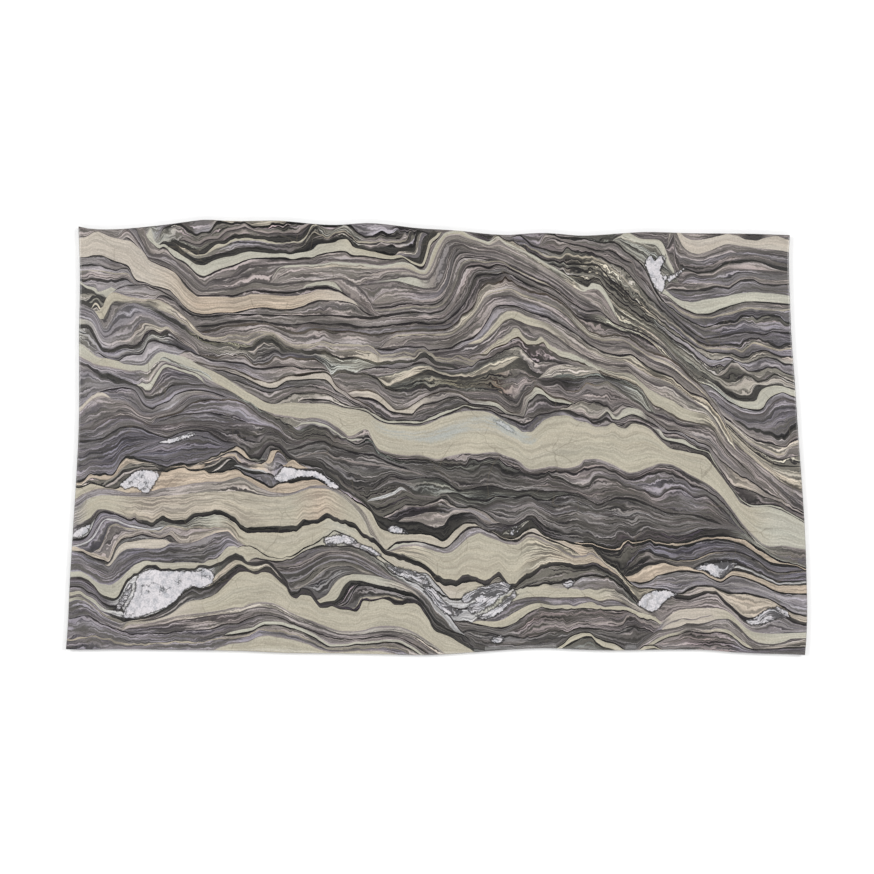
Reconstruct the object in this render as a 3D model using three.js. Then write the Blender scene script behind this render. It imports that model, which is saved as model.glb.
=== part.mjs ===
// A slab of banded quartzite, as it leaves the gang saw and the polishing line.
// It is one piece of stone, so it is one solid. It lies on its sawn back with the polished face up.
// Units are millimetres, +Z up. X runs along the slab's length and Y across it. The origin is at
// the middle of the footprint, on the back.
//
// Seen from above, the four sides are long shallow waves, where the saw and the block's own skin
// left them. Seen from the side, each edge is rough: it was broken and trimmed, not polished, so it
// steps in and out through the thickness. A small arris takes the sharpness off the polished face.
import * as THREE from "three";

// Driving dimensions.
const THICKNESS = 30;
const ARRIS = 1.5; // bevel between the polished face and the edge
const POINT_SPACING = 40; // along the outline
const EDGE_RELIEF = 3.5; // the most that the rough edge steps back from the outline
const BACK_CHIPPING = 5; // the most that the back's rim is chipped in, where the saw broke out
const ROUGHNESS_SEED = 7;

// The four sides of the polished face, as points that a smooth curve runs through. They are listed
// anticlockwise from the lower left corner, and each side starts where the one before it ended.
const LOWER_SIDE = [
  [-1526, -873], [-1480, -875], [-1300, -873], [-1050, -876], [-800, -880], [-620, -888],
  [-400, -890], [-150, -895], [-40, -897], [80, -891], [200, -882], [330, -873], [455, -868],
  [560, -873], [720, -878], [860, -876], [1010, -874], [1120, -876], [1210, -884], [1320, -890],
  [1440, -893], [1521, -897],
];
const RIGHT_SIDE = [
  [1521, -897], [1526, -840], [1529, -770], [1530, -690], [1527, -560], [1522, -410],
  [1509, -200], [1494, 0], [1481, 200], [1466, 400], [1459, 560], [1454, 740], [1458, 834],
];
const UPPER_SIDE = [
  [1458, 834], [1350, 838], [1200, 841], [1050, 842], [870, 847], [770, 842], [680, 835],
  [590, 832], [500, 840], [430, 843], [370, 840], [300, 835], [200, 840], [100, 852], [20, 857],
  [-80, 863], [-160, 873], [-240, 882], [-300, 884], [-360, 879], [-420, 876], [-500, 880],
  [-580, 888], [-660, 894], [-800, 892], [-880, 894], [-950, 898], [-1020, 890], [-1100, 879],
  [-1200, 868], [-1300, 859], [-1390, 858], [-1440, 862], [-1474, 870],
];
const LEFT_SIDE = [
  [-1474, 870], [-1469, 740], [-1468, 600], [-1472, 400], [-1470, 200], [-1474, 0],
  [-1485, -200], [-1498, -400], [-1510, -600], [-1519, -800], [-1526, -873],
];

// A repeatable random number from 0 to 1 for a whole number.
function random(n) {
  const s = Math.sin((n + ROUGHNESS_SEED) * 127.1) * 43758.5453;
  return s - Math.floor(s);
}

// Smooth noise from 0 to 1 along the closed outline, for a place from 0 to 1 round it. Each count
// of knots gives its own pattern, and layer picks another one.
function noiseRound(place, knots, layer) {
  const at = place * knots;
  const first = Math.floor(at) % knots;
  const share = at - Math.floor(at);
  const ease = share * share * (3 - 2 * share);
  const value = (k) => random(layer * 1000 + (k % knots));
  return value(first) * (1 - ease) + value(first + 1) * ease;
}

// Evenly spaced points along a smooth curve through one side, without its last point, which is the
// next side's first.
function sidePoints(points) {
  const curve = new THREE.CatmullRomCurve3(
    points.map(([x, y]) => new THREE.Vector3(x, y, 0)),
    false,
    "centripetal",
  );
  const steps = Math.round(curve.getLength() / POINT_SPACING);
  return curve.getSpacedPoints(steps).slice(0, -1);
}

// The outline of the polished face, centred on its own box.
function slabOutline() {
  const points = [LOWER_SIDE, RIGHT_SIDE, UPPER_SIDE, LEFT_SIDE].flatMap(sidePoints);
  const box = new THREE.Box3().setFromPoints(points);
  const middle = box.getCenter(new THREE.Vector3());
  return points.map((p) => new THREE.Vector2(p.x - middle.x, p.y - middle.y));
}

// The direction that points out of the outline at each of its points.
function outwardNormals(outline) {
  const count = outline.length;
  return outline.map((_, i) => {
    const before = outline[(i + count - 1) % count];
    const after = outline[(i + 1) % count];
    return new THREE.Vector2(after.y - before.y, before.x - after.x).normalize();
  });
}

// How far a ring of the edge stands in from the outline, at a place from 0 to 1 round it.
const EDGE_RINGS = [
  { height: 0, inset: (place) => EDGE_RELIEF * 0.4 + BACK_CHIPPING * noiseRound(place, 90, 1) ** 2 },
  { height: 5, inset: (place) => EDGE_RELIEF * noiseRound(place, 110, 2) },
  { height: 14, inset: (place) => EDGE_RELIEF * noiseRound(place, 80, 3) },
  { height: 22, inset: (place) => EDGE_RELIEF * 0.6 * noiseRound(place, 120, 4) },
  { height: THICKNESS - ARRIS, inset: () => 0 },
  { height: THICKNESS, inset: () => ARRIS },
];

// The closed solid: a ring of points at each height, walls between the rings, and a flat cap on
// the back and on the polished face.
function slabGeometry() {
  const outline = slabOutline();
  const outward = outwardNormals(outline);
  const count = outline.length;
  const positions = [];
  for (const ring of EDGE_RINGS)
    outline.forEach((p, i) => {
      const inset = ring.inset(i / count);
      positions.push(p.x - outward[i].x * inset, p.y - outward[i].y * inset, ring.height);
    });

  const faces = [];
  for (let ring = 0; ring < EDGE_RINGS.length - 1; ring++)
    for (let i = 0; i < count; i++) {
      const low = ring * count + i;
      const lowNext = ring * count + ((i + 1) % count);
      faces.push(low, lowNext, lowNext + count);
      faces.push(low, lowNext + count, low + count);
    }
  const ringPoints = (ring) =>
    outline.map((_, i) => {
      const start = 3 * (ring * count + i);
      return new THREE.Vector2(positions[start], positions[start + 1]);
    });
  const top = EDGE_RINGS.length - 1;
  for (const [a, b, c] of THREE.ShapeUtils.triangulateShape(ringPoints(0), []))
    faces.push(a, c, b);
  for (const [a, b, c] of THREE.ShapeUtils.triangulateShape(ringPoints(top), []))
    faces.push(top * count + a, top * count + b, top * count + c);

  const geometry = new THREE.BufferGeometry();
  geometry.setAttribute("position", new THREE.Float32BufferAttribute(positions, 3));
  geometry.setIndex(faces);
  geometry.computeVertexNormals();
  return geometry;
}

const quartzite = new THREE.MeshStandardMaterial({
  color: new THREE.Color(0.42, 0.4, 0.38),
  roughness: 0.25,
  metalness: 0,
});

const slab = new THREE.Mesh(slabGeometry(), quartzite);
slab.name = "slab";

const stone = new THREE.Group();
stone.add(slab);

export default stone;
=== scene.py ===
import math

import bpy
import numpy as np
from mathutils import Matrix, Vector


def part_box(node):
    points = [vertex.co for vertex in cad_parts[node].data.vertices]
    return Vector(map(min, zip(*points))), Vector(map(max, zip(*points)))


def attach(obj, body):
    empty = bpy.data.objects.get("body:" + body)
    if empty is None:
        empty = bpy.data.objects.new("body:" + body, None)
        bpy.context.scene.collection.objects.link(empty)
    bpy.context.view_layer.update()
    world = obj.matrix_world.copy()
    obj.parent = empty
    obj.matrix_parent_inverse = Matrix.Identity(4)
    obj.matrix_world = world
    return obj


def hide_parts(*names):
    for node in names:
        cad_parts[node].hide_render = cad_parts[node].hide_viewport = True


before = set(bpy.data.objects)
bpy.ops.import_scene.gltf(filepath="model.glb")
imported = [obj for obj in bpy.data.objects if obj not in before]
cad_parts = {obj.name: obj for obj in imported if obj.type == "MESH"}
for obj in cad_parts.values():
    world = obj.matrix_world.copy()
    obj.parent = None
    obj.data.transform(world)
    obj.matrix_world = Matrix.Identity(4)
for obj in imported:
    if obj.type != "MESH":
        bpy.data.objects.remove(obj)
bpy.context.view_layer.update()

# -------------------------------------------------- sizes, in centimetres unless named otherwise
CM = 100.0             # centimetres in a metre
THICK = 3.0            # the slab's thickness
ARRIS = 0.15           # width and height of the softened edge round the polished face
CENTRE = (0.2, 0.05)   # where the slab's centre lies in the band table's coordinates
HALF_SPAN = 152        # the bands are laid out this far to either side
PLACES = 1400          # places along that span where every band's height is worked out
COLUMNS = 480          # columns of the polished face's mesh
SETTLE_ROUNDS = 4      # rounds in which the leaning columns and the horizons settle against each other
ROW_HEIGHT = 3.2       # a strip of rock thicker than this is cut into several rows of the mesh
MOST_ROWS = 12         # the most rows that one strip is cut into
MERGE = 0.12           # horizons closer together than this meet in one vertex
CALM_FOLD = 0.14       # how far every horizon wanders
OPEN_END = 146.0       # a band that reaches this far sideways runs off the slab's edge
TAPER = 1.5            # a band that ends inside the slab thins out over at least this length
LONGEST_TAPER = 9.0    # and a thick one over at most this much more
FADE_OUTSIDE = 0.35    # the share of that length which lies beyond the band's last point
BAND_SHIFT = 11.3      # each band's place in the strata is this far from its neighbour's
LATTICE = 128          # random values along each side of a noise lattice
PATCH_REACH = 9.0      # how far outside a patch its distance is still worked out
EDGE_HEIGHTS = (2.85, 2.6, 2.2, 1.75, 1.3, 0.85, 0.4, 0.0)  # heights of the rings down the broken edge

# -------------------------------------------------- how the stone's colours are made
POLISH_SHEEN = 0.013   # what the polish reflects of the room, taken off the stone's own colour
STONE_DEPTH = 0.885    # the stone's own colour is this share of what it shows under these lights
DARKEST = 0.004        # no rock is darker than this, as a linear value
DARK_LINE = 0.55       # how much darker a thin dark line is than a band of the same rock
DARK_BELOW = 0.2       # a line counts as dark below this linear value
LINE_MAKE = 0.4        # a thin line has this share of its rock's stripes and crumpling
BACK_COLOUR = (128, 123, 120)
BACK_MAKE = (0.3, 0.2, 0.2, 0.3)  # stripes, dark lines, pale lines and crumpling of the sawn back

# -------------------------------------------------- the baked map, whose width and height are 1
MAP_MARGIN = 0.005
MAP_WIDTH = 0.99
FACE_FROM = 0.205      # the polished face fills the map from here up
FACE_HEIGHT = 0.79
BACK_HEIGHT = 0.09     # the back lies flattened along the map's lower side
EDGE_TOP = 0.195       # the broken edge lies between them, in rows
EDGE_ROW = 0.024       # from one row to the next
EDGE_HEIGHT = 0.018    # height of a row

# -------------------------------------------------- kinds of rock
# The colour it shows on screen, how strongly it is striped, how many dark lines and how many pale
# lines it has, and how crumpled it is.
ROCKS = {
    "cream": ((198, 191, 173), 0.04, 0.08, 0.08, 0.15),
    "palecream": ((202, 199, 185), 0.04, 0.08, 0.08, 0.15),
    "warmcream": ((211, 201, 188), 0.04, 0.10, 0.08, 0.15),
    "peach": ((207, 190, 171), 0.10, 0.18, 0.10, 0.20),
    "pinkcream": ((194, 182, 168), 0.16, 0.22, 0.20, 0.20),
    "tan": ((175, 166, 151), 0.36, 0.35, 0.30, 0.3),
    "greycream": ((163, 155, 148), 0.40, 0.40, 0.40, 0.3),
    "pinkgrey": ((163, 153, 150), 0.26, 0.50, 0.25, 0.30),
    "mauve": ((154, 145, 144), 0.28, 0.60, 0.18, 0.25),
    "darkmauve": ((123, 115, 115), 0.38, 0.65, 0.14, 0.30),
    "brownmauve": ((110, 101, 102), 0.60, 0.60, 0.14, 0.40),
    "deep": ((111, 107, 107), 0.42, 0.65, 0.12, 0.35),
    "slate": ((112, 112, 107), 0.42, 0.80, 0.08, 0.35),
    "deepblue": ((107, 103, 112), 0.33, 0.60, 0.12, 0.35),
    "bluegrey": ((140, 134, 142), 0.24, 0.70, 0.18, 0.30),
    "lilac": ((163, 157, 162), 0.22, 0.45, 0.18, 0.25),
    "greygreen": ((124, 123, 117), 0.60, 0.60, 0.30, 0.40),
    "palegreen": ((156, 157, 150), 0.45, 0.40, 0.40, 0.4),
    "darkgreen": ((74, 76, 73), 0.80, 0.80, 0.25, 0.70),
    "olive": ((116, 111, 101), 0.90, 0.90, 0.40, 0.80),
    "darkolive": ((70, 68, 60), 0.90, 0.85, 0.25, 0.90),
    "dark": ((44, 41, 44), 0.80, 0.75, 0.10, 0.50),
    "black": ((23, 22, 25), 0.85, 0.60, 0.08, 0.45),
    "banded": ((92, 85, 88), 0.90, 1.00, 0.40, 0.40),
    "nightbands": ((54, 50, 52), 0.90, 0.90, 0.28, 0.50),
    "tangle": ((106, 101, 98), 0.90, 1.00, 0.60, 1.00),
    "brown": ((70, 58, 50), 0.80, 0.80, 0.40, 0.6),
    "quartz": ((207, 205, 209), 0.08, 0.10, 0.05, 0.3),
    "white": ((208, 206, 206), 0.15, 0.25, 0.10, 0.4),
}


def band(rock, points, along=None, edge=None, crinkle=None):
    """One band of rock, in centimetres of slab.

    points: its upper edge. along: the rocks it changes through. edge: rock and width of the thin line on
    top. crinkle: how folded it is along x.
    """
    return {"rock": rock, "points": points, "along": along, "edge": edge, "crinkle": crinkle or []}


# -------------------------------------------------- the bands, from the top of the slab down
# A later band lies under the earlier ones, and each reaches down to the next one's upper edge.
BANDS = [
    # ---------- the upper right block
    band("mauve",
         along=[(-150, "mauve"), (-120, "mauve"), (-117, "palegreen"), (-112, "bluegrey"),
             (-106, "nightbands"), (-102, "nightbands"), (-99, "lilac"), (-94, "lilac"), (-88, "tan"),
             (-70, "tan"), (-60, "dark"), (-51, "dark"), (-47, "palecream"), (-40, "dark"),
             (-34, "lilac"), (-19, "lilac"), (-15, "dark"), (-2, "deep"), (2, "mauve"), (18, "dark"),
             (22, "dark"), (26, "mauve"), (36, "bluegrey"), (50, "mauve"), (60, "darkgreen"),
             (73, "darkgreen"), (76, "mauve"), (98, "mauve"), (103, "mauve"), (106, "pinkgrey"),
             (117, "dark"), (121, "mauve"), (128, "dark"), (134, "dark"), (138, "mauve"), (150, "dark")],
         points=[(-160, 120), (160, 120)]),
    band("warmcream",
         points=[(99.5, 96), (100.6, 88), (101.5, 84.6), (103.5, 82.6), (106, 81.3), (110, 81.5),
             (115, 82.8), (120, 83.6), (124, 83.2), (128, 81.6), (132, 81.2), (136, 82.4), (140, 83),
             (143, 82), (148, 80.4)]),
    band("mauve",
         points=[(98.7, 96), (99.6, 88), (100.4, 84), (101.3, 80.5), (102.8, 78), (105, 76.3),
             (108, 75.6), (112, 76.6), (116, 78.4), (120, 79.6), (126, 79), (132, 78.1), (138, 77.6),
             (143, 76.8), (148, 75.6)]),
    band("bluegrey",
         points=[(101.5, 75.4), (104, 73.4), (108, 72.6), (113, 73.6), (117, 75), (122, 76.2),
             (130, 76.4), (135, 75.4), (140, 74.8), (148, 73.8)]),
    band("darkmauve",
         points=[(101, 74.2), (103, 71.7), (108, 70.6), (113, 71.4), (117, 73.2), (122, 74.8),
             (130, 75.2), (135, 74.2), (140, 72.5), (148, 70.8)]),
    band("mauve", edge=("black", 0.9),
         points=[(98.2, 96), (98.3, 84), (98.7, 80), (99.9, 76), (100.3, 72.6), (101.5, 70.4),
             (104, 69.4), (108, 68.3), (113, 68.8), (116, 70.3), (119, 72.2), (124, 73), (130, 73.4),
             (134, 72.6), (140, 70.8), (148, 69.4)]),
    band("palecream",
         points=[(78, 86), (81, 83.5), (84, 82), (86, 81.6), (90, 81.6), (93, 80.6), (94.5, 78.4),
             (95.6, 75.8), (96.4, 74)]),
    band("greygreen",
         points=[(76, 86), (79, 83), (82, 80.6), (86, 80), (89, 79.6), (91.5, 78.8), (93.5, 77),
             (95.2, 75), (96.4, 73.5)]),
    band("bluegrey", edge=("darkmauve", 0.7),
         points=[(104, 69), (110, 66.4), (114, 66.6), (117, 68.4), (122, 69.6), (130, 69.3),
             (138, 68.6), (148, 67.4)]),
    band("pinkgrey",
         points=[(95.8, 66), (99, 64), (104, 63.6), (110, 63.8), (116, 63.4), (120.5, 62.6),
             (123, 64.5), (126, 66), (130, 66.3), (134, 65.4), (140, 64.8), (148, 65)]),
    band("bluegrey", edge=("dark", 0.7),
         points=[(96, 62.2), (100, 61.4), (106, 60.8), (111, 61.8), (116, 62.5), (120.5, 61.8),
             (123, 63.4), (126, 65), (130, 65.3), (134, 63.6), (140, 63.2), (148, 63.6)]),
    band("palecream",
         points=[(93.2, 62.4), (95.2, 60.4), (98.5, 57.6), (102, 56.3), (106, 55.8), (111, 56.8),
             (118, 57.8), (125, 59.2), (131, 59.8), (138, 59.4), (148, 58)]),
    band("mauve", edge=("dark", 0.6),
         points=[(93, 61), (96, 58), (100, 54.6), (104, 52.5), (108, 51), (112, 51.2), (117, 53),
             (122, 54.6), (128, 56), (134, 56.2), (141, 55.5), (148, 55)]),
    band("bluegrey", edge=("tan", 0.6),
         points=[(96, 56.5), (100, 53.2), (104, 51), (108, 49.8), (113, 49.8), (118, 50.8), (123, 52),
             (128, 53.6), (134, 53.4), (141, 52.6), (148, 53.4)]),
    band("banded", edge=("black", 0.8), crinkle=[(60, 0.2), (118, 0.2), (126, 1), (145, 1)],
         along=[(60, "mauve"), (88, "mauve"), (97, "greygreen"), (108, "banded")],
         points=[(46, 90), (50, 83), (55, 82.6), (60, 82.2), (66, 81), (69, 80.5), (72, 81), (75, 80),
             (78, 77), (82, 74), (85, 71.5), (88, 66), (91, 60.5), (94, 56), (97, 53.6), (100, 51.3),
             (104, 48.9), (108, 46.6), (111, 45.8), (114, 46.6), (118, 47.9), (123, 48.4), (126, 49.6),
             (129, 50.4), (133, 49.8), (137, 50.2), (141, 50), (144, 48.6), (149, 47.4)]),
    band("bluegrey", crinkle=[(118, 0.2), (126, 1), (145, 1)],
         points=[(93, 56.2), (97, 52.8), (100, 50.4), (104, 47.8), (108, 45.4), (111, 44.3),
             (115, 44.7), (119, 45.8), (123, 46.3), (127, 47), (131, 47.2), (136, 46.6), (141, 47.2),
             (144, 46), (149, 45.2)]),
    band("bluegrey", edge=("dark", 0.6), along=[(50, "mauve"), (85, "mauve"), (97, "bluegrey")],
         points=[(46, 84.6), (52, 81), (56, 80), (60, 79.2), (66, 77.6), (69, 77), (71, 77.4),
             (74, 76.4), (77, 74), (79, 72.9), (81, 72), (81.8, 69), (83, 67), (85.4, 65.2), (88, 62),
             (90, 59.4), (92, 56), (96, 52), (100, 48.6), (104, 45.2), (108, 42.2), (111, 40.8),
             (115, 41.6), (120, 42.6), (126, 43.4), (131, 43.6), (135, 42.6), (139, 43.8), (149, 43.2)]),
    band("banded", edge=("dark", 0.8), crinkle=[(50, 0.6), (90, 0.3), (120, 0.4), (128, 1), (145, 1)],
         along=[(40, "bluegrey"), (50, "greygreen"), (58, "darkgreen"), (78, "tangle"), (84, "olive"),
             (100, "bluegrey"), (112, "banded")],
         points=[(33.5, 86), (36, 83), (39, 80), (43, 78.4), (48, 77), (52, 76.6), (54, 78.4),
             (56, 77.6), (60, 76.9), (64, 76.3), (68, 74.5), (71, 73), (74, 71.8), (77, 70.6), (80, 67),
             (83, 63.4), (87, 59), (91, 55), (95, 51.2), (100, 46.8), (105, 42.3), (109, 39.6),
             (112, 38.2), (116, 38.4), (121, 38.7), (125, 38.2), (127, 39.6), (130, 41.2), (133, 40.6),
             (137, 39), (141, 37.6), (144, 38.6), (150, 39.6)]),
    band("bluegrey", edge=("tan", 0.6), crinkle=[(50, 1), (90, 0.6), (100, 0.3)],
         along=[(40, "banded"), (60, "darkolive"), (70, "olive"), (90, "olive"), (98, "bluegrey")],
         points=[(36, 79.6), (41, 77.6), (46, 74.6), (52, 74.4), (54, 75.6), (60, 74.8), (65, 74.2),
             (68, 72.8), (71, 71.6), (75, 68), (79, 64), (84, 58.6), (90, 53.2), (95, 49), (100, 45.4),
             (105, 41), (109, 38.2), (112, 36.9), (117, 37), (122, 36.8), (126, 35.9), (128.5, 37.4),
             (131, 39), (134, 38.6), (138, 36.8), (142, 36.2), (145, 36.8), (150, 38)]),
    band("greycream", edge=("dark", 0.7), crinkle=[(50, 1), (90, 0.8), (100, 0.3)],
         along=[(40, "greygreen"), (56, "greygreen"), (64, "olive"), (90, "olive"), (104, "greycream")],
         points=[(34, 79.6), (40, 76.4), (46, 73), (52, 72.6), (57, 72), (62, 71.4), (66, 71.4),
             (70, 68), (75, 63), (80, 58.4), (85, 54), (90, 50.4), (95, 46.8), (100, 43), (106, 38.4),
             (110, 36.4), (114, 35.2), (117, 35.4), (121, 35.2), (125, 33.6), (128, 33.4), (131, 35.2),
             (135, 36.4), (139, 34.6), (143, 33.6), (150, 34)]),
    band("lilac", edge=("dark", 0.5), crinkle=[(60, 1), (90, 0.8), (100, 0.3)],
         along=[(30, "tan"), (50, "pinkgrey"), (58, "olive"), (90, "darkgreen"), (104, "lilac")],
         points=[(24.5, 84.6), (27, 82.8), (33, 79.8), (38, 76.8), (42, 74), (46, 71.4), (51, 70.6),
             (57, 70.4), (62, 68), (66, 67.4), (70, 64.6), (75, 60.4), (80, 56), (85, 52), (90, 48.4),
             (95, 45), (101, 41), (106, 37), (110, 34.2), (114, 32), (117, 32.4), (120, 33.6),
             (124, 31.6), (128, 30.6), (131, 31.4), (135, 33), (140, 32.4), (144, 30.4), (150, 30)]),
    band("greycream", edge=("dark", 0.6),
         crinkle=[(60, 1), (90, 0.8), (100, 0.3), (116, 0.5), (124, 1), (138, 0.6)],
         along=[(50, "darkolive"), (62, "olive"), (96, "greygreen"), (110, "tangle")],
         points=[(38, 76), (42, 73.2), (46, 70.6), (52, 68.6), (58, 66.2), (62, 65.4), (66, 65.6),
             (70, 61.8), (75, 57.4), (80, 53.4), (85, 49.6), (90, 46.4), (95, 42.8), (100, 39.4),
             (104, 36.5), (110, 31.5), (114, 29.2), (117, 30.2), (120, 28.6), (123, 30.8), (126, 29),
             (129, 27.4), (133, 28.2), (136, 29), (140, 28.8), (144, 26.4), (150, 24.4)]),
    band("black", crinkle=[(118, 0.4)],
         points=[(118.2, 28.8), (119.4, 30.2), (121, 31), (122.2, 32), (123.4, 31)]),
    band("greycream", crinkle=[(118, 0.6)],
         points=[(117, 28), (118.6, 27.8), (120, 29.2), (122, 30.6), (123.6, 30.6), (126, 28.6),
             (128, 27), (131, 26.4), (134, 25.6), (136, 27), (138, 28)]),
    band("nightbands", crinkle=[(118, 1)],
         points=[(118, 26.4), (120, 27.8), (122, 29.2), (124, 28.6), (126, 27), (128, 26), (131, 25.2),
             (133.6, 24.2), (135, 25.4), (136.4, 27.2), (138.6, 27.2)]),
    band("olive", edge=("darkolive", 0.6),
         crinkle=[(60, 1), (90, 0.8), (100, 0.3), (110, 0.5), (124, 1), (138, 0.6)],
         along=[(60, "greycream"), (80, "olive"), (112, "greygreen"), (120, "greycream")],
         points=[(58, 63.4), (62, 62.6), (66, 63), (70, 59), (75, 55), (80, 51.4), (85, 48), (90, 45),
             (95, 41.4), (100, 37.6), (105, 33.6), (110, 29.6), (114, 26.2), (117, 24.6), (120, 23.4),
             (123, 22.8), (125.6, 24), (127.4, 25.4), (130, 24.8), (133, 23.2), (136, 23.4), (138, 25),
             (140, 26.2), (143, 24.6), (147, 22.8), (151, 21.6)]),
    band("black", along=[(70, "darkolive"), (92, "darkolive"), (110, "darkgreen"), (117, "black")],
         points=[(66, 57), (70, 56), (75, 52.6), (80, 49.4), (85, 46.4), (90, 43.4), (94, 39.8),
             (97, 36.6), (101, 32.8), (105, 29.6), (109, 26.9), (114, 23.6), (116.4, 22.3), (118, 21.1),
             (120, 19.7), (123, 18.3), (126, 17.3), (128.6, 17.3), (130.4, 18.9), (131.4, 21.2),
             (133, 21.9), (136, 21.4), (138.6, 21.8), (141, 21.9), (144, 20.9), (151, 18.9)]),
    band("palecream",
         along=[(85, "olive"), (98, "deep"), (110, "olive"), (119, "palegreen"), (125, "palecream")],
         points=[(66, 55.8), (70, 55), (75, 51), (80, 48.2), (85, 45.2), (90, 42), (94, 38.4),
             (97, 35.2), (101, 31.4), (105, 28.1), (109, 25.1), (114, 22.4), (117, 20), (120, 17.3),
             (124, 15.3), (128, 14.7), (130.6, 14.8), (132.2, 15.7), (133, 18), (134.4, 19.8),
             (137, 20.8), (140, 21.4), (143, 21), (147, 19.6), (151, 18.6)]),
    band("lilac", edge=("dark", 0.5),
         points=[(110, 23), (114, 20.6), (117, 18.2), (120, 15.6), (124, 13.4), (127, 12.3),
             (130, 11.7), (133, 11.6), (135, 12.5), (136, 14.5), (138, 16.7), (141, 18.2), (143, 18.6),
             (146, 17.4), (151, 16)]),
    band("bluegrey", edge=("darkmauve", 0.7),
         points=[(112, 19.5), (114, 18.6), (117, 16.4), (120, 14), (124, 11.6), (128, 10.2), (132, 9.6),
             (135, 10.2), (137, 12.4), (140, 15.4), (143, 16.4), (146, 15.6), (151, 14.2)]),
    band("greygreen", crinkle=[(120, 0.3), (136, 1), (150, 1)],
         along=[(112, "olive"), (120, "bluegrey"), (134, "bluegrey"), (139, "bluegrey")],
         points=[(114, 17), (118, 12), (122, 9.2), (126, 7.2), (130, 5.9), (134, 5.5), (138, 6.4),
             (140, 8.4), (143, 10.2), (146, 10.6), (151, 11)]),
    band("black", crinkle=[(120, 0.8), (140, 1)],
         points=[(123, 7.6), (125, 6.6), (128, 4.8), (131, 3.6), (135, 2.6), (138, 1.9), (141, 1.2),
             (143, 1.2), (144.6, 2.6), (146, 4.4), (148.4, 6), (151, 6.4)]),
    band("mauve", crinkle=[(120, 0.3), (136, 1), (150, 1)],
         points=[(114, 15.4), (118, 10.8), (122, 8.1), (125, 5.7), (128, 3.6), (131, 2.4), (135, 1.2),
             (138, 0.2), (141, -1), (143.4, -1.2), (145, 0.4), (147, 2.6), (151, 4)]),
    band("greycream", edge=("dark", 0.5),
         points=[(114, 14), (118, 9.4), (122, 6.4), (126, 3), (130, 0.2), (134, -1.4), (138, -2.2),
             (142, -3.4), (144, -3.6), (146, -1.6), (148, -0.4), (152, 0.6)]),
    band("mauve", edge=("tan", 0.6),
         points=[(114, 12.6), (118, 8.2), (122, 5), (126, 1.4), (130, -1.6), (134, -3.8), (138, -5.4),
             (141, -6.6), (143.4, -6.4), (145, -4.6), (147, -3), (152, -2)]),
    band("olive", edge=("dark", 0.5),
         points=[(114, 11.4), (118, 7.2), (122, 3.8), (126, 0), (130, -3.4), (134, -6), (138, -7.8),
             (142, -8.8), (146, -8), (152, -7)]),
    band("tan", edge=("dark", 0.5),
         points=[(118, 6.4), (122, 2.8), (126, -1.2), (130, -4.8), (134, -7.6), (138, -10),
             (142, -11.2), (146, -11.6), (152, -12)]),
    band("mauve", edge=("darkmauve", 0.6),
         points=[(110, 13), (116, 6), (120, 0.8), (124, -3.2), (129, -7.6), (134, -11.8), (138, -14.8),
             (142, -18), (147, -20.8), (153, -23)]),
    # ---------- the dark folded bands along the upper edge
    band("banded", edge=("black", 1.0), crinkle=[(-110, 0.6), (-50, 0.8)],
         along=[(-110, "greygreen"), (-104, "banded")],
         points=[(-112, 90), (-109, 88.6), (-106, 88.2), (-104, 87), (-102.5, 85.8), (-100.5, 84.8),
             (-98.5, 84.3), (-96.5, 84.6), (-94.5, 84.3), (-93, 85.2), (-91.5, 87.6), (-90, 89),
             (-87, 88.8), (-84, 88), (-81.5, 88.8), (-79, 88.6), (-76, 87.3), (-72, 86.9), (-69, 87.2),
             (-67.5, 88.4), (-65, 88.6), (-63, 88), (-61, 89), (-58, 90.5), (-50, 91), (-42, 91),
             (-37, 88.6), (-34, 86.4), (-31, 84), (-28.6, 82.6), (-26.4, 82.6), (-25, 84), (-22, 85.6),
             (-19, 84.3), (-17.6, 85), (-16, 88.6)]),
    band("dark", edge=("pinkgrey", 1.1), crinkle=[(-110, 0.5), (-50, 0.8)],
         points=[(-105, 82.8), (-100, 81), (-97.5, 80.8), (-95, 82), (-93, 82.7), (-90, 82.6),
             (-88.5, 84.3), (-86.5, 86.2), (-83, 86.5), (-81, 87.3), (-79, 87.9), (-77.5, 86.8),
             (-74, 85.6), (-70, 84.8), (-66, 85.4), (-62, 84.8), (-58, 85.2), (-55, 87), (-52, 89)]),
    band("bluegrey", edge=("darkmauve", 0.6),
         along=[(-105, "greygreen"), (-90, "nightbands"), (-70, "banded"), (-55, "dark")],
         points=[(-105, 81.4), (-100, 79.6), (-97.5, 79.2), (-95, 80.6), (-93, 81.4), (-90, 81.6),
             (-88, 83.2), (-86, 84.8), (-83, 85.2), (-80, 86.2), (-77, 86), (-74, 84.8), (-70, 83.8),
             (-66, 84.2), (-62, 84), (-58, 84), (-54, 85.8), (-51, 88.6)]),
    band("black", crinkle=[(-110, 0.5), (-50, 0.8)],
         points=[(-108, 82), (-104, 80.1), (-100, 78), (-97.5, 77.1), (-95, 78.4), (-92, 80.5),
             (-88.5, 81.4), (-85.5, 83), (-82, 84), (-78, 84.2), (-74.5, 83.6), (-71, 82.6),
             (-67, 82.6), (-63.5, 83.6), (-60, 83), (-56, 83), (-53.4, 85.6), (-52, 88.6)]),
    band("cream", edge=("dark", 0.5), crinkle=[(-110, 0.4)],
         along=[(-109, "dark"), (-103, "tan"), (-99, "cream")],
         points=[(-109, 81), (-104, 78.6), (-101, 77), (-98.5, 75.9), (-95.5, 76.3), (-93, 78.2),
             (-90, 80.1), (-87, 80.7), (-84.5, 82.1), (-80, 82.7), (-76, 82.9), (-72, 81.7),
             (-67, 81.1), (-62, 80.8), (-58, 81.2), (-55, 82), (-53, 84), (-51.6, 87.2), (-50, 89)]),
    band("bluegrey",
         along=[(-100, "tangle"), (-80, "bluegrey"), (-58, "darkmauve"), (-51, "tangle"),
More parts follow.
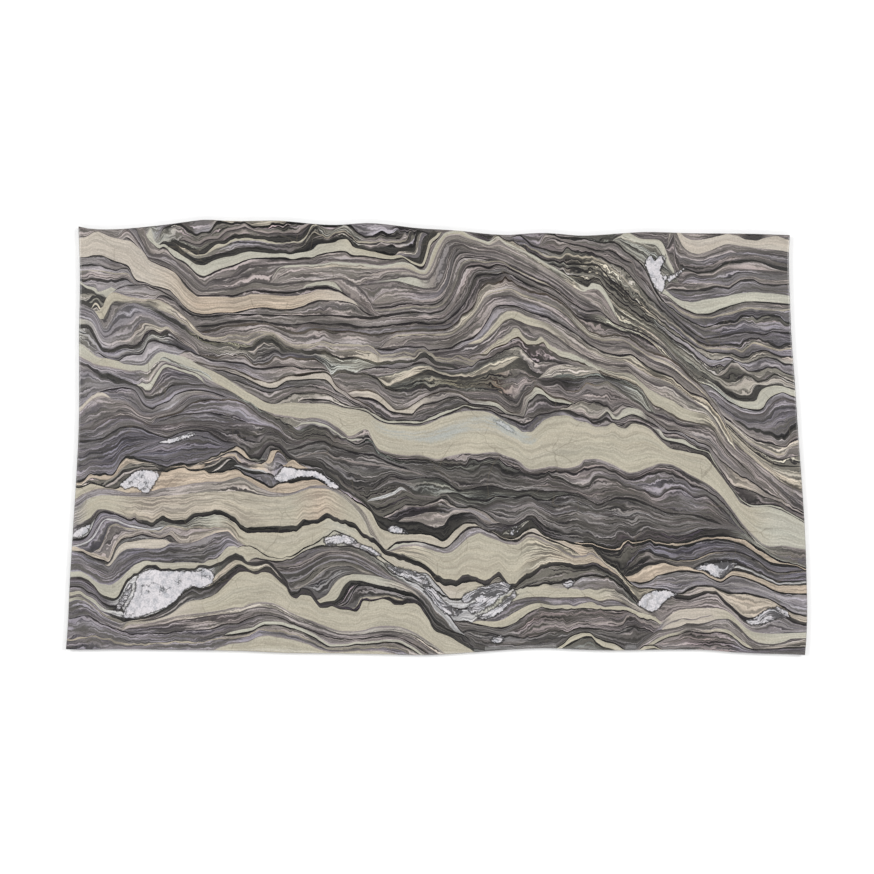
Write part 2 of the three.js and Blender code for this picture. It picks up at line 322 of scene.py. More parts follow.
             (-44, "greygreen"), (-32, "greygreen"), (-28, "pinkgrey"), (-14, "pinkgrey")],
         points=[(-109, 80), (-104, 77.3), (-101, 75.6), (-98.5, 74.9), (-95.5, 75.2), (-93, 76.6),
             (-90, 78.2), (-87, 79.2), (-84, 80.6), (-80, 81.3), (-75, 81.3), (-70, 80.3), (-66, 79.9),
             (-60, 80.2), (-56, 80.4), (-53.5, 82.3), (-52, 85.4), (-50.6, 87.2), (-48.5, 87.4),
             (-46, 86), (-43, 85), (-40, 86.6), (-37.6, 87.4), (-35, 85.6), (-32, 83.4), (-29, 81.6),
             (-25, 81.4), (-23, 82.6), (-20, 82), (-16, 81.6), (-14.4, 82.2), (-13.4, 84.6), (-13, 88)]),
    band("dark", edge=("tan", 0.5), crinkle=[(-50, 0.7)],
         points=[(-53, 81.6), (-51.4, 83.4), (-50, 84.6), (-48, 84), (-45, 82.8), (-42, 84),
             (-38, 85.2), (-34.6, 82.6), (-31, 80.6), (-28, 80.3), (-25, 80.4), (-22.6, 81.6),
             (-19, 80.8), (-15, 80.6), (-12.6, 81.4), (-11.6, 84), (-11, 88)]),
    band("banded",
         along=[(-50, "banded"), (-38, "greygreen"), (-32, "greygreen"), (-29, "pinkgrey"),
             (-14, "pinkgrey"), (-12, "banded")],
         points=[(-52, 80), (-50, 82.4), (-48, 83), (-45, 81.8), (-42, 82.8), (-38.5, 84.2),
             (-35, 81.8), (-31.4, 79.6), (-28, 79.3), (-25, 79.2), (-22.4, 80.6), (-19, 80),
             (-15.4, 79.6), (-11.8, 80.2), (-10.4, 83), (-10, 88)]),
    band("black", crinkle=[(-110, 0.3), (-50, 0.7), (-20, 1)],
         points=[(-113, 81.2), (-108, 80), (-104, 77), (-100, 74.4), (-97, 73.8), (-93, 75), (-90, 76),
             (-86, 77), (-83, 77.8), (-80, 78), (-76, 78.6), (-74, 79), (-70, 78), (-65, 77.6),
             (-61, 76.8), (-58, 77.2), (-54, 79), (-50, 81.4), (-46, 81.4), (-42, 82.2), (-38.5, 82.9),
             (-36, 82), (-34, 79.8), (-31, 78.4), (-28, 77.8), (-24, 78.2), (-21, 79), (-18.6, 79.2),
             (-16, 77.8), (-12, 78.4), (-9.8, 80), (-9, 83), (-8.6, 88)]),
    band("greycream",
         points=[(-16, 76.6), (-12, 76.6), (-9.4, 76.4), (-8.4, 78), (-8.2, 82), (-7.6, 88)]),
    band("bluegrey", edge=("darkmauve", 0.5),
         points=[(-15.6, 76.2), (-11, 75.4), (-8.6, 75.6), (-7.6, 78), (-7.2, 82), (-6.6, 88)]),
    band("black",
         points=[(-12, 74.9), (-9, 73.9), (-7.4, 74.2), (-6.4, 76), (-6, 80), (-4.6, 83), (-2, 84.6),
             (-1, 88)]),
    band("palecream", along=[(-120, "palecream"), (-55, "palecream"), (-30, "cream"), (-5, "cream")],
         points=[(-117.4, 92), (-117.2, 87.5), (-116.6, 83), (-115.8, 80.8), (-114, 79.4), (-112, 79.7),
             (-110, 78.4), (-106, 76), (-102, 73.4), (-98.5, 71.4), (-95.5, 71), (-92, 72.8),
             (-88, 74.2), (-83, 75), (-80, 76), (-76, 76.6), (-72, 76.3), (-68, 75.8), (-63, 75.9),
             (-60.5, 75.5), (-57, 76), (-54, 76.4), (-51, 77.4), (-48.5, 79.4), (-45, 80), (-42, 80.4),
             (-39.5, 81.6), (-37, 81.8), (-35.5, 80.4), (-34.5, 78.8), (-31, 77.6), (-28, 76.9),
             (-25, 76.4), (-22, 75.6), (-18, 74.8), (-15, 75.2), (-12.5, 74), (-10, 72.6), (-8, 71.8),
             (-6.4, 71.3), (-5.2, 72.4), (-4.6, 74.6), (-3.8, 77.4), (-3, 80.4), (-1.6, 82), (0, 83.4),
             (1, 86)]),
    band("mauve", edge=("dark", 0.7),
         points=[(-120.6, 92), (-119.8, 87), (-118.6, 83), (-117.2, 80.8), (-115.3, 78.6), (-114, 78),
             (-112.5, 78.7), (-111, 78.1), (-109.4, 76), (-107, 74), (-104.5, 73), (-102.5, 71.6),
             (-100, 69.1), (-97.5, 67.2), (-95.5, 66.6), (-93.5, 67.4), (-91, 68.8), (-87, 70.2),
             (-83, 71.4), (-79, 73), (-76, 73.7), (-72, 74.2), (-68, 74.3), (-63, 74.4), (-59, 73.6),
             (-55, 74.2), (-51, 74.4), (-48, 75.6), (-44, 76.4), (-39, 77), (-37, 76.6), (-34.5, 75.3),
             (-30, 75), (-26, 74.5), (-23, 74), (-18, 73.5), (-14, 74.2), (-12, 73.2), (-10, 71.8),
             (-8, 71), (-6.2, 70.4), (-5, 71), (-4, 73.4), (-3.2, 76), (-2.2, 79.4), (-1, 81),
             (0.4, 82.2), (1.4, 83.6), (2, 86)]),
    band("mauve", edge=("darkmauve", 1.0), along=[(-125, "lilac"), (-100, "mauve")],
         points=[(-124, 92), (-123, 86), (-121, 81), (-118.5, 76.6), (-116, 75.4), (-112, 75.6),
             (-109, 74), (-105, 71), (-101, 67.6), (-97.5, 64.6), (-95, 62.8), (-93.6, 64.4),
             (-91, 65.4), (-87, 65.9), (-83, 67), (-80, 69.2), (-76, 70.8), (-70, 71.5), (-65, 71.8),
             (-60, 72), (-55, 72.2), (-50, 72.3), (-47, 73.2), (-42, 73.8), (-39, 73.4), (-33, 73.4),
             (-28, 72.6), (-25, 72), (-20, 72.6), (-16, 72.9)]),
    band("cream", edge=("palecream", 0.6),
         along=[(-60, "pinkgrey"), (-45, "tan"), (-20, "warmcream"), (-8, "cream"), (19, "cream"),
             (26, "greycream"), (36, "greycream"), (44, "tan"), (50, "greygreen"), (57, "tan"),
             (62, "palecream")],
         points=[(-66, 70.6), (-62, 70.8), (-55, 71.1), (-48, 71.4), (-42, 72.4), (-37, 72.1),
             (-30, 71.6), (-24, 70.9), (-19, 71.4), (-14, 72.2), (-10, 71.2), (-8, 69.8), (-6.4, 68.9),
             (-4.8, 68.9), (-3.6, 70.4), (-2.4, 73.6), (-1.2, 77), (0.4, 80.4), (2, 82.4), (3.6, 84.2),
             (6, 85), (9, 85.4), (11.5, 84.6), (14, 83.2), (17, 82), (20, 81), (21.5, 80.6),
             (23.5, 81.6), (25.5, 82.8), (28, 81), (31, 79.4), (36, 77), (41, 74.6), (46, 71.4),
             (50, 69.2), (55, 66.2), (60, 62.6), (62.5, 61.8), (64, 63.6), (67, 63), (72, 58)]),
    band("pinkgrey",
         points=[(-64, 69.9), (-50, 69.8), (-42, 70.4), (-35, 70), (-28, 69.6), (-20, 69.8), (-14, 70),
             (-10.5, 69.2), (-8, 68.1), (-6, 67.4), (-4.4, 67.4), (-3, 68.8), (-1.4, 72), (0.4, 76.4),
             (2.4, 80.6), (4, 82.8), (6.4, 83.8), (9, 83.8), (11.5, 83), (14, 81.8), (17, 81),
             (20, 79.8), (22, 79.2), (24, 80.2), (26, 81), (29, 79), (33, 76.8), (38, 74.2), (43, 71.2),
             (48, 68), (53, 64.6), (58, 61.2), (61, 60), (63, 61), (66, 61), (72, 57)]),
    band("mauve", edge=("greycream", 0.5),
         points=[(-22, 67.4), (-12, 68), (-8, 67), (-5.6, 66.5), (-3.6, 66.7), (-1.6, 69), (0, 73),
             (1.8, 77.4), (3.6, 80.6), (5.4, 82.2), (8, 82.4), (11, 81.4), (14, 80.4), (18, 79.6),
             (21, 78), (25, 78.8), (29, 77), (35, 74.2), (42, 70.6), (48, 66.8), (54, 62.4), (60, 58.6),
             (68, 54)]),
    band("mauve", edge=("darkmauve", 0.6),
         along=[(-26, "mauve"), (-19, "palecream"), (-8, "palecream"), (-1, "pinkgrey"), (2, "lilac"),
             (8, "mauve")],
         points=[(-30, 64.8), (-22, 65.2), (-17, 65.7), (-13.5, 66.9), (-9, 66.8), (-6, 65.8),
             (-3.6, 65.6), (-1.8, 67), (0, 70), (1.6, 74), (3, 78), (4.6, 80.6), (6.6, 81.4),
             (10, 80.8), (14, 79.4), (19, 78.4), (24, 77.6), (29, 75.8), (35, 73), (42, 69.4),
             (48, 65.8), (54, 61.4), (60, 57.2), (68, 53)]),
    band("mauve", edge=("darkmauve", 0.5),
         points=[(-38, 63.4), (-34, 63.2), (-30, 62.9), (-26, 63.2), (-21, 64.2), (-16, 64.5),
             (-12, 63.6), (-8, 62.4), (-4, 61.6), (-1, 61.8), (1, 63.4), (2.8, 66.6), (4, 70.4),
             (5, 74.6), (6, 77.6), (7.8, 79.4), (10.5, 79.6), (14, 78), (18, 77), (23, 76.6), (28, 75),
             (33, 72.6), (40, 69.4), (46, 65.8), (52, 61.8), (58, 57), (66, 53)]),
    band("darkmauve",
         along=[(-20, "pinkgrey"), (3, "bluegrey"), (6, "deep"), (14, "darkmauve"), (22, "mauve")],
         points=[(-24, 59.4), (-18, 60.2), (-12, 60.6), (-5, 59.8), (0, 60), (2.4, 61.6), (4, 64.4),
             (5.2, 69), (6.2, 73.4), (7.2, 76.6), (9, 78.2), (12, 77.4), (17, 76), (22, 75.6),
             (27, 74.2), (33, 71.4), (40, 68)]),
    band("darkmauve", edge=("pinkgrey", 0.4),
         points=[(-38, 57), (-33, 56.4), (-25, 55.6), (-20, 56), (-13, 57.4), (-6, 56.6), (-1, 57.4),
             (1.8, 58.8), (3.6, 60.6), (4.9, 62.8), (6, 66.4), (7, 70.6), (8.2, 73.6), (10, 75.4),
             (13, 75.8), (17, 75.2), (22, 74.8), (27, 73.6), (33, 70.8), (38, 68.4), (46, 64.6),
             (52, 61)]),
    band("mauve", edge=("dark", 0.5),
         points=[(-50, 55.2), (-40, 54.6), (-30, 53.4), (-20, 54), (-12, 55.4), (-5, 54.8), (0, 55.6),
             (3, 57.6), (5, 60.6), (6.8, 65), (8, 69.6), (9.4, 73), (12, 74.4), (16, 74), (21, 73.4),
             (26, 73), (32, 70), (38, 67.2), (45, 64.2), (51, 60.4), (57, 55.8)]),
    band("mauve", edge=("tan", 0.4),
         points=[(-50, 54), (-40, 53.4), (-30, 52.2), (-20, 52.8), (-10, 54), (-4, 53.6), (1, 54.4),
             (4, 56.4), (6.4, 60), (8.2, 64.4), (9.4, 69), (11, 72), (14, 73.2), (20, 72.4), (26, 72.8),
             (32, 69.6), (38, 66.8), (45, 63.6), (51, 59.8)]),
    # ---------- the upper left cream band and the layers of the fold
    band("pinkgrey", edge=("darkmauve", 0.7),
         points=[(-128, 90), (-126, 85.6), (-123.5, 82), (-121, 78), (-118.6, 74.6), (-114, 73.4),
             (-110, 71.4), (-106, 68.6), (-102, 65), (-98.6, 61.6), (-96, 60.4), (-92, 61), (-86, 61.4),
             (-80, 62.6), (-74, 64.4), (-66, 63.6), (-60, 64), (-54, 64.6), (-46, 65.2), (-40, 65.8),
             (-34, 63.6), (-30, 60.4), (-27, 56.4), (-25, 52.6)]),
    band("palecream", points=[(-54, 62.8), (-50, 63.9), (-46, 64.3), (-42, 64.2), (-40.4, 63)]),
    band("mauve", edge=("greygreen", 0.6),
         points=[(-54, 61.9), (-50, 62.7), (-46, 62.9), (-43, 62.4), (-40, 61)]),
    band("darkmauve", edge=("dark", 0.8),
         points=[(-128, 83.4), (-124.5, 80.4), (-121.6, 77.2), (-119.6, 74.2), (-115, 72), (-111, 70.2),
             (-107, 67.6), (-104, 64.4), (-100.6, 60.6), (-98.4, 58.9), (-95, 58.7), (-90, 58.9),
             (-84, 58.7), (-80, 59.8), (-75, 60.9), (-70, 60.7), (-65, 60.2), (-60, 60.2), (-55, 61.1),
             (-50, 62.2), (-45, 62.3), (-41, 61), (-36, 58.4)]),
    band("warmcream",
         along=[(-148, "warmcream"), (-118, "warmcream"), (-98, "peach"), (-60, "peach"),
             (-36, "warmcream")],
         points=[(-148, 81.8), (-144, 83), (-141, 84.7), (-139.5, 85), (-137, 84), (-134, 82.6),
             (-130, 81.6), (-126, 80.8), (-123, 78.5), (-120, 75.6), (-118.5, 73.2), (-114, 71),
             (-111, 69.5), (-108, 68), (-106, 66), (-104, 63), (-100, 59.2), (-98, 58), (-90, 57.9),
             (-84, 57.6), (-80, 58), (-76, 59), (-72, 59.2), (-66, 58.6), (-60, 58.2), (-53, 59.2),
             (-48, 60.9), (-44, 60.7), (-40, 59.6), (-37, 58), (-34.6, 56.8), (-32.6, 55.2)]),
    band("bluegrey", edge=("dark", 0.5), along=[(-148, "lilac"), (-125, "mauve")],
         points=[(-148, 74.2), (-144, 74.4), (-141, 75.2), (-138, 75), (-135, 73.8), (-132, 72.8),
             (-129, 71.8), (-127, 71), (-126, 69.6), (-125, 67), (-123.4, 65), (-120, 63.9),
             (-116, 62.5), (-110, 61), (-108, 59), (-106, 57), (-104, 54.6), (-101, 52.2), (-98, 51.2),
             (-95, 50.9), (-90, 51.4), (-85, 51.4), (-80, 52.2), (-75, 53.4), (-72, 53.8), (-64, 52.9),
             (-60, 53), (-55, 54.2), (-51, 56), (-48, 56.6), (-40, 56.4), (-36, 55.8), (-33, 54.6),
             (-30, 52.4), (-27, 51), (-25, 50.4)]),
    band("lilac", edge=("dark", 0.6), crinkle=[(-148, 0.4)],
         points=[(-149, 70.6), (-145, 71.3), (-140, 71), (-136, 70), (-131, 69.6), (-127.4, 69.8),
             (-125.8, 67.6), (-124.4, 65.2)]),
    band("mauve", edge=("tan", 0.4), crinkle=[(-148, 0.4)],
         points=[(-149, 68.4), (-143, 68.8), (-137, 68.4), (-130, 67.8), (-126.8, 67.4), (-125, 65)]),
    band("lilac", edge=("dark", 0.7), crinkle=[(-148, 0.7)],
         points=[(-149, 65.4), (-145.6, 65), (-142, 65.9), (-139, 65.5), (-135, 64.6), (-132, 65),
             (-129, 65.6), (-126, 64.6)]),
    band("palecream", crinkle=[(-148, 0.8)],
         points=[(-149, 64.3), (-145, 63.6), (-142.4, 62.8), (-140.2, 61.8), (-139.2, 59.8), (-138, 60),
             (-134, 61.4), (-132, 61)]),
    band("darkolive", crinkle=[(-148, 1)],
         along=[(-148, "bluegrey"), (-145, "dark"), (-141, "black"), (-139, "greygreen")],
         points=[(-149, 63.2), (-145, 62.8), (-142.4, 61.8), (-140.6, 60.4), (-139.4, 58.8),
             (-137, 59.4)]),
    band("mauve", edge=("dark", 0.5), along=[(-135, "lilac"), (-110, "mauve"), (-97, "mauve")],
         points=[(-133, 60.2), (-130.4, 61.8), (-126, 62.9), (-120, 63.1), (-116, 61.8), (-112, 60),
             (-108, 57.4), (-104.6, 54), (-101.6, 51.6), (-98.6, 50)]),
    band("mauve", edge=("dark", 0.7),
         points=[(-114, 60), (-108, 56.6), (-104, 53.2), (-100, 50.8), (-96, 50.2), (-92, 50.4),
             (-86, 50.8), (-80, 50.8), (-74, 51.2), (-68, 50.8), (-60, 50.5), (-53, 50.5), (-44, 50.6),
             (-35, 50), (-26, 50), (-18, 51.2), (-10, 52), (-4, 51.4), (0, 52), (3, 53), (5, 55),
             (7.4, 58.6), (9, 62), (10.5, 66), (11.4, 68.6), (13, 70.6), (15, 71.1), (19, 71),
             (22, 70.4), (25, 71.6), (28, 71), (33, 68.5), (38, 66), (44, 63.4), (48, 61.6), (53, 57.8),
             (58, 54.6), (62, 52.4), (66, 52.6), (69, 51.2), (73, 47.6), (78, 45.6), (84, 43.6),
             (90, 40), (96, 35)]),
    band("darkmauve",
         along=[(-98, "mauve"), (-20, "mauve"), (0, "darkmauve"), (14, "darkmauve"), (24, "deep"),
             (50, "mauve"), (62, "dark"), (72, "olive")],
         points=[(-50, 48.8), (-30, 48), (-15, 49), (-3, 49), (2, 50), (5, 52), (8, 55), (10.6, 58.4),
             (12.4, 62), (13.6, 66), (15, 68.6), (18, 69.2), (23, 68.9), (27, 69.8), (31, 68), (37, 65),
             (43, 62.4), (48, 60), (53, 56.4), (58, 53), (62, 51), (66, 50.6), (69, 50), (73, 46.6),
             (78, 44.8), (84, 42.6), (90, 38.8), (96, 34)]),
    band("darkmauve", edge=("dark", 0.8),
         points=[(-98.6, 47), (-95.6, 46.3), (-92, 46.5), (-88, 47.4), (-84, 48), (-78, 48.4),
             (-73, 48.5), (-68, 47.6), (-62, 46.6), (-57, 46.8), (-52, 47.6), (-45, 46.8), (-38, 47.1),
             (-30, 45.8), (-22, 46.2), (-15, 47), (-8, 47.8), (-2, 47), (2, 47.4), (5, 49), (8, 51.6),
             (10.4, 54), (12.2, 56.6), (13.6, 59.6), (14.8, 63), (15.6, 65.6), (17, 67.2), (21, 67.6),
             (25, 67.4), (28, 68.4), (32, 66.8), (37, 64), (43, 61.4), (48, 59), (53, 55.4), (58, 50.6),
             (62, 48.6), (67, 48), (71, 46.4), (76, 44.2), (80, 43.4), (86, 41), (92, 36.6)]),
    band("bluegrey",
         along=[(-98, "mauve"), (-20, "bluegrey"), (0, "bluegrey"), (12, "darkmauve"),
             (18, "darkmauve"), (24, "darkmauve"), (50, "mauve")],
         points=[(-56, 45.8), (-44, 45), (-30, 44.4), (-15, 45.6), (-2, 45.8), (4, 46.4), (7, 48),
             (10, 50.8), (12.6, 53.6), (14.6, 56.8), (16, 60), (17, 63), (19.6, 65), (24, 65.6),
             (28.6, 67), (32, 64.6), (38, 61.8), (44, 59.8), (49, 57.4), (54, 53.6)]),
    band("mauve", edge=("brown", 0.8), crinkle=[(-95, 0.1), (8, 0.2), (14, 0.7), (30, 0.6), (45, 0.3)],
         along=[(-95, "mauve"), (4, "mauve"), (12, "tan"), (30, "pinkgrey"), (42, "bluegrey"),
             (62, "tan"), (80, "pinkgrey")],
         points=[(-97, 44), (-94, 44), (-91, 44.6), (-87, 45.8), (-83, 46.1), (-78, 46.9), (-74, 47.3),
             (-70, 47), (-66, 45.6), (-62, 44.1), (-58, 43.3), (-55, 43.7), (-52, 44.7), (-47, 44.9),
             (-42, 43.8), (-36, 44), (-30, 43.3), (-26, 42.6), (-22, 43), (-16, 44), (-8, 44.5),
             (0, 44.3), (4, 44.8), (7, 46.2), (9.4, 48.4), (11, 50.8), (13.4, 52.2), (15, 54.4),
             (16.4, 57), (17.4, 60), (18.6, 62.4), (21, 63.2), (25, 63.8), (27, 64.6), (28.6, 66.2),
             (29.6, 65), (31.6, 64.2), (35, 62.2), (40, 60.4), (45, 59.4), (50, 56.4), (55, 53),
             (57.5, 50.2), (60, 47.2), (62.4, 44.8), (65.6, 43.2), (70, 42.3), (75, 42.5), (78, 42),
             (82, 39.6), (86, 36.6), (90, 34.8), (95, 33.2), (99, 30.6), (103, 27), (107, 23.6),
             (110, 20.6), (113.5, 16), (116, 13), (118, 10)]),
    band("mauve", edge=("tan", 0.5),
         along=[(-20, "mauve"), (20, "mauve"), (60, "pinkgrey"), (80, "mauve"), (105, "olive")],
         points=[(-20, 42.2), (-10, 42.6), (0, 42.6), (6, 43.2), (10, 45.6), (13, 48.6), (16, 52),
             (18.6, 56.2), (21, 59), (25, 60.4), (30, 61.2), (36, 59), (44, 56.4), (50, 53.4),
             (55, 49.8), (60, 44.6), (65, 41.4), (70, 40.4), (76, 40.4), (82, 37.4), (88, 33.6),
             (95, 31), (101, 26.4), (107, 21.4), (112, 17)]),
    band("bluegrey", edge=("darkmauve", 0.5),
         along=[(-5, "mauve"), (20, "mauve"), (40, "bluegrey"), (70, "pinkgrey")],
         points=[(-12, 40.2), (-5, 40.4), (3, 40.8), (8, 42.4), (12, 44.8), (15, 47.8), (18, 52.2),
             (21, 56), (24, 58), (30, 58.6), (36, 56.8), (44, 54), (50, 50.8), (56, 46.2), (61, 41.6),
             (66, 39), (72, 37.6), (78, 37.4), (84, 34.2), (90, 31.2), (97, 28.4), (102, 24.6),
             (108, 19.8), (112.5, 15.6), (115, 12.6)]),
    band("greycream", edge=("dark", 0.7),
         along=[(-30, "bluegrey"), (0, "mauve"), (20, "bluegrey"), (33, "mauve"), (45, "mauve"),
             (84, "tan"), (110, "tan")],
         points=[(-26, 37), (-22, 36.6), (-18, 36.6), (-12, 37.6), (-8, 37.4), (-5, 37.5), (-3, 36.3),
             (0, 36.6), (3, 36.9), (6, 37.5), (9, 39), (12, 40.3), (15, 41.4), (18, 44), (20, 46.8),
             (22, 50), (24, 53.4), (27, 54.7), (31, 54.6), (35, 53.6), (38, 52), (44, 50.6), (50, 47.8),
             (55, 44.8), (60, 41.2), (65, 37.8), (70, 35.2), (76, 34.1), (80, 34.5), (84, 32), (88, 29),
             (92, 27.2), (97, 25.2), (100, 22.6), (104, 19.3), (108, 17.6), (112, 15.6), (114, 12.8),
             (117, 9.6), (120, 6)]),
    band("cream",
         along=[(15, "tan"), (26, "cream"), (40, "cream"), (60, "pinkgrey"), (110, "pinkgrey")],
         points=[(14, 39.2), (18, 40.6), (21, 43.4), (24, 47), (27, 50.4), (30, 52), (33, 51.8),
             (37, 50), (44, 47.6), (50, 44.6), (55, 41), (60, 37.4), (66, 34.2), (72, 32), (79, 31),
             (84, 28), (89, 25.4), (95, 23), (100, 19.8), (106, 15.6), (111, 12)]),
    band("mauve", edge=("darkmauve", 0.9),
         along=[(0, "mauve"), (40, "mauve"), (60, "pinkgrey"), (80, "pinkgrey"), (115, "greycream"),
             (130, "mauve")],
         points=[(-3, 34.6), (0, 35.2), (5, 36), (9, 36.4), (12, 38), (15, 38.4), (18, 39), (21, 41.2),
             (25, 44.8), (29, 48.6), (31, 49.1), (34, 48.2), (37, 46.9), (44, 44.9), (50, 41.4),
             (55, 37.6), (60, 34.6), (66, 32), (72, 30.4), (78, 30.2), (82, 27.6), (86, 24.6),
             (91, 22.6), (97, 21), (102, 17.2), (107, 14), (112, 11), (116, 6), (120, -1), (124, -5.6),
             (130, -10.6), (136, -16.6), (142, -21.6), (148, -27), (154, -31)]),
    band("cream", crinkle=[(20, 0.8), (50, 0.5), (60, 0.1)],
         along=[(20, "tan"), (30, "cream"), (45, "cream"), (60, "palecream"), (74, "tan"),
             (86, "cream"), (106, "cream"), (114, "tan"), (120, "pinkgrey")],
         points=[(19, 34.8), (22, 36.8), (24, 38.8), (26, 40.8), (28, 41.9), (30.5, 42.8), (32, 44.6),
             (34, 44.4), (36, 42), (39, 40.2), (41, 40), (43, 41.4), (45, 39.9), (48, 37.2), (52, 35.4),
             (56, 34.4), (60, 32.8), (64, 30.8), (68, 28.8), (74, 27.2), (80, 26.4), (84, 23.2),
             (88, 19.8), (92, 17.4), (97, 15.2), (102, 12), (107, 10.4), (111, 9.2), (114, 6.6),
             (118, 1), (122, -4.4), (127, -8.6), (132, -13.6), (136, -17.6), (140, -20.8)]),
    band("mauve", edge=("brown", 0.6), crinkle=[(10, 0.8), (50, 0.6), (85, 0.5), (100, 0.1)],
         along=[(15, "mauve"), (38, "brownmauve"), (47, "brownmauve"), (52, "mauve"), (60, "pinkgrey"),
             (70, "olive"), (80, "greygreen"), (92, "mauve"), (112, "mauve")],
         points=[(11, 30.4), (13, 31.8), (15, 34.2), (18, 34.2), (20.6, 34), (23, 36.2), (26, 37.6),
             (29, 38.8), (32, 40.8), (34, 41.6), (36, 40), (38, 38.2), (41, 38.2), (44, 39.2), (46, 37),
             (50, 34), (55, 32.2), (60, 31), (64, 29), (70, 26.4), (76, 24.4), (80, 23.2), (84, 20.6),
             (86.4, 17.6), (89, 14), (93, 12), (97, 10), (101, 7.6), (106, 6.4), (111, 5.2), (114, 3.4),
             (117, -1), (121, -6.4), (126, -11), (131, -16)]),
    # ---------- the sheared bands below the fold, left to right
    band("black", crinkle=[(-148, 0.5)],
         points=[(-147.6, 60), (-145.6, 61.2), (-143.6, 61.8), (-141.8, 61.2), (-140.6, 59.6)]),
    band("tangle", crinkle=[(-148, 0.5)],
         points=[(-148.6, 59), (-146, 59.4), (-143.6, 59.8), (-141.6, 59.6), (-139.8, 58.4)]),
    band("black", crinkle=[(-148, 0.5)],
         points=[(-143, 58.4), (-141.4, 58.8), (-140, 58.4), (-139, 58.6), (-137.6, 58.2), (-136, 57.6),
             (-134.6, 58), (-133, 58), (-131.4, 57.2)]),
    band("greygreen", crinkle=[(-148, 0.5)],
         points=[(-142, 57.4), (-140.4, 57.6), (-139, 57.2), (-138, 56.2), (-137, 55.4), (-135.8, 56),
             (-134.6, 56.6), (-133.2, 57.4), (-131.6, 56.8)]),
    band("black", crinkle=[(-148, 0.5)],
         points=[(-148.6, 56.4), (-146, 56.8), (-143.6, 56.2), (-142, 55.6), (-140.6, 57),
             (-139.2, 56.4), (-138.2, 54.6), (-137, 53.4), (-135.8, 54.2), (-134.6, 55.2),
             (-133.2, 56.4), (-131.8, 56.4)]),
    band("tan", crinkle=[(-148, 0.5)],
         points=[(-141, 56.2), (-139.4, 55), (-138.2, 53), (-137.2, 51.4), (-136, 52.2), (-134.6, 53.8),
             (-133, 55.4), (-131.6, 55.8)]),
    band("black", crinkle=[(-148, 0.5)],
         points=[(-140.8, 55.8), (-139.6, 54.2), (-138.4, 51.8), (-137.2, 49.8), (-136, 50.6),
             (-134.4, 52.6), (-132.8, 54.2), (-131, 55.2)]),
    band("greycream", crinkle=[(-148, 0.5)],
         points=[(-140.4, 54.4), (-139.4, 53), (-138.2, 50.4), (-137, 48.2), (-135.6, 49),
             (-134.2, 51.2), (-132.6, 53.2), (-130.8, 54.6)]),
    band("dark", crinkle=[(-148, 0.5)],
         points=[(-140, 52.8), (-139, 51.2), (-138, 49.2), (-136.8, 46.8), (-135.4, 47.6),
             (-134.2, 49.8), (-132.6, 52), (-131, 53.8), (-129.4, 54.8)]),
    band("pinkgrey", edge=("tan", 0.6), crinkle=[(-140, 0.2), (-80, 0.3), (-30, 0.4), (10, 0.5)],
         along=[(-137, "cream"), (-130, "cream"), (-122, "greycream"), (-112, "cream"),
             (-106, "greycream"), (-98, "tan"), (-88, "pinkgrey")],
         points=[(-137, 58.6), (-136, 60), (-133, 59.8), (-129, 58.6), (-125, 57.5), (-120, 57.2),
             (-115, 56.8), (-112, 55.4), (-108, 53), (-104, 49.8), (-100, 45.8), (-97.6, 43.2),
             (-95, 41.8), (-91, 41.2), (-88, 41.5), (-84, 42.5), (-80, 41.8), (-76, 42.6), (-72, 44),
             (-68, 43.4), (-65, 42), (-62, 39.6), (-58, 38.2), (-54, 38.2), (-50, 38.7), (-47, 39.6),
             (-42, 38.3), (-35, 38.3), (-28, 38.2), (-26, 37.2), (-24, 35), (-22.5, 33.7), (-19, 33.9),
             (-14, 35.1), (-10, 34.3), (-7, 36), (-3, 35.6), (0, 33.4), (6, 33), (9, 33.6), (12, 32.6),
             (15, 32), (18, 32.2)]),
    band("mauve", edge=("tan", 0.6), crinkle=[(-140, 0.2), (-80, 0.5), (-30, 0.4)],
         along=[(-130, "mauve"), (-75, "mauve"), (-48, "mauve"), (-26, "tan"), (-6, "mauve"),
             (4, "mauve")],
         points=[(-135, 58), (-133, 57.6), (-128, 56.1), (-120, 56.1), (-115, 53.9), (-110, 51.7),
             (-105, 48.3), (-101, 45.1), (-97, 42.1), (-93, 40.3), (-88, 39.8), (-84, 40.6),
             (-78, 39.4), (-75.6, 40.2), (-73, 41.6), (-70, 43), (-67, 42.6), (-64.6, 40.6),
             (-62, 38.6), (-58, 37.4), (-52, 37.3), (-48.6, 38.4), (-45, 37.6), (-40, 36.2),
             (-34, 36.2), (-28, 35.8), (-25, 34.2), (-22, 32.4), (-18, 32.6), (-13, 33.4), (-9, 32.8),
             (-6, 35), (-3, 34.8), (0, 32.4), (5, 31.6), (8, 32), (11, 31), (14, 30.4), (17, 31.2)]),
    band("darkolive", crinkle=[(-140, 0.3), (-80, 0.8), (-30, 0.5)],
         along=[(-122, "greygreen"), (-114, "black"), (-104, "black"), (-96, "darkolive"),
             (-72, "darkolive"), (-50, "black"), (-40, "darkolive"), (-6, "black")],
         points=[(-122, 54.7), (-118, 53.6), (-115, 52.2), (-112, 50.8), (-108, 48.8), (-104, 45.9),
             (-100, 43), (-96, 40.7), (-92, 39.2), (-88, 38.6), (-84, 39), (-80, 38.2), (-76, 37.4),
             (-75, 39.4), (-72, 40.6), (-69, 42), (-66.6, 41.4), (-65, 39.6), (-63, 37.8), (-60, 36.9),
             (-56, 36), (-52, 35.6), (-49, 36.1), (-46, 35.8), (-43, 34.2), (-39, 33), (-34, 33.2),
             (-29, 32.3), (-24, 30.6), (-20, 30.9), (-14, 31.6), (-10, 31.6), (-8, 32.6), (-6, 34.5),
             (-4, 34.8), (-2, 33.3), (0, 31.6), (3, 30.4), (8, 30)]),
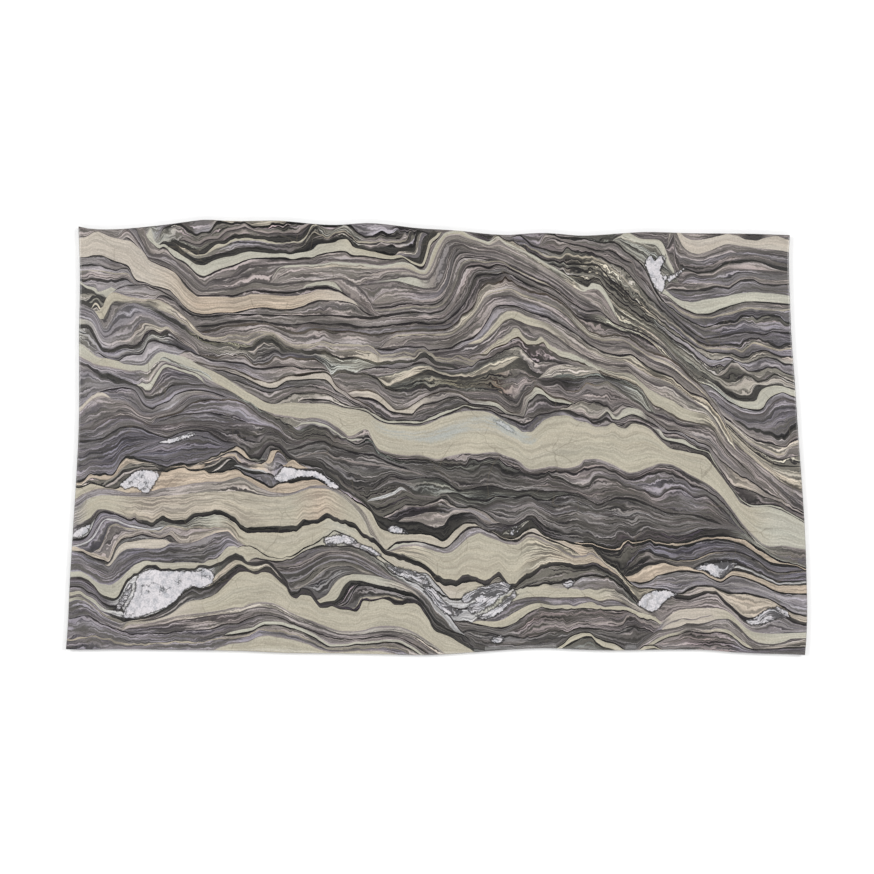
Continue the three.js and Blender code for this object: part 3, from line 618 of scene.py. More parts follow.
    band("black", crinkle=[(-80, 0.7)],
         points=[(-79, 36.6), (-77, 37), (-75, 37.6), (-73, 39), (-70.6, 40.4), (-68, 40.2), (-66, 39),
             (-64, 37.2), (-62, 36.2)]),
    band("greycream", crinkle=[(-80, 0.6)],
         points=[(-78, 35.4), (-75.4, 35.8), (-73, 37.6), (-70.6, 39), (-68, 38.6), (-66, 37.2),
             (-64, 35.8)]),
    band("black", crinkle=[(-80, 0.8)],
         points=[(-80, 35.6), (-77, 34.6), (-75, 34.8), (-73, 36.6), (-70.6, 38.2), (-68, 37.6),
             (-66, 36.2), (-63, 35.2)]),
    band("tan", crinkle=[(-80, 0.4)],
         points=[(-80, 34.8), (-77.6, 33.2), (-75, 32.8), (-73, 34.4), (-71, 36.4), (-69, 36),
             (-67, 34.6), (-65, 34.6)]),
    band("darkolive", crinkle=[(-80, 0.5)],
         points=[(-79, 33.6), (-77, 32.2), (-75, 31.8), (-73, 32.8), (-71, 34.6), (-69, 34.2),
             (-67, 33.2)]),
    band("lilac", crinkle=[(-148, 0.1), (-80, 0.5), (-30, 0.3)],
         along=[(-148, "lilac"), (-112, "lilac"), (-100, "mauve"), (-80, "tangle"), (-74, "deep"),
             (-64, "deep"), (-58, "bluegrey"), (-46, "greygreen"), (-34, "palegreen"),
             (-28, "greygreen"), (-20, "bluegrey"), (-4, "mauve")],
         points=[(-149, 55), (-148, 55), (-145, 54.8), (-142.6, 53.6), (-141, 52.6), (-139.6, 50.6),
             (-138, 47.6), (-136.8, 45.2), (-135.4, 46), (-134.2, 48.4), (-132.6, 50.6), (-131, 52.6),
             (-129, 54), (-127, 54.6), (-124, 55), (-119, 53.4), (-115, 51), (-112, 49.4), (-108, 46.8),
             (-104, 44.2), (-100, 41.4), (-96, 39.2), (-92, 37.7), (-88, 37), (-84, 37), (-80, 36.2),
             (-75.4, 35), (-73, 36.4), (-70, 38), (-67, 37.4), (-64, 35.8), (-60, 35.2), (-56, 34.8),
             (-52, 34), (-49, 34.6), (-46, 34.3), (-42, 32.6), (-38, 31.8), (-33, 32.2), (-28, 30.9),
             (-24, 29.4), (-20, 29.7), (-14, 30.7), (-9, 30.7), (-6, 32.4), (-4, 32.6), (-2, 31),
             (0, 29.9), (3, 29.3), (7, 29)]),
    band("mauve", edge=("brown", 0.6), crinkle=[(-104, 0.3), (-80, 0.7), (-60, 0.4)],
         points=[(-106, 38.6), (-100, 35.6), (-96, 33.8), (-90, 33.4), (-84, 33.6), (-80, 34.4),
             (-78, 32.8), (-76, 31.2), (-74, 30.3), (-71, 30.4), (-68, 32), (-66, 33.4), (-64, 32.8),
             (-60, 33.4), (-54, 32.4), (-50, 32.6), (-46, 30.8)]),
    band("palecream",
         along=[(-148, "palecream"), (-138, "lilac"), (-126, "pinkgrey"), (-112, "tan"), (-104, "mauve")],
         points=[(-149, 48.6), (-145, 48.6), (-142, 47.4), (-140.4, 45), (-139, 41.6), (-137, 39.2),
             (-134, 38.8), (-131, 40), (-128, 40.2), (-125.6, 41.2), (-124.4, 43.8), (-123, 45.8),
             (-120.6, 47.2), (-117, 46.4), (-113, 45.2), (-111, 45.8), (-108, 44), (-104, 41.6),
             (-99, 38.4)]),
    band("black", along=[(-148, "black"), (-128, "dark"), (-108, "dark"), (-100, "mauve")],
         points=[(-149, 46.4), (-144.4, 46.6), (-142, 45.2), (-140.6, 42.4), (-139, 39.2), (-137, 36.6),
             (-134, 36.4), (-131.4, 37.6), (-128, 38.5), (-125, 38.1), (-122.6, 39.1), (-121, 41.2),
             (-119.6, 43.6), (-117, 44.4), (-114, 43.2), (-111, 44.6), (-109, 43.2), (-105, 40.4),
             (-99, 37)]),
    band("bluegrey",
         along=[(-148, "greygreen"), (-136, "bluegrey"), (-115, "greygreen"), (-100, "bluegrey")],
         points=[(-149, 45), (-144, 44.8), (-142, 42.9), (-140.4, 40), (-138.6, 36.9), (-136.6, 35),
             (-133.6, 34.9), (-131, 36), (-128, 36.7), (-125, 36.4), (-122, 37.4), (-120.4, 39.4),
             (-118.8, 41.8), (-117, 42.6), (-113, 41.6), (-110, 42.8), (-106, 39.8), (-99, 35.6)]),
    band("lilac", edge=("dark", 0.6),
         points=[(-139.6, 36.2), (-137, 33.6), (-135, 32.4), (-133, 31), (-131, 31.8), (-128, 33.8),
             (-125, 34.4), (-121.6, 34.8), (-120, 36.8), (-118.6, 39.6), (-116.6, 40.4), (-112, 39),
             (-108, 38.2), (-102, 35.4)]),
    band("bluegrey", edge=("dark", 0.6),
         along=[(-104, "pinkgrey"), (-90, "lilac"), (-80, "bluegrey"), (-60, "pinkgrey")],
         points=[(-104, 36.8), (-100, 35.2), (-96, 33.4), (-92, 32), (-86, 31.4), (-80, 31),
             (-76, 29.4), (-72, 28.6), (-66, 29.4), (-60, 29.6), (-54, 28.6), (-48, 28.6), (-44, 27.6)]),
    band("mauve", edge=("dark", 0.5), crinkle=[(-20, 0.2), (20, 0.6)],
         along=[(-24, "mauve"), (12, "bluegrey"), (22, "deep"), (34, "tangle"), (44, "mauve")],
         points=[(-32, 27.6), (-28, 28.4), (-24, 29), (-18, 28.6), (-12, 29.4), (-6, 31), (-2, 30),
             (2, 28.6), (8, 28.4), (14, 29.2), (18, 31.4), (22, 32.6), (26, 35.2), (30, 37), (33, 37.9),
             (36, 36.2), (39, 32.6), (41, 31.2), (45, 31.6), (50, 31), (54, 30.2)]),
    band("tan", edge=("greygreen", 0.6), crinkle=[(-20, 0.2), (20, 0.6)],
         points=[(-26, 24.6), (-23, 25), (-20, 25.6), (-15, 27.4), (-11, 28.6), (-6, 29.8), (-3, 30),
             (0, 28.4), (3, 27.2), (8, 26.8), (12, 26.8), (17, 28), (20, 30), (24, 31.6), (28, 33.4),
             (32, 34.4), (36, 32), (38.4, 29.4)]),
    band("black", crinkle=[(-20, 0.3), (20, 0.8)],
         along=[(-16, "darkolive"), (-4, "black"), (6, "black"), (16, "dark"), (26, "darkolive"),
             (38, "black"), (72, "black"), (84, "darkgreen")],
         points=[(-18, 22.2), (-14, 23.6), (-10, 25.2), (-6, 27), (-3, 28.6), (0, 27.2), (3, 25.8),
             (8, 25.2), (14, 24.8), (17, 25.2), (20, 26.4), (23, 27.8), (27, 28.4), (31, 30.6),
             (34, 32.6), (37, 31.6), (39, 28.6), (42, 27), (46, 25.6), (50, 25.9), (55, 26.4),
             (58, 25.5), (62, 26), (66, 26.8), (70, 25.3), (75, 23.8), (79, 22.8), (83, 20.4), (86, 17),
             (88.5, 13)]),
    band("greycream",
         points=[(44, 27), (46.5, 28.6), (49, 29.4), (53, 30), (57, 29.6), (61, 29.4), (64, 29.2),
             (67, 27.6)]),
    band("darkgreen", points=[(49, 25.8), (55, 26.2), (58, 25.4), (62, 25.8), (66, 26.6), (69, 25.4)]),
    band("olive", crinkle=[(-20, 0.5), (20, 0.8), (60, 0.5)],
         along=[(-14, "darkgreen"), (6, "darkolive"), (16, "darkolive"), (26, "brown"), (34, "mauve"),
             (44, "dark"), (54, "dark"), (64, "deep"), (76, "deep"), (84, "palegreen")],
         points=[(-19, 21.4), (-14, 22.4), (-10, 23.8), (-6, 25.2), (-3, 26.2), (0, 25.2), (3, 24.2),
             (8, 23.7), (14, 23.5), (17, 23.9), (20, 25), (23, 26.2), (27, 26.4), (31, 27.4),
             (34, 27.6), (36.4, 27.8), (38.6, 26.4), (42, 25), (46, 24.2), (50, 24.4), (55, 24.6),
             (62, 24.4), (66, 25), (70, 23.8), (75, 22.2), (80, 20.8), (84, 17.6), (87, 13.4)]),
    band("black", crinkle=[(-30, 0.4), (20, 0.6), (60, 0.6)],
         along=[(-44, "darkolive"), (-34, "black"), (-28, "darkolive"), (-14, "black"), (4, "dark"),
             (14, "darkgreen"), (24, "dark"), (40, "mauve"), (50, "dark"), (60, "brown"), (70, "brown"),
             (78, "darkgreen"), (88, "dark"), (106, "dark"), (114, "mauve")],
         points=[(-42.4, 26.4), (-41, 27.4), (-38.6, 27.5), (-36, 27.4), (-32, 26.8), (-28, 26.2),
             (-25, 25.2), (-23, 23.2), (-20, 21), (-16, 20.1), (-12, 19.8), (-9, 20.6), (-6, 22.3),
             (-4, 21.6), (-2, 20.4), (0, 21.4), (3, 22), (6, 21.2), (10, 20.4), (14, 20.2), (20, 20.4),
             (24, 19.6), (27, 18.4), (30, 16), (33, 15), (36, 19), (39, 21), (41.6, 23.4), (45, 21.4),
             (50, 22.4), (54, 19.7), (58, 19.7), (60, 20.7), (62, 22.6), (66, 21.7), (70, 22.9),
             (74, 20.6), (79, 17.4), (84, 14), (88, 10.6), (91, 9.2), (94, 8.6), (97, 7.6), (100, 5.6),
             (103, 4.9), (107, 4.8), (111, 4.2), (114, 2.6), (117, -2), (121, -7.4), (126, -12),
             (131, -17)]),
    band("mauve", crinkle=[(-30, 0.3), (20, 0.4), (60, 0.5)],
         along=[(-44, "mauve"), (30, "darkmauve"), (50, "mauve"), (84, "pinkgrey"), (115, "mauve")],
         points=[(-43, 25), (-41.6, 26), (-40, 26.3), (-38, 26), (-34, 26), (-28, 25.1), (-25, 23.9),
             (-23, 21.9), (-20, 19.6), (-16, 18.8), (-12, 18.5), (-9, 19), (-6, 20.6), (-4, 20),
             (-2, 18.8), (0, 19.8), (3, 20.6), (6, 20), (10, 19.2), (14, 18.8), (20, 19.2), (24, 18.6),
             (27, 17.4), (30, 15), (33, 14), (36, 18), (39, 20.4), (41.6, 22.8), (45, 20.8), (50, 21.6),
             (54, 19), (58, 19), (60, 20), (62, 21.8), (66, 21), (70, 21.9), (74, 19.6), (79, 16.2),
             (84, 12.8), (88, 9.8), (91, 8.2), (94, 7.4), (97, 6.4), (100, 4.5), (103, 3.9), (107, 3.8),
             (111, 3), (114, 1.4), (117, -3), (121, -8.6), (126, -13.2), (131, -18)]),
    band("warmcream", edge=("brown", 0.6),
         along=[(-38, "pinkgrey"), (-28, "warmcream"), (-8, "warmcream"), (0, "pinkgrey"),
             (14, "mauve"), (24, "palecream"), (36, "pinkgrey"), (42, "palecream"), (52, "palecream")],
         points=[(-37, 18.7), (-33, 19.8), (-28, 20), (-25, 18.8), (-22, 16.6), (-19, 13.8),
             (-16, 11.8), (-12, 12.4), (-9, 14.2), (-5, 16.7), (0, 18.7), (4, 19.3), (9, 19),
             (13, 16.8), (16, 16), (20, 15.5), (24, 15.2), (27, 13.2), (29.5, 11.2), (32, 10.4),
             (34.5, 10.4), (35.7, 13), (36.2, 16.8), (38, 18.2), (39.5, 19.6), (41, 21.7), (43, 21),
             (45.5, 18.6), (49, 16.8), (53, 16.2), (56, 14.7), (60, 12.8)]),
    band("darkmauve", edge=("dark", 0.7),
         along=[(-36, "mauve"), (-28, "darkmauve"), (14, "deep"), (22, "mauve"), (40, "darkmauve"),
             (52, "darkmauve")],
         points=[(-36, 16.8), (-32, 17), (-28, 16.6), (-25, 15.8), (-22, 13.8), (-19, 11.3),
             (-15, 10.3), (-10, 9.9), (-8, 11.9), (-5, 13.9), (0, 14.9), (5, 16.5), (9, 17), (12, 15.8),
             (15, 14), (19, 13.6), (24, 13.1), (27, 11.2), (30, 9), (33, 8.2), (36, 8.9), (37.2, 12),
             (38, 15), (39.5, 16), (42, 18), (44.5, 17.3), (47, 15.5), (50, 14.5), (54, 14), (58, 12.6),
             (61, 11)]),
    band("greycream", edge=("dark", 0.5), crinkle=[(60, 0.7), (84, 0.4)],
         along=[(60, "greycream"), (76, "pinkgrey"), (90, "mauve"), (104, "lilac"), (118, "pinkgrey"),
             (126, "pinkcream"), (138, "pinkgrey")],
         points=[(52, 12.2), (56, 13.4), (60, 15.2), (64, 14.6), (67, 14.6), (69, 13.6), (71, 12.4),
             (73, 10.4), (75, 12.4), (77, 13.6), (80, 12.6), (84, 11), (88, 8.8), (92, 5.4), (95, 3.4),
             (99, 3), (102, 1.8), (105, 0.2), (109, -1.8), (113, -4), (116, -7.6), (120, -11.6),
             (124, -14.8), (129, -17.4), (134, -20.6), (138, -23.6), (143, -26), (148, -29), (154, -32)]),
    band("palecream",
         along=[(55, "mauve"), (66, "pinkgrey"), (73, "palecream"), (84, "palecream"), (88, "mauve")],
         points=[(55, 11), (60, 11.6), (62, 10.3), (64, 9), (66, 8.8), (68, 10), (70, 11.6), (72, 10.4),
             (74, 8.2), (75.4, 9), (77, 11.2), (79, 12.2), (83, 11.6), (87, 9.4)]),
    band("darkmauve", edge=("dark", 0.5), crinkle=[(60, 0.4), (84, 0.2)],
         along=[(60, "bluegrey"), (80, "darkmauve"), (92, "mauve"), (104, "mauve"), (122, "darkmauve"),
             (134, "darkmauve"), (140, "darkmauve")],
         points=[(60, 10.2), (64, 7.6), (67, 7.6), (69, 9), (70.6, 10.2), (73, 7.4), (75, 7.2),
             (77, 8.6), (80, 9.4), (83, 9), (87, 7), (91, 4.6), (94, 1.8), (98, 2), (101.6, 0.8),
             (104.6, -1.2), (108, -3.4), (112, -4.8), (114.4, -9), (117, -12.4), (120, -17),
             (123, -20.2), (127, -21.2), (131, -22.2), (136, -24.6), (141, -26.4), (146, -29.2),
             (154, -33)]),
    band("warmcream", edge=("brown", 0.6),
         along=[(-96, "mauve"), (-88, "pinkgrey"), (-72, "warmcream"), (-64, "warmcream"),
             (-44, "warmcream"), (-36, "mauve")],
         points=[(-100, 31.6), (-92, 29.7), (-85, 28.7), (-80, 27.2), (-76, 25.2), (-72, 23.7),
             (-69, 22.8), (-66, 23.4), (-63, 25.1), (-58, 26), (-53, 26.7), (-49, 27.2), (-45.5, 27.3),
             (-43.6, 26), (-42, 22.8), (-40, 20.6), (-37, 18.8), (-34, 16.6), (-30, 14.6), (-26, 12.4)]),
    band("darkmauve", edge=("dark", 0.5),
         along=[(-84, "bluegrey"), (-64, "bluegrey"), (-56, "deep"), (-44, "darkmauve"), (-38, "mauve")],
         points=[(-92, 28.4), (-85, 27), (-80, 25.4), (-76, 23.4), (-71, 21.2), (-68, 20.5),
             (-66, 20.6), (-64, 22), (-61, 23.5), (-55, 24), (-50, 24.2), (-46, 24), (-43.6, 22.4),
             (-41.5, 19.8), (-38, 17.6), (-35, 15.6), (-31, 13.6), (-27, 11.6)]),
    band("mauve", edge=("dark", 0.4),
         points=[(-84, 24.4), (-78, 22), (-73, 20), (-68, 18.8), (-64, 20), (-60, 21), (-54, 21.2),
             (-49, 20.6), (-45, 19.6), (-41, 17.8), (-37, 16.4), (-34, 14.2), (-30, 12.6)]),
    # ---------- the dark folded bands in the middle
    band("palecream", edge=("dark", 0.4),
         along=[(-60, "greycream"), (-46, "greycream"), (-20, "palecream"), (14, "palecream"),
             (20, "mauve"), (88, "mauve"), (96, "palecream"), (130, "palecream"), (154, "palecream")],
         points=[(-66, 14.2), (-62, 16.4), (-58, 18.6), (-50, 18.6), (-45, 18), (-42, 16.6),
             (-38, 14.1), (-34, 13), (-30, 12.6), (-26, 10.4), (-22, 8.4), (-18, 7.2), (-13, 7.5),
             (-10, 7.2), (-6, 7.1), (-2, 8.8), (3, 10.8), (8, 12.4), (12, 13.9), (16, 13), (22, 12.4),
             (26, 10.4), (92, 3.4), (94.6, 0.4), (99, -0.2), (102.4, -0.6), (105, -2.4), (109, -4.4),
             (112.6, -5.6), (114.6, -9.4), (117, -13.2), (119.6, -17.6), (122.4, -21), (125.6, -25),
             (130, -27.4), (136, -27.4), (141, -28), (146, -31), (154, -35)]),
    band("bluegrey", edge=("dark", 0.6),
         along=[(-60, "mauve"), (-22, "mauve"), (12, "bluegrey"), (30, "bluegrey"), (50, "bluegrey"),
             (76, "darkmauve"), (96, "darkmauve"), (112, "dark"), (124, "mauve")],
         points=[(-56, 16.2), (-50, 16), (-45, 15.6), (-38, 12.9), (-30, 11.4), (-22, 6.9), (-18, 6),
             (-13, 6.2), (-8, 5.8), (-3, 7), (3, 9.4), (8, 11.4), (12, 13), (16, 12), (22, 11.6),
             (27, 9), (32, 7.4), (36, 6), (39, 7), (42, 9.6), (46, 10.2), (50, 11), (54, 11.4),
             (58, 9.8), (62, 8.6), (65, 6.4), (68, 7), (70, 8.2), (73, 6.2), (76, 5.4), (80, 7),
             (84, 6.6), (88, 4.8), (91, 2), (94, -0.8), (98, -1.6), (102, -2.6), (107, -4.8),
             (112, -6.2), (114.4, -10), (117, -13.8), (120, -18.2), (123, -22.4), (126.4, -26.4),
             (131, -28.6), (137, -28.4), (142, -29.6), (147, -32.2), (154, -36)]),
    # ---------- the long cream band across the slab
    band("cream",
         along=[(-148, "palecream"), (-136, "cream"), (-122, "palecream"), (-108, "palecream"),
             (-90, "cream"), (130, "cream"), (140, "palecream")],
         points=[(-149, 39), (-145, 37.5), (-142, 35), (-139, 32.9), (-135, 32.3), (-131, 31.4),
             (-128, 30.1), (-124, 29.7), (-121, 29.6), (-119, 30.4), (-117, 32.6), (-115, 34.6),
             (-113, 35.2), (-110, 34.5), (-106, 33.6), (-104, 33.2), (-98, 30), (-92, 27.4), (-86, 24),
             (-80, 20), (-74, 16.6), (-69, 14), (-66, 13.6), (-60, 14.4), (-53, 14), (-48, 14),
             (-43, 13.6), (-38, 12.2), (-33, 11.6), (-28, 10), (-24, 7), (-19, 5.4), (-14, 5),
             (-8, 4.6), (-4, 5.4), (1, 7.6), (6, 9.4), (10, 10.6), (14, 11), (19, 10.8), (23, 9.8),
             (26, 8.2), (30, 5.6), (33, 4.2), (36, 2.4), (39, 2.4), (42, 4.8), (45, 7.4), (50, 8.8),
             (54, 9), (58, 7), (62, 6.2), (66, 4.4), (70, 4.4), (73, 5.8), (75, 4.4), (78, 3.8),
             (81, 5.6), (85, 5), (88, 3.4), (91, 0.4), (94, -2.6), (97, -4.8), (101, -5.6), (106, -6.6),
             (110, -7.4), (113, -10), (116, -14), (119, -18), (122, -22), (125.6, -27), (130, -28.8),
             (136, -28.6), (141, -29.8), (146, -32), (154, -36.6)]),
    band("palegreen", points=[(-113, 33.6), (-109, 32), (-104, 29.9), (-98, 28), (-93, 25.8)]),
    band("palecream", points=[(-113, 32.6), (-109, 30.8), (-104, 28.4), (-98, 27), (-93, 24.9)]),
    # ---------- the grey block under the long cream band
    band("mauve", edge=("mauve", 0.5),
         along=[(-148, "lilac"), (-124, "lilac"), (-117, "greycream"), (-108, "lilac"), (-80, "mauve"),
             (-60, "tangle"), (-46, "bluegrey"), (-36, "mauve"), (-20, "banded"), (0, "nightbands"),
             (30, "darkmauve"), (60, "darkmauve"), (84, "darkmauve"), (110, "darkmauve"),
             (126, "darkmauve"), (134, "greygreen"), (150, "mauve")],
         points=[(-149, 34.4), (-144, 32), (-140, 30.1), (-135, 29.2), (-130, 28.3), (-126, 27.4),
             (-122, 27.8), (-119.6, 27), (-118, 27.6), (-117, 29), (-115.6, 30.6), (-113, 31.6),
             (-110, 31), (-107, 30.2), (-104, 27.6), (-98, 26.2), (-92, 23), (-86, 19.8), (-80, 16.2),
             (-75, 12.8), (-70, 10.8), (-66, 9.6), (-60, 8.8), (-55, 7.8), (-50, 8.2), (-46, 7.2),
             (-42, 5.1), (-38, 2.2), (-36, 0.5), (-34, 1), (-31, 2.8), (-29.4, 3.4), (-28, 3.2),
             (-27, 1), (-25.4, -2.4), (-23.6, -4.6), (-20, -6), (-16, -7), (-11, -7.6), (-7, -7.2),
             (-3, -8.2), (1, -8.8), (4, -8), (8, -7.2), (13, -6.4), (16, -6.8), (20, -6.4), (24, -6),
             (28, -7.4), (32, -8.6), (35, -10.4), (37, -12.4), (39, -13.2), (43, -12.6), (48, -11.8),
             (53, -12.6), (57, -12), (59.4, -11), (61, -9.2), (65, -8.8), (69, -9.6), (73, -11.2),
             (77, -13.4), (80, -14.4), (83, -14), (86, -13), (89, -12), (92, -10.8), (96, -11),
             (99, -12), (103, -14.4), (107, -16.4), (111, -18.6), (114, -20.6), (117, -23.4),
             (120, -27), (123, -31), (126, -35), (129, -38.4), (132, -41.4), (135, -44), (138, -45),
             (143, -44.6), (148, -45.4), (154, -46.4)]),
    band("palecream", edge=("darkmauve", 0.5),
         points=[(-122.6, 22.4), (-121, 23), (-119.6, 22.2), (-118.2, 22.6), (-116.6, 24.6),
             (-114.6, 27.8), (-113, 29.8), (-111.4, 30.6), (-109, 30), (-104, 28.4), (-97, 26.2)]),
    band("mauve", edge=("darkmauve", 0.5), along=[(-120, "mauve"), (-105, "bluegrey")],
         points=[(-122.6, 21.4), (-121, 20.8), (-119.6, 19.4), (-118, 19.5), (-116, 22.4), (-114, 26),
             (-112.4, 28.3), (-110.6, 29), (-108, 28.4), (-104, 27), (-97, 25)]),
    band("lilac", edge=("palecream", 0.6), along=[(-62, "lilac"), (-30, "mauve")],
         points=[(-58, 5), (-54, 6.2), (-50, 6.4), (-46, 5.4), (-42, 3), (-38, 0.2), (-35, -0.8),
             (-31, 0.4)]),
    band("mauve", edge=("dark", 0.8),
         crinkle=[(-60, 0.3), (0, 0.3), (15, 0.8), (30, 0.4), (60, 0.6), (100, 0.4)],
         along=[(-20, "mauve"), (0, "slate"), (30, "slate"), (60, "mauve"), (90, "bluegrey"),
             (110, "bluegrey"), (126, "greygreen")],
         points=[(-20, -7.6), (-12, -9.2), (-6, -9), (-2, -9.6), (2, -10.8), (6, -11.4), (12, -11.2),
             (14, -9), (18, -9.6), (23, -8.4), (26, -9.2), (29, -11.6), (33, -12.4), (38, -15),
             (43, -14.4), (48, -13.8), (53, -14), (58, -14.6), (60.6, -13), (63, -12.6), (68, -12.4),
             (72, -13.2), (76, -15.2), (80, -17), (84, -16.4), (88, -14.8), (93, -14), (97, -14.4),
             (101, -16.2), (106, -19.4), (110, -21), (115, -23.6), (119, -27.6), (123, -32.4),
             (127, -37.4), (131, -41.4)]),
    band("black", crinkle=[(-148, 0.5), (-80, 0.3), (-60, 0.8), (0, 0.5), (14, 1), (40, 0.5)],
         along=[(-148, "dark"), (-137, "black"), (-112, "black"), (-86, "dark"), (-78, "darkgreen"),
             (-60, "darkgreen"), (-50, "black"), (-40, "dark"), (-26, "darkgreen"), (-10, "black"),
             (60, "black"), (84, "dark"), (120, "dark"), (128, "bluegrey"), (154, "bluegrey")],
         points=[(-149, 31.5), (-144, 30), (-141, 28.6), (-138, 26.8), (-135, 26.2), (-132, 24.8),
             (-129, 23.7), (-126, 22.8), (-123, 21.6), (-121, 19.6), (-119.8, 17.4), (-118, 16.9),
             (-115, 17.5), (-112, 18.9), (-110, 21), (-108, 22.5), (-105, 22.6), (-100, 22),
             (-96, 21.9), (-92, 20.7), (-88, 19.9), (-84, 18.3), (-80, 16), (-77, 14.9), (-74, 12.4),
             (-70, 10.2), (-66, 8.3), (-62, 6.5), (-58, 3.8), (-56, 3), (-53, 4.2), (-50, 4.9),
             (-46, 3.8), (-42, 1.3), (-38, -0.4), (-35, -1.8), (-32, -2.6), (-30, -1.6), (-28, -0.5),
             (-26, -1.6), (-25, -4.2), (-22, -6.6), (-18, -8.6), (-14, -10), (-10, -10.2), (-6, -10.4),
             (-2, -10), (2, -11.2), (5, -12.6), (8, -12.6), (12, -12.8), (15, -13.8), (17, -13.4),
             (18.4, -11.4), (21, -11), (24, -10.8), (26, -11.6), (28, -13.4), (31, -13.8), (35, -14.2),
             (38, -15.4), (41, -16.2), (44, -15.8), (46, -14.6), (48, -15.6), (52, -16.8), (56, -18.8),
             (60, -20), (63, -20), (64.4, -17.4), (66, -16.2), (70, -16.6), (74, -17.4), (78, -19.4),
             (82, -20.6), (86, -21.4), (89, -23.6), (92, -24.4), (95, -22), (98, -20.4), (101, -20.6),
             (104, -22), (107, -24.2), (111, -23.6), (115, -26.2), (119, -30), (123, -34.4), (127, -39),
             (131, -43.4), (135, -46.6), (140, -48.4), (147, -49), (154, -50)]),
    band("bluegrey", crinkle=[(-148, 0.3), (-60, 0.8), (0, 0.3), (14, 0.6), (40, 0.4)],
         along=[(-148, "lilac"), (-112, "bluegrey"), (-90, "bluegrey"), (-66, "deep"),
             (-54, "nightbands"), (-40, "nightbands"), (-20, "deep"), (8, "deep"), (20, "deep"),
             (30, "deep"), (60, "darkmauve"), (90, "darkmauve"), (104, "bluegrey"), (114, "darkmauve"),
             (122, "deep")],
         points=[(-149, 30.6), (-144, 29), (-141, 27.2), (-138, 24.6), (-135, 23.8), (-132, 22.4),
             (-129, 22), (-126, 21.8), (-123, 20.7), (-121, 18.5), (-119.8, 16.2), (-118, 15.8),
             (-115, 16.6), (-112, 18), (-110, 20), (-108, 21.6), (-105, 21.8), (-100, 21.2),
             (-96, 21.2), (-92, 20.2), (-88, 19.3), (-84, 17.6), (-80, 15.2), (-77, 14), (-74, 11.2),
             (-70, 9), (-66, 7), (-62, 5.2), (-58, 2.4), (-56, 1.6), (-53, 2.8), (-50, 3.6), (-46, 2.6),
             (-42, 0.2), (-38, -1.4), (-35, -2.8), (-32, -3.4), (-30, -2.6), (-28, -1.6), (-26, -2.6),
             (-25, -5.4), (-22, -7.8), (-18, -9.8), (-14, -11), (-10, -11), (-6, -11.2), (-2, -10.8),
             (2, -12), (5, -13.4), (8, -13.4), (12, -13.6), (15, -14.8), (17, -14.4), (18.4, -12.4),
             (21, -12), (24, -12), (26, -13.6), (28, -15.2), (31, -16), (35, -15.8), (38, -16.4),
             (41, -17.2), (44, -16.8), (46, -15.6), (48, -16.8), (52, -17.8), (56, -19.8), (60, -21),
             (63, -21), (65, -18.4), (67, -17.2), (70, -17.4), (74, -18.4), (78, -20.4), (82, -21.4),
             (86, -22.4), (89, -24.8), (92, -25), (95, -22.8), (98, -21.4), (101, -21.6), (104, -23.2),
             (107, -25.2), (111, -24.6), (115, -27.2), (119, -31), (123, -35.4), (127, -40),
             (131, -44.4), (135, -47.6)]),
    band("bluegrey", edge=("dark", 0.6),
         along=[(-130, "bluegrey"), (-108, "lilac"), (-98, "pinkgrey"), (-92, "bluegrey")],
         points=[(-140, 18.2), (-135, 20), (-130, 20.8), (-126, 20.4), (-124, 19.4), (-122.4, 17),
             (-121, 14.6), (-119, 12.9), (-116.8, 12.2), (-114.6, 13.4), (-112, 14.6), (-110, 15.2),
             (-108.6, 16.6), (-107, 18), (-104, 19.2), (-100, 19.8), (-95, 19.4), (-90, 18.2),
             (-86, 16.8)]),
    band("warmcream", crinkle=[(-148, 0.4)],
         points=[(-149.4, 11.2), (-146, 13), (-144, 15.6), (-141, 17.5), (-138, 18.2), (-135, 17.2)]),
    band("bluegrey", edge=("mauve", 0.6),
         along=[(-149, "bluegrey"), (-130, "mauve"), (-110, "mauve"), (-100, "bluegrey")],
         points=[(-149.4, 10), (-146, 11.4), (-144, 13.8), (-141, 16), (-138, 16.8), (-133, 15.8),
             (-128, 15), (-124, 12), (-120, 9.4), (-116, 9.8), (-112, 10.6), (-108, 12.6), (-105, 15),
             (-102, 17), (-99, 18), (-94, 17.8), (-88, 16.4)]),
    band("bluegrey", edge=("brown", 0.6), crinkle=[(-116, 0.3)],
         points=[(-116, 7.8), (-111, 9), (-107, 10.2), (-104.6, 11.2), (-103, 12.8), (-100, 14.6),
             (-96, 15.6), (-90, 15.8), (-84, 15.8), (-79, 14.4), (-75, 10.8), (-72, 8.6), (-68, 6.6),
             (-64, 4.4)]),
    band("bluegrey", edge=("dark", 0.5),
         points=[(-115, 7), (-112, 7.4), (-109, 8.6), (-106, 9.4), (-101, 10), (-94, 10.4), (-88, 9.6),
             (-83, 8.2), (-78, 6.6)]),
    band("bluegrey", edge=("darkmauve", 0.7),
         along=[(-140, "bluegrey"), (-95, "darkmauve"), (-60, "deep"), (-45, "deep")],
         points=[(-149.4, 3), (-142, 4.4), (-134, 8), (-128, 9.4), (-122, 7.4), (-116, 5.2),
             (-110, 5.6), (-104, 6.6), (-99, 7.1), (-94, 7), (-88, 6.4), (-82, 6), (-76, 5.6),
             (-70, 4.8), (-65, 3), (-61, -0.4), (-57, -1.8), (-52, -0.8), (-47, -0.8), (-43, -2.6)]),
    band("deep", edge=("dark", 0.6),
         along=[(-149, "bluegrey"), (-130, "deepblue"), (-88, "deepblue"), (-60, "bluegrey"),
             (-45, "deep")],
         points=[(-149.4, -1.4), (-143, -1), (-138, -0.4), (-136, 0.6), (-133, 2.9), (-130, 4.4),
             (-126, 5), (-122, 4.3), (-118, 2.6), (-114, 1), (-111, 0.2), (-107, 1.8), (-103, 2.9),
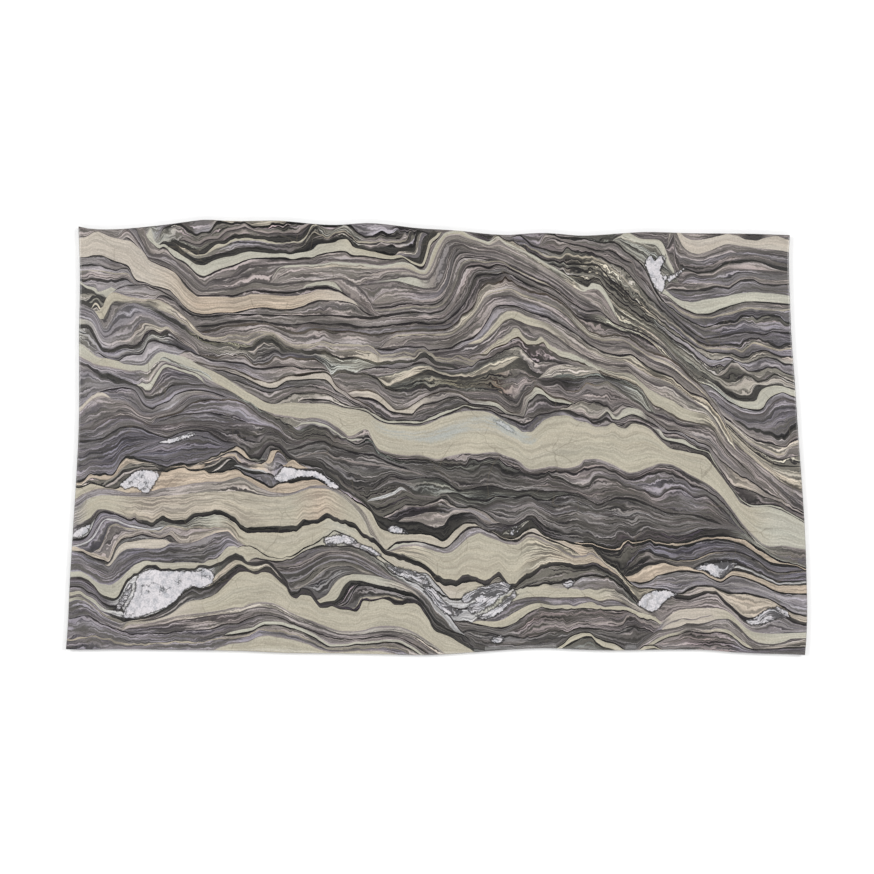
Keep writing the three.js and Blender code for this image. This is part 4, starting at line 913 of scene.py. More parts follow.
             (-99, 3.3), (-94, 2.7), (-91, 0.8), (-87, -1.2), (-82, -2)]),
    band("white",
         points=[(-112.6, -1.7), (-110, -0.6), (-106, 0.6), (-102, 1.7), (-100.4, 2), (-99.2, 1.3)]),
    band("deepblue",
         points=[(-130, -9), (-124, -6.4), (-118, -3.8), (-113, -1.9), (-110, -1.5), (-106, -0.3),
             (-102, 0.6), (-99, 1), (-95, 0.4), (-90, -1.8), (-84, -4.4), (-79, -6.8)]),
    band("deep", edge=("dark", 0.7), along=[(-46, "deep"), (-20, "deep"), (-14, "deep")],
         points=[(-62, -5.6), (-57, -4), (-52, -2.4), (-47, -1.4), (-43, -3), (-39, -4.4), (-35, -5.6),
             (-31, -6.4), (-26, -6.8), (-21, -9.4), (-16, -11.4), (-11, -12.8)]),
    band("deep", edge=("pinkgrey", 0.5),
         points=[(-60, -9), (-53, -7), (-46, -6), (-42, -8), (-37, -9), (-32, -10.2), (-26, -11),
             (-20, -11.6), (-14, -13), (-10, -13.9), (-5, -15)]),
    band("deep", edge=("dark", 0.5),
         along=[(-16, "deep"), (-6, "slate"), (10, "slate"), (40, "slate")],
         points=[(-26, -21), (-22, -18.2), (-18, -15.8), (-12, -17), (-6, -16.4), (0, -16.3),
             (3, -17.4), (6, -19.4), (10, -21.4), (15, -20.8), (22, -19.8), (28, -21), (34, -22),
             (40, -21.6), (46, -22), (52, -22.2), (58, -23), (62, -25)]),
    band("slate", edge=("dark", 0.6), along=[(10, "slate"), (52, "deep")],
         points=[(2, -23.6), (5, -23), (8, -22.6), (14, -24.8), (20, -25.6), (26, -24), (32, -24.6),
             (38, -23.4), (42, -25.2), (46, -25.6), (50, -24), (55, -23.4), (60, -24.6), (64, -26.2),
             (67, -27.4), (71, -26), (75, -24.4), (80, -24.6), (85, -26.2), (90, -28.4), (95, -30.6),
             (100, -31.2), (106, -31.6), (112, -33.4), (118, -35.8)]),
    band("deep", edge=("darkmauve", 0.5),
         points=[(10, -28.4), (14, -27.8), (17, -28.4), (20, -29), (26, -27), (32, -28), (38, -25.6),
             (44, -28), (50, -30.4), (56, -29), (63, -30.8), (72, -31.6), (80, -33), (84, -31.4),
             (90, -33.4), (97, -35), (104, -34), (112, -35), (118, -36.2), (125, -37)]),
    band("black", crinkle=[(-50, 0.5), (-20, 0.4)],
         along=[(-52, "deep"), (-46, "black"), (-38, "nightbands"), (-30, "nightbands"),
             (-20, "nightbands"), (-8, "nightbands"), (2, "nightbands"), (12, "deep")],
         points=[(-58, -8.4), (-50, -9.6), (-47, -10.8), (-45, -12.6), (-43, -14.6), (-41, -15.8),
             (-39, -18), (-36, -20), (-32, -21.6), (-28, -22), (-24, -21.6), (-20, -20.6), (-16, -20.1),
             (-13, -20.4), (-11, -22), (-9, -23.4), (-5, -23.6), (-2, -23.6), (0, -24.2), (4, -23.8),
             (7, -25.4), (12, -27)]),
    band("white",
         points=[(-27.6, -25.3), (-24, -24.5), (-21, -23.6), (-17, -22), (-14.4, -20.4), (-13, -20.6)]),
    band("nightbands",
         points=[(-30, -26.6), (-27, -26), (-24, -25.6), (-21, -24.9), (-17, -23.3), (-14, -21.6),
             (-11, -22.4), (-8, -24), (-4, -25), (0, -25.4)]),
    band("pinkgrey", edge=("black", 0.6), crinkle=[(-20, 0.5)],
         points=[(-23, -33), (-20.5, -31.9), (-18, -30.6), (-15, -28.8), (-12, -27.6), (-8, -27.8),
             (-5, -27.6), (-1, -25.9), (2, -24.9), (4, -25.2), (6, -27), (9, -28.2), (13, -28.2),
             (17, -29.2), (21, -31.4), (25, -34.2)]),
    band("banded", along=[(-18, "banded"), (-9, "dark"), (0, "nightbands"), (8, "lilac")],
         points=[(-22, -33.8), (-19.5, -32.6), (-17, -31.2), (-13, -29.6), (-10, -28.8), (-6, -28.8),
             (-2, -27.8), (1, -26.6), (3, -26.2), (5, -28), (9, -29.2), (14, -29.6), (17, -30.6),
             (20, -32.2), (23, -34.6)]),
    band("pinkgrey",
         points=[(-14, -32.6), (-11, -32.8), (-8, -32.2), (-4, -31), (0, -30.8), (3, -31.4), (5, -31.6),
             (6, -30.6), (9, -29.8), (13, -30.4), (17, -32), (19, -33.4), (23, -35)]),
    # ---------- the dark band above the beige, and the beige bands
    band("black", crinkle=[(-150, 0.6), (-60, 0.5), (0, 0.4), (40, 0.5), (80, 0.4)],
         along=[(-134, "dark"), (-118, "dark"), (-80, "dark"), (-40, "black"), (10, "black"),
             (19, "deep"), (30, "dark"), (44, "dark"), (60, "deep"), (74, "dark"), (120, "dark"),
             (134, "greygreen"), (150, "greygreen")],
         points=[(-79, -5.6), (-77, -7.4), (-74, -6.6), (-72, -4.6), (-70, -2.7), (-68, -1.9),
             (-65, -2.4), (-62, -5.4), (-60, -7.6), (-57, -9), (-50, -10.2), (-47, -11.8), (-45, -14),
             (-43, -16), (-41, -17.4), (-39, -19.4), (-36, -22), (-33, -24.4), (-30, -25.8),
             (-27, -28.6), (-25.6, -31), (-22, -32.8), (-18, -34), (-14, -34.4), (-8, -34.8),
             (-4, -36.2), (0, -37), (3, -36.4), (5, -33.6), (8, -31.6), (11, -30.8), (14, -31.2),
             (17, -32.8), (19, -34.6), (22, -35.8), (26, -35.4), (29, -36.2), (32, -35.6), (35, -34),
             (38, -32.4), (40, -32.2), (43, -35), (46, -37), (50, -37.8), (54, -39.2), (58, -38.4),
             (60, -39), (62, -39.5), (66, -41.5), (70, -42.5), (73.6, -42), (75, -39.6), (77, -39.3),
             (79, -40.5), (81, -41.2), (84, -40), (88, -38.7), (92, -39.3), (97, -40.4), (102, -40),
             (107, -38.6), (112, -37.5), (117, -37.7), (122, -38.2), (127, -39.8), (130, -42),
             (134, -44.8), (138, -47.6), (142, -49.4), (147, -50.8), (154, -54)]),
    band("greygreen", points=[(29, -37.4), (31, -36.8), (33.4, -36.4), (36, -35), (38, -34)]),
    band("black",
         points=[(28, -39), (30, -40), (32.6, -39.6), (35, -37.4), (37.6, -35), (39.4, -34.2),
             (41, -36), (44, -38.6)]),
    band("peach", edge=("black", 0.8), crinkle=[(-150, 0.7), (-60, 0.5)],
         along=[(-150, "peach"), (-130, "peach"), (-122, "pinkcream"), (-116, "dark"), (-104, "dark"),
             (-98, "pinkcream"), (-90, "pinkcream"), (-78, "peach"), (-76, "greygreen"),
             (-73, "darkgreen"), (-70, "deep"), (-67, "mauve"), (-63, "banded"), (-60, "greygreen"),
             (-50, "lilac")],
         points=[(-151, -18.4), (-147, -18), (-145, -17), (-143, -15), (-140, -15.2), (-137, -14.6),
             (-134, -15.4), (-132, -13.4), (-130.6, -11), (-129, -9), (-127, -7.4), (-124.6, -7.8),
             (-121, -8.8), (-118, -9.8), (-114, -11.4), (-110.6, -11.8), (-108, -11), (-104, -10.4),
             (-100, -10.4), (-96, -9.8), (-92, -7.8), (-88, -6), (-85, -4.4), (-82, -3.6),
             (-79.6, -4.4), (-78, -6.4), (-76, -8.2), (-73, -8), (-71.4, -6), (-69.6, -4), (-67.6, -3),
             (-65, -3.8), (-63, -6), (-60.4, -8.6), (-57, -10), (-51, -11.4), (-47.6, -12.4),
             (-45, -15), (-42, -17.8), (-40, -19.6)]),
    band("pinkgrey", edge=("dark", 0.6),
         points=[(-98, -10.6), (-94, -9.4), (-91, -8.4), (-88, -7), (-85.4, -5.8), (-82.6, -5.4),
             (-80.6, -6.4), (-78.6, -8.2), (-76, -9.4), (-73.6, -9.6)]),
    band("peach",
         points=[(-97, -11), (-94, -10), (-91, -9.2), (-88, -7.8), (-85.4, -6.8), (-83, -6.8),
             (-81.4, -8)]),
    band("peach", edge=("dark", 0.6),
         points=[(-73.6, -10.6), (-71.6, -10.2), (-70, -9.4), (-69, -7), (-68, -4.9), (-66.4, -4.5),
             (-65, -4.9), (-64, -6.4)]),
    band("bluegrey", edge=("brown", 0.6),
         points=[(-70, -11.4), (-68.6, -11), (-67.2, -9.6), (-66.4, -7), (-65.4, -5.4), (-64.4, -5.6),
             (-62.6, -7.4), (-61.4, -9.8), (-60.4, -11.6)]),
    band("peach", edge=("dark", 0.7),
         points=[(-61.4, -9.6), (-60.4, -8.9), (-59, -8.8), (-57.6, -9.6), (-56.4, -10.6), (-54, -11.6)]),
    band("black", crinkle=[(-150, 1), (-60, 0.6)],
         along=[(-150, "tan"), (-143, "banded"), (-120, "banded"), (-112, "black"), (-107, "peach"),
             (-99, "peach"), (-95, "black"), (-86, "nightbands"), (-78, "darkmauve"), (-72, "peach"),
             (-69, "pinkgrey"), (-66, "bluegrey"), (-62, "dark"), (-46, "black"), (-41, "black"),
             (-36, "banded")],
         points=[(-151, -20), (-147, -19.4), (-144, -18), (-142, -17), (-138, -17.4), (-134, -18.2),
             (-131.6, -15.4), (-129, -12.6), (-126, -10.6), (-122.6, -10.4), (-119, -11), (-116, -11.6),
             (-112, -12.9), (-108, -12), (-104, -11.5), (-101, -12), (-98, -11.4), (-95, -10.8),
             (-92, -10), (-89, -8.8), (-86, -7.8), (-83.6, -8), (-81, -9.6), (-78, -11), (-75, -11.2),
             (-72, -11.2), (-70.6, -10.4), (-69, -11), (-67, -10.6), (-64, -11), (-62, -12.4),
             (-58, -12.6), (-54, -13), (-50, -12.6), (-47, -13.4), (-44.6, -16.2), (-42, -18.4),
             (-40, -20), (-36, -23.4), (-32, -25.8), (-29, -28)]),
    band("greycream", crinkle=[(-130, 0.5)],
         points=[(-136.5, -17.9), (-133.5, -17.2), (-131.5, -15.2), (-129.5, -12.9), (-127, -11.9),
             (-124, -11.2), (-121, -11), (-118, -11.4), (-115.5, -12)]),
    band("black", crinkle=[(-130, 0.5)],
         points=[(-136, -18.4), (-133.5, -17.9), (-131.3, -15.9), (-129.3, -13.6), (-127, -12.5),
             (-124, -11.8), (-121, -11.5), (-118, -11.8), (-115, -12.3)]),
    band("pinkgrey", crinkle=[(-130, 0.6)],
         points=[(-135.5, -19.2), (-133, -18.6), (-130.8, -16.9), (-128.8, -14.8), (-126.4, -13.5),
             (-124, -12.7), (-121, -12.3), (-118, -12.5), (-115, -12.7)]),
    band("nightbands", crinkle=[(-130, 0.6)],
         points=[(-135, -19.7), (-132.6, -19.2), (-130.4, -17.6), (-128.4, -15.6), (-126.2, -14.2),
             (-124, -13.3), (-121, -12.8), (-118, -12.9), (-115, -13)]),
    band("greycream", crinkle=[(-100, 0.3)],
         points=[(-95, -11.8), (-93, -11.4), (-91, -10.8), (-89.4, -9.7), (-88, -8.6), (-86.8, -8)]),
    band("black", crinkle=[(-100, 0.4)],
         points=[(-95.6, -12.6), (-93, -12.1), (-91, -11.4), (-89, -10.2), (-87.4, -9), (-86, -8.4),
             (-84.4, -8.6), (-82.6, -9.6)]),
    band("greycream", crinkle=[(-100, 0.3)],
         points=[(-91.4, -13.2), (-90, -12.5), (-88.4, -11.1), (-87, -9.7), (-86, -9.1), (-85, -8.9)]),
    band("black", crinkle=[(-100, 0.4)],
         points=[(-91, -13.6), (-89.4, -13), (-87.8, -11.8), (-86.4, -10.2), (-85, -9.4), (-83.4, -9.6),
             (-82, -10.4)]),
    band("white", crinkle=[(-100, 0.3)],
         points=[(-82.4, -11), (-80.6, -11.4), (-79, -12.2), (-76.4, -12.9), (-73.6, -13.2),
             (-71, -13.8), (-69.6, -14.4)]),
    band("black", crinkle=[(-100, 0.3)],
         points=[(-83, -11.6), (-81, -12), (-79, -12.9), (-76.4, -13.6), (-73.6, -13.9), (-71, -14.4)]),
    band("palegreen",
         points=[(-66, -15.6), (-64, -13.2), (-61, -12.6), (-57, -13.4), (-52, -13.8), (-48, -14.6),
             (-45.6, -16.8), (-43, -18.6), (-40.4, -19.8)]),
    band("dark", edge=("black", 0.7),
         along=[(-90, "dark"), (-76, "bluegrey"), (-68, "bluegrey"), (-64, "black"), (-54, "black")],
         points=[(-84, -11.8), (-81, -12.4), (-78, -13.6), (-75, -14.4), (-72, -15), (-69, -14.6),
             (-67, -15.4), (-65, -17.4), (-61, -17), (-56, -16.2), (-51, -15.8), (-47.6, -17),
             (-44.6, -18.8)]),
    band("peach", edge=("black", 0.9), crinkle=[(60, 0.3)],
         points=[(58, -42.8), (61, -43), (64, -43.2), (67, -44.3), (70, -45.2), (73, -45.4), (76, -45),
             (77, -43), (79, -41.9), (83, -41.9), (86, -42), (88, -41.7), (91, -42.6), (96, -43.1),
             (101, -42.9), (106, -41.5), (110, -40.5), (115, -39.9), (120, -40.3), (126, -41.7),
             (130, -43.4), (134, -46), (138, -48.8), (142, -50.6), (147, -51.8), (154, -54.8)]),
    band("nightbands", edge=("black", 0.9), crinkle=[(66, 0.4), (80, 1), (92, 0.4), (120, 0.2)],
         along=[(60, "nightbands"), (84, "nightbands"), (92, "deepblue"), (150, "deepblue")],
         points=[(60, -43.8), (64, -44.2), (67, -45.5), (70, -46.1), (73, -46.4), (76, -46.1),
             (77.6, -43.7), (79, -42.7), (83, -42.8), (86, -42.9), (88, -42.6), (91, -43.9),
             (96, -44.5), (101, -44.3), (106, -43.1), (110, -42.2), (115, -41.6), (120, -42.1),
             (126, -43.9), (130, -46), (134, -48.8), (138, -51.4), (142, -52.2), (147, -52.6),
             (154, -56)]),
    band("tan", edge=("dark", 0.5), crinkle=[(80, 0.8), (92, 0.3)],
         along=[(86, "nightbands"), (93, "mauve"), (97, "tan"), (104, "peach"), (113, "peach"),
             (119, "pinkgrey"), (126, "mauve"), (132, "nightbands"), (138, "pinkgrey"),
             (150, "pinkgrey")],
         points=[(84, -47.4), (88, -47.2), (92, -48.6), (96, -49.4), (100, -50.2), (105, -50.2),
             (109, -49), (113, -47.3), (117, -46.8), (122, -47), (127, -47.8), (132, -50.4),
             (137, -54.2), (142, -55.2), (150, -55)]),
    band("nightbands", crinkle=[(80, 0.8), (92, 0.3)],
         along=[(80, "nightbands"), (100, "darkmauve"), (112, "deep"), (126, "deepblue")],
         points=[(79, -53), (82, -50), (84, -48.2), (88, -48), (92, -49.4), (96, -50.3), (100, -51),
             (105, -51), (109, -49.9), (113, -48.3), (117, -47.7), (122, -47.9), (127, -48.9),
             (132, -51.6), (137, -55.4), (142, -56.2), (150, -56)]),
    band("black", crinkle=[(70, 0.6), (110, 0.3)],
         points=[(79, -55), (82, -54.4), (84, -52.8), (87, -51.6), (90, -51), (94, -50.7), (98, -52),
             (102, -53.2), (106, -54), (108, -52.4), (112, -51.2), (117, -50.5), (123, -50.9),
             (127, -52.4), (131, -54.4), (135, -56.4), (139, -58), (144, -59), (154, -59.2)]),
    band("white", crinkle=[(110, 0.3)],
         points=[(119.6, -55.4), (122, -53.8), (124, -53), (128, -54), (133, -56.4), (138, -58.6),
             (142, -59.8), (147, -59.9), (153, -59.5)]),
    band("black", crinkle=[(110, 0.3)],
         points=[(119.6, -56), (122, -54.5), (124, -53.8), (128, -54.8), (133, -57.2), (138, -59.4),
             (142, -60.4), (147, -60.6), (153, -60.2)]),
    band("peach", crinkle=[(70, 0.6), (110, 0.3)],
         points=[(79, -56.8), (82, -56.6), (84, -54.8), (86, -53.3), (88, -52.5), (91, -52.1),
             (94, -51.6), (97, -52.4), (100, -53), (104, -53.5), (107, -54.6), (110, -55), (113, -57),
             (117.4, -58.4), (120, -56.4), (122, -55.4), (125, -55.3), (130, -56.9), (135, -58.8),
             (140, -60.7), (145, -61.2), (154, -61.2)]),
    band("lilac", edge=("black", 0.6),
         points=[(80, -59), (82.4, -59.4), (84, -59.6), (87, -59.2), (89, -58.4), (91, -56.8),
             (94, -56), (97, -55.3), (100, -54.6), (104, -54.7), (107, -55.2), (110, -55.8),
             (113, -57.8), (117.4, -59.2), (120, -57.7), (122, -56.8), (125, -57), (130, -58.5),
             (135, -60.5), (140, -63), (145, -64), (154, -64.4)]),
    band("warmcream", edge=("black", 0.7),
         crinkle=[(-150, 0.6), (-110, 0.5), (-60, 0.3), (0, 0.1), (60, 0.2)],
         along=[(-150, "cream"), (-120, "peach"), (-84, "peach"), (-60, "peach"), (-44, "peach"),
             (-36, "cream"), (40, "warmcream"), (60, "peach"), (72, "olive"), (84, "tan"), (92, "tan"),
             (104, "pinkgrey"), (118, "pinkcream"), (130, "pinkcream")],
         points=[(-151, -20.6), (-146, -19.9), (-142, -18.8), (-139, -19.2), (-136, -20.2),
             (-133, -20.6), (-130.6, -20.2), (-129, -18), (-127, -16.4), (-125, -15), (-122, -13.8),
             (-119, -13.3), (-115, -13.6), (-112, -14), (-108.6, -12.8), (-105, -11.8), (-102, -12.6),
             (-99, -13.2), (-96, -13), (-93.6, -14.2), (-91, -13.8), (-88, -13.6), (-85.6, -13.2),
             (-83, -12.3), (-81, -13), (-79, -14.8), (-76, -16.2), (-73, -17.8), (-70, -19.2),
             (-67.6, -20), (-65.6, -19), (-63, -18.2), (-59, -17.7), (-54, -16.8), (-50, -16.6),
             (-47, -17.8), (-43.6, -19.6), (-40.6, -20.8), (-37, -23.4), (-34, -25.6), (-30, -27.6),
             (-27, -30), (-25.6, -32.4), (-24.2, -35), (-22.6, -37), (-19, -38.4), (-14, -39.2),
             (-10, -39.4), (-6, -39.3), (-2, -39.8), (0, -40.3), (2.6, -42.2), (4.4, -41.2), (7, -38.4),
             (10, -36), (13, -35), (16, -35.2), (18, -36.6), (20, -37.8), (24, -39), (28, -41),
             (31, -41.6), (34, -40.4), (37, -37.8), (40, -37), (43, -39), (46, -40.6), (50, -41.6),
             (54, -42.4), (58, -43.6), (60, -44), (62, -44.4), (64, -44.6), (67, -48), (70, -51),
             (74, -53.6), (77, -56.4), (80, -59.6), (83, -61.6), (87, -61.8), (91, -62.2), (95, -62.4),
             (98, -64), (100, -64.4), (104, -62.4), (108, -61), (113, -61), (117, -62.4), (121, -63.4),
             (126, -63.6), (130, -64.4), (134, -65.4), (138, -66.8), (142, -69), (146, -71.4),
             (154, -73.8)]),
    band("lilac", edge=("dark", 0.7),
         along=[(-16, "palecream"), (0, "lilac"), (30, "lilac"), (46, "tan")],
         points=[(-21, -46.8), (-18.6, -44.6), (-16, -42.8), (-10, -42.6), (-6, -42.9), (-2, -43.8),
             (1, -44.8), (3.4, -45.4), (5.4, -44.4), (8, -41.6), (11, -38.6), (14, -36.8), (17, -36.7),
             (20, -37.9), (24, -39.4), (28, -41.6), (31, -42.4), (33.6, -42), (36, -40), (39, -38.8),
             (42, -39.8), (46, -41.6), (50, -43), (54, -45), (58, -46.4)]),
    band("cream", edge=("mauve", 0.6),
         along=[(-14, "tan"), (0, "cream"), (34, "cream"), (46, "tan"), (70, "peach")],
         points=[(-20, -47), (-17, -45.6), (-14, -44.4), (-9, -44.2), (-4, -45.2), (0, -46.6),
             (4, -47.4), (8, -45.4), (11, -42.6), (14, -40.2), (18, -39.2), (22, -40.6), (26, -42.2),
             (30, -43.6), (33, -43.8), (35.6, -42.2), (38, -40.4), (41, -40.6), (45, -42.6),
             (50, -44.8), (54, -47.4), (58, -48.8), (61, -48.6), (64, -47.4), (66, -48.6), (70, -52.2),
             (75, -56)]),
    band("lilac", edge=("mauve", 0.5),
         along=[(-151, "lilac"), (-136, "lilac"), (-118, "mauve"), (-100, "pinkgrey"),
             (-75, "greycream"), (-50, "lilac"), (-36, "greycream")],
         points=[(-151, -27.4), (-148, -25), (-145, -23), (-142, -21.8), (-139, -21), (-135, -21),
             (-131, -21.8), (-127, -22.6), (-122, -22.6), (-118, -22.2), (-112, -20.8), (-106, -20),
             (-100, -18.8), (-94, -18.3), (-88, -18), (-84, -16.9), (-81, -16.2), (-77, -18.2),
             (-72, -21), (-66, -22.6), (-61, -22.8), (-56, -21.4), (-51, -19.8), (-47, -19.6),
             (-43, -20.6), (-39, -22.4), (-36, -24.6), (-33, -27.4), (-30, -30.6), (-27.4, -34.6),
             (-25, -39)]),
    band("cream",
         along=[(-151, "lilac"), (-143, "cream"), (-134, "cream"), (-118, "pinkcream"), (-60, "cream"),
             (-48, "peach"), (-36, "cream")],
         points=[(-151, -30), (-147, -28), (-144, -25.6), (-141, -24.4), (-137, -23.8), (-131, -24),
             (-124, -24.4), (-118, -24.6), (-112, -24), (-106, -23.6), (-100, -22.8), (-94, -22.4),
             (-88, -22.2), (-83, -22), (-78, -22.6), (-73, -23.8), (-67, -24.4), (-61, -24),
             (-57, -22.8), (-52, -21), (-47, -20.8), (-43, -22), (-38, -25), (-35, -27.6), (-32, -31),
             (-29, -35.6), (-27, -40)]),
    band("black", crinkle=[(-150, 0.5), (-124, 0.8), (-98, 0.3), (-60, 0.4)],
         along=[(-150, "lilac"), (-143, "dark"), (-138, "mauve"), (-126, "mauve"), (-121, "black"),
             (-100, "black"), (-52, "black"), (-30, "dark"), (0, "black"), (14, "dark"), (40, "black"),
             (66, "dark"), (84, "black"), (114, "black"), (118, "dark"), (140, "dark")],
         points=[(-151, -37), (-148.6, -36.2), (-145, -34.6), (-142.6, -33.4), (-141, -31.4),
             (-139, -30), (-136, -30), (-133, -30.8), (-130, -31.8), (-127, -32.8), (-124.6, -32.8),
             (-123, -33.8), (-121, -34.6), (-117, -34.8), (-115, -33.6), (-113, -32.2), (-111, -33.4),
             (-108, -34.2), (-103.6, -34), (-101.6, -32.6), (-99.6, -31.4), (-96, -31), (-93, -30.2),
             (-90, -29.9), (-87.6, -30.7), (-85, -32), (-83, -32.8), (-81.6, -34.6), (-80, -36.4),
             (-77, -37), (-72, -36.8), (-66, -36.6), (-61, -36.4), (-58, -36.4), (-56, -34.8),
             (-54.6, -33.6), (-52, -34.4), (-49, -34.2), (-47, -32.6), (-45, -31.4), (-42.6, -32.6),
             (-40, -33.6), (-36, -34.4), (-33.6, -35.6), (-31.6, -37.6), (-30, -39.4), (-27, -41),
             (-24.4, -42.2), (-22.6, -44.6), (-20, -46.6), (-16, -47.6), (-12, -49), (-9, -50.4),
             (-6, -51.8), (-4, -53), (-1, -55.4), (1, -56.8), (4, -58.2), (8, -58.8), (10, -57.4),
             (12, -56.4), (15, -57), (18, -58.6), (20, -59.2), (22, -58.4), (24, -56.4), (26, -55.4),
             (28, -57.6), (30.4, -60.2), (32.4, -60.4), (34, -59), (36, -57), (40, -55), (44, -52.8),
             (50, -51.2), (56, -52), (60, -52.7), (65, -51.8), (68, -52.8), (72, -55), (76, -58),
             (79, -61.4), (82, -65), (84, -66.8), (86, -65.2), (89, -63.2), (92, -62.6), (95, -62.8),
             (98, -64.4), (101, -65.2), (104, -65.4), (107, -64.6), (110, -63.8), (115, -63.2),
             (117, -65), (119, -67), (122, -69.4), (124, -71.6), (126, -73.6), (129, -74.6), (132, -74),
             (135, -71.8), (138, -70.4), (141, -71.6), (144, -73), (147, -74.4), (154, -76.4)]),
    band("white", points=[(-151, -40.6), (-148, -40), (-145, -38), (-142.6, -35.6), (-141.2, -33.8)]),
    band("bluegrey", edge=("dark", 0.7), crinkle=[(-150, 0.2), (-124, 0.8), (-98, 0.3), (-60, 0.4)],
         along=[(-150, "bluegrey"), (-122, "bluegrey"), (-112, "greygreen"), (-102, "greygreen"),
             (-90, "palecream"), (-84, "tan"), (-78, "cream"), (-48, "cream"), (-40, "palecream"),
             (-30, "cream"), (6, "warmcream"), (16, "cream"), (30, "banded"), (60, "banded"),
             (72, "darkgreen"), (86, "mauve"), (104, "mauve"), (116, "mauve"), (150, "lilac")],
         points=[(-151, -41.6), (-147, -41.4), (-144, -40.2), (-142, -37.6), (-140.8, -34.4),
             (-139, -31.6), (-136, -30.6), (-133, -31.3), (-130, -32.2), (-127, -33.2), (-124.6, -33.3),
             (-123, -34.4), (-121, -35.6), (-117, -35.9), (-115, -34.8), (-113, -33.2), (-111, -34.4),
             (-108, -35.2), (-103.6, -35), (-101.6, -33.6), (-99.6, -32.4), (-96, -32), (-93, -31.1),
             (-90, -30.8), (-87.6, -31.6), (-85, -33.2), (-83, -34.2), (-81.6, -36), (-80, -38),
             (-77, -38.7), (-72, -38.6), (-66, -38.4), (-61, -38.2), (-58, -38.2), (-56, -36.6),
             (-54.6, -35.4), (-52, -35.8), (-49, -35.6), (-47, -34.2), (-45, -33), (-42.6, -34),
             (-40, -34.8), (-36, -35.6), (-33.6, -36.8), (-31.6, -38.8), (-30, -40.6), (-27, -42.2),
             (-24.4, -43.6), (-22.6, -46), (-20, -47.8), (-16, -48.8), (-12, -50.2), (-9, -51.6),
             (-6, -53), (-4, -54.4), (-1, -57.4), (1, -59), (4, -60.6), (8, -61), (10, -59.8),
             (12, -58.8), (15, -58.8), (18, -59.8), (20, -60.6), (22, -60), (24, -58), (26, -57),
             (28, -59), (30.4, -61), (32.4, -61.4), (34, -60.2), (36, -58.2), (40, -56.2), (44, -53.8),
             (50, -52.2), (56, -53), (60, -53.6), (65, -52.8), (68, -53.8), (72, -56.2), (76, -59.2),
             (79, -62.6), (82, -66), (84, -68), (86, -66.6), (89, -64.4), (92, -63.6), (95, -63.8),
             (98, -65.4), (101, -66.2), (104, -66.6), (107, -65.6), (110, -64.6), (115, -64),
             (117, -65.8), (119, -67.8), (122, -70.2), (124, -72.4), (126, -74.6), (129, -75.8),
             (132, -75.4), (135, -73), (138, -71.4), (141, -72.6), (144, -74), (147, -75.4),
             (154, -77.2)]),
    band("bluegrey", edge=("white", 0.5),
         points=[(-151, -44.8), (-146, -43.6), (-142, -41.4), (-139.6, -38.4), (-137.6, -34.8),
             (-135, -33.4), (-132, -33.8), (-128, -35.6), (-124, -36.6), (-118, -37.6), (-112, -36.4)]),
    band("mauve", edge=("tan", 0.6), crinkle=[(-110, 0.8), (-90, 0.3)],
         points=[(-139, -44.4), (-136.4, -40.6), (-134.4, -37), (-132, -36), (-128, -37.2), (-124, -38),
             (-120, -38.4), (-115, -38.4), (-109, -36.6), (-104, -37.6), (-99, -36.6), (-95, -36.8),
             (-91, -36.8), (-87, -37.4), (-83.6, -39.4)]),
    band("pinkcream", crinkle=[(-112, 0.8), (-90, 0.3)],
         along=[(-138, "pinkcream"), (-118, "pinkgrey"), (-90, "pinkcream")],
         points=[(-148, -45.2), (-144, -47), (-140, -48.6), (-137, -49.2), (-135.2, -49.6),
             (-133.6, -46.4), (-132, -42.4), (-129.6, -40.6), (-126, -39.6), (-122, -38.6),
             (-119, -38.8), (-116, -39.6), (-112, -40.2), (-109, -38.8), (-106, -40.6), (-103.6, -41),
             (-101, -39.6), (-97, -39.2), (-93, -38.2), (-89, -38), (-85, -38.2), (-82.6, -40.4)]),
    band("deep", edge=("dark", 0.5),
         points=[(-146, -46.8), (-141, -49.4), (-137, -50.4), (-135, -51.2), (-133.4, -48.2),
             (-131.6, -44), (-129, -41.6), (-125, -40.8), (-121, -39.8), (-117, -40.8), (-113, -41.4),
             (-110, -40.2), (-107, -42)]),
    band("warmcream",
         points=[(-135.2, -52), (-133.6, -50.6), (-131.4, -46), (-128.6, -43.6), (-124, -42.8),
             (-119, -42), (-114, -42), (-110.6, -42.4), (-109.6, -43.2)]),
    band("deep",
         along=[(-151, "bluegrey"), (-135, "bluegrey"), (-124, "deepblue"), (-96, "deep"),
             (-84, "bluegrey"), (-79, "mauve")],
         points=[(-151, -46.4), (-147, -47.6), (-142, -50.4), (-138, -51.6), (-135, -53),
             (-132.6, -50.6), (-130, -47.4), (-126.6, -46), (-122, -45.6), (-117, -45.8), (-112, -45.2),
             (-109.6, -43.6), (-106, -44), (-102, -43.6), (-98, -42.4), (-94, -40.4), (-90, -39.2),
             (-86, -38.8), (-83, -41.2), (-80.6, -43.4), (-79, -44.4)]),
    band("warmcream", along=[(-151, "palecream"), (-84, "cream"), (-76, "palecream")],
         points=[(-151, -55.4), (-147, -55.2), (-144, -56.4), (-141, -58.8), (-138, -60.4),
             (-134.6, -60.8), (-132, -59.6), (-130, -58), (-126.6, -54.6), (-123, -51.8), (-119, -50.8),
             (-116, -51.4), (-108, -51.6), (-100, -51.6), (-96, -51.8), (-93.6, -50.4), (-91, -50),
             (-89, -48.6), (-87, -46), (-85, -44.8), (-83.6, -44.6), (-81.6, -45.6), (-79, -48.4),
             (-77.6, -50.2)]),
    band("cream", edge=("dark", 0.5), crinkle=[(-80, 0.4), (-30, 0.3)],
         along=[(-80, "cream"), (-74, "cream"), (-60, "cream"), (-42, "palecream"), (-34, "lilac"),
             (-24, "cream"), (-12, "white"), (4, "white")],
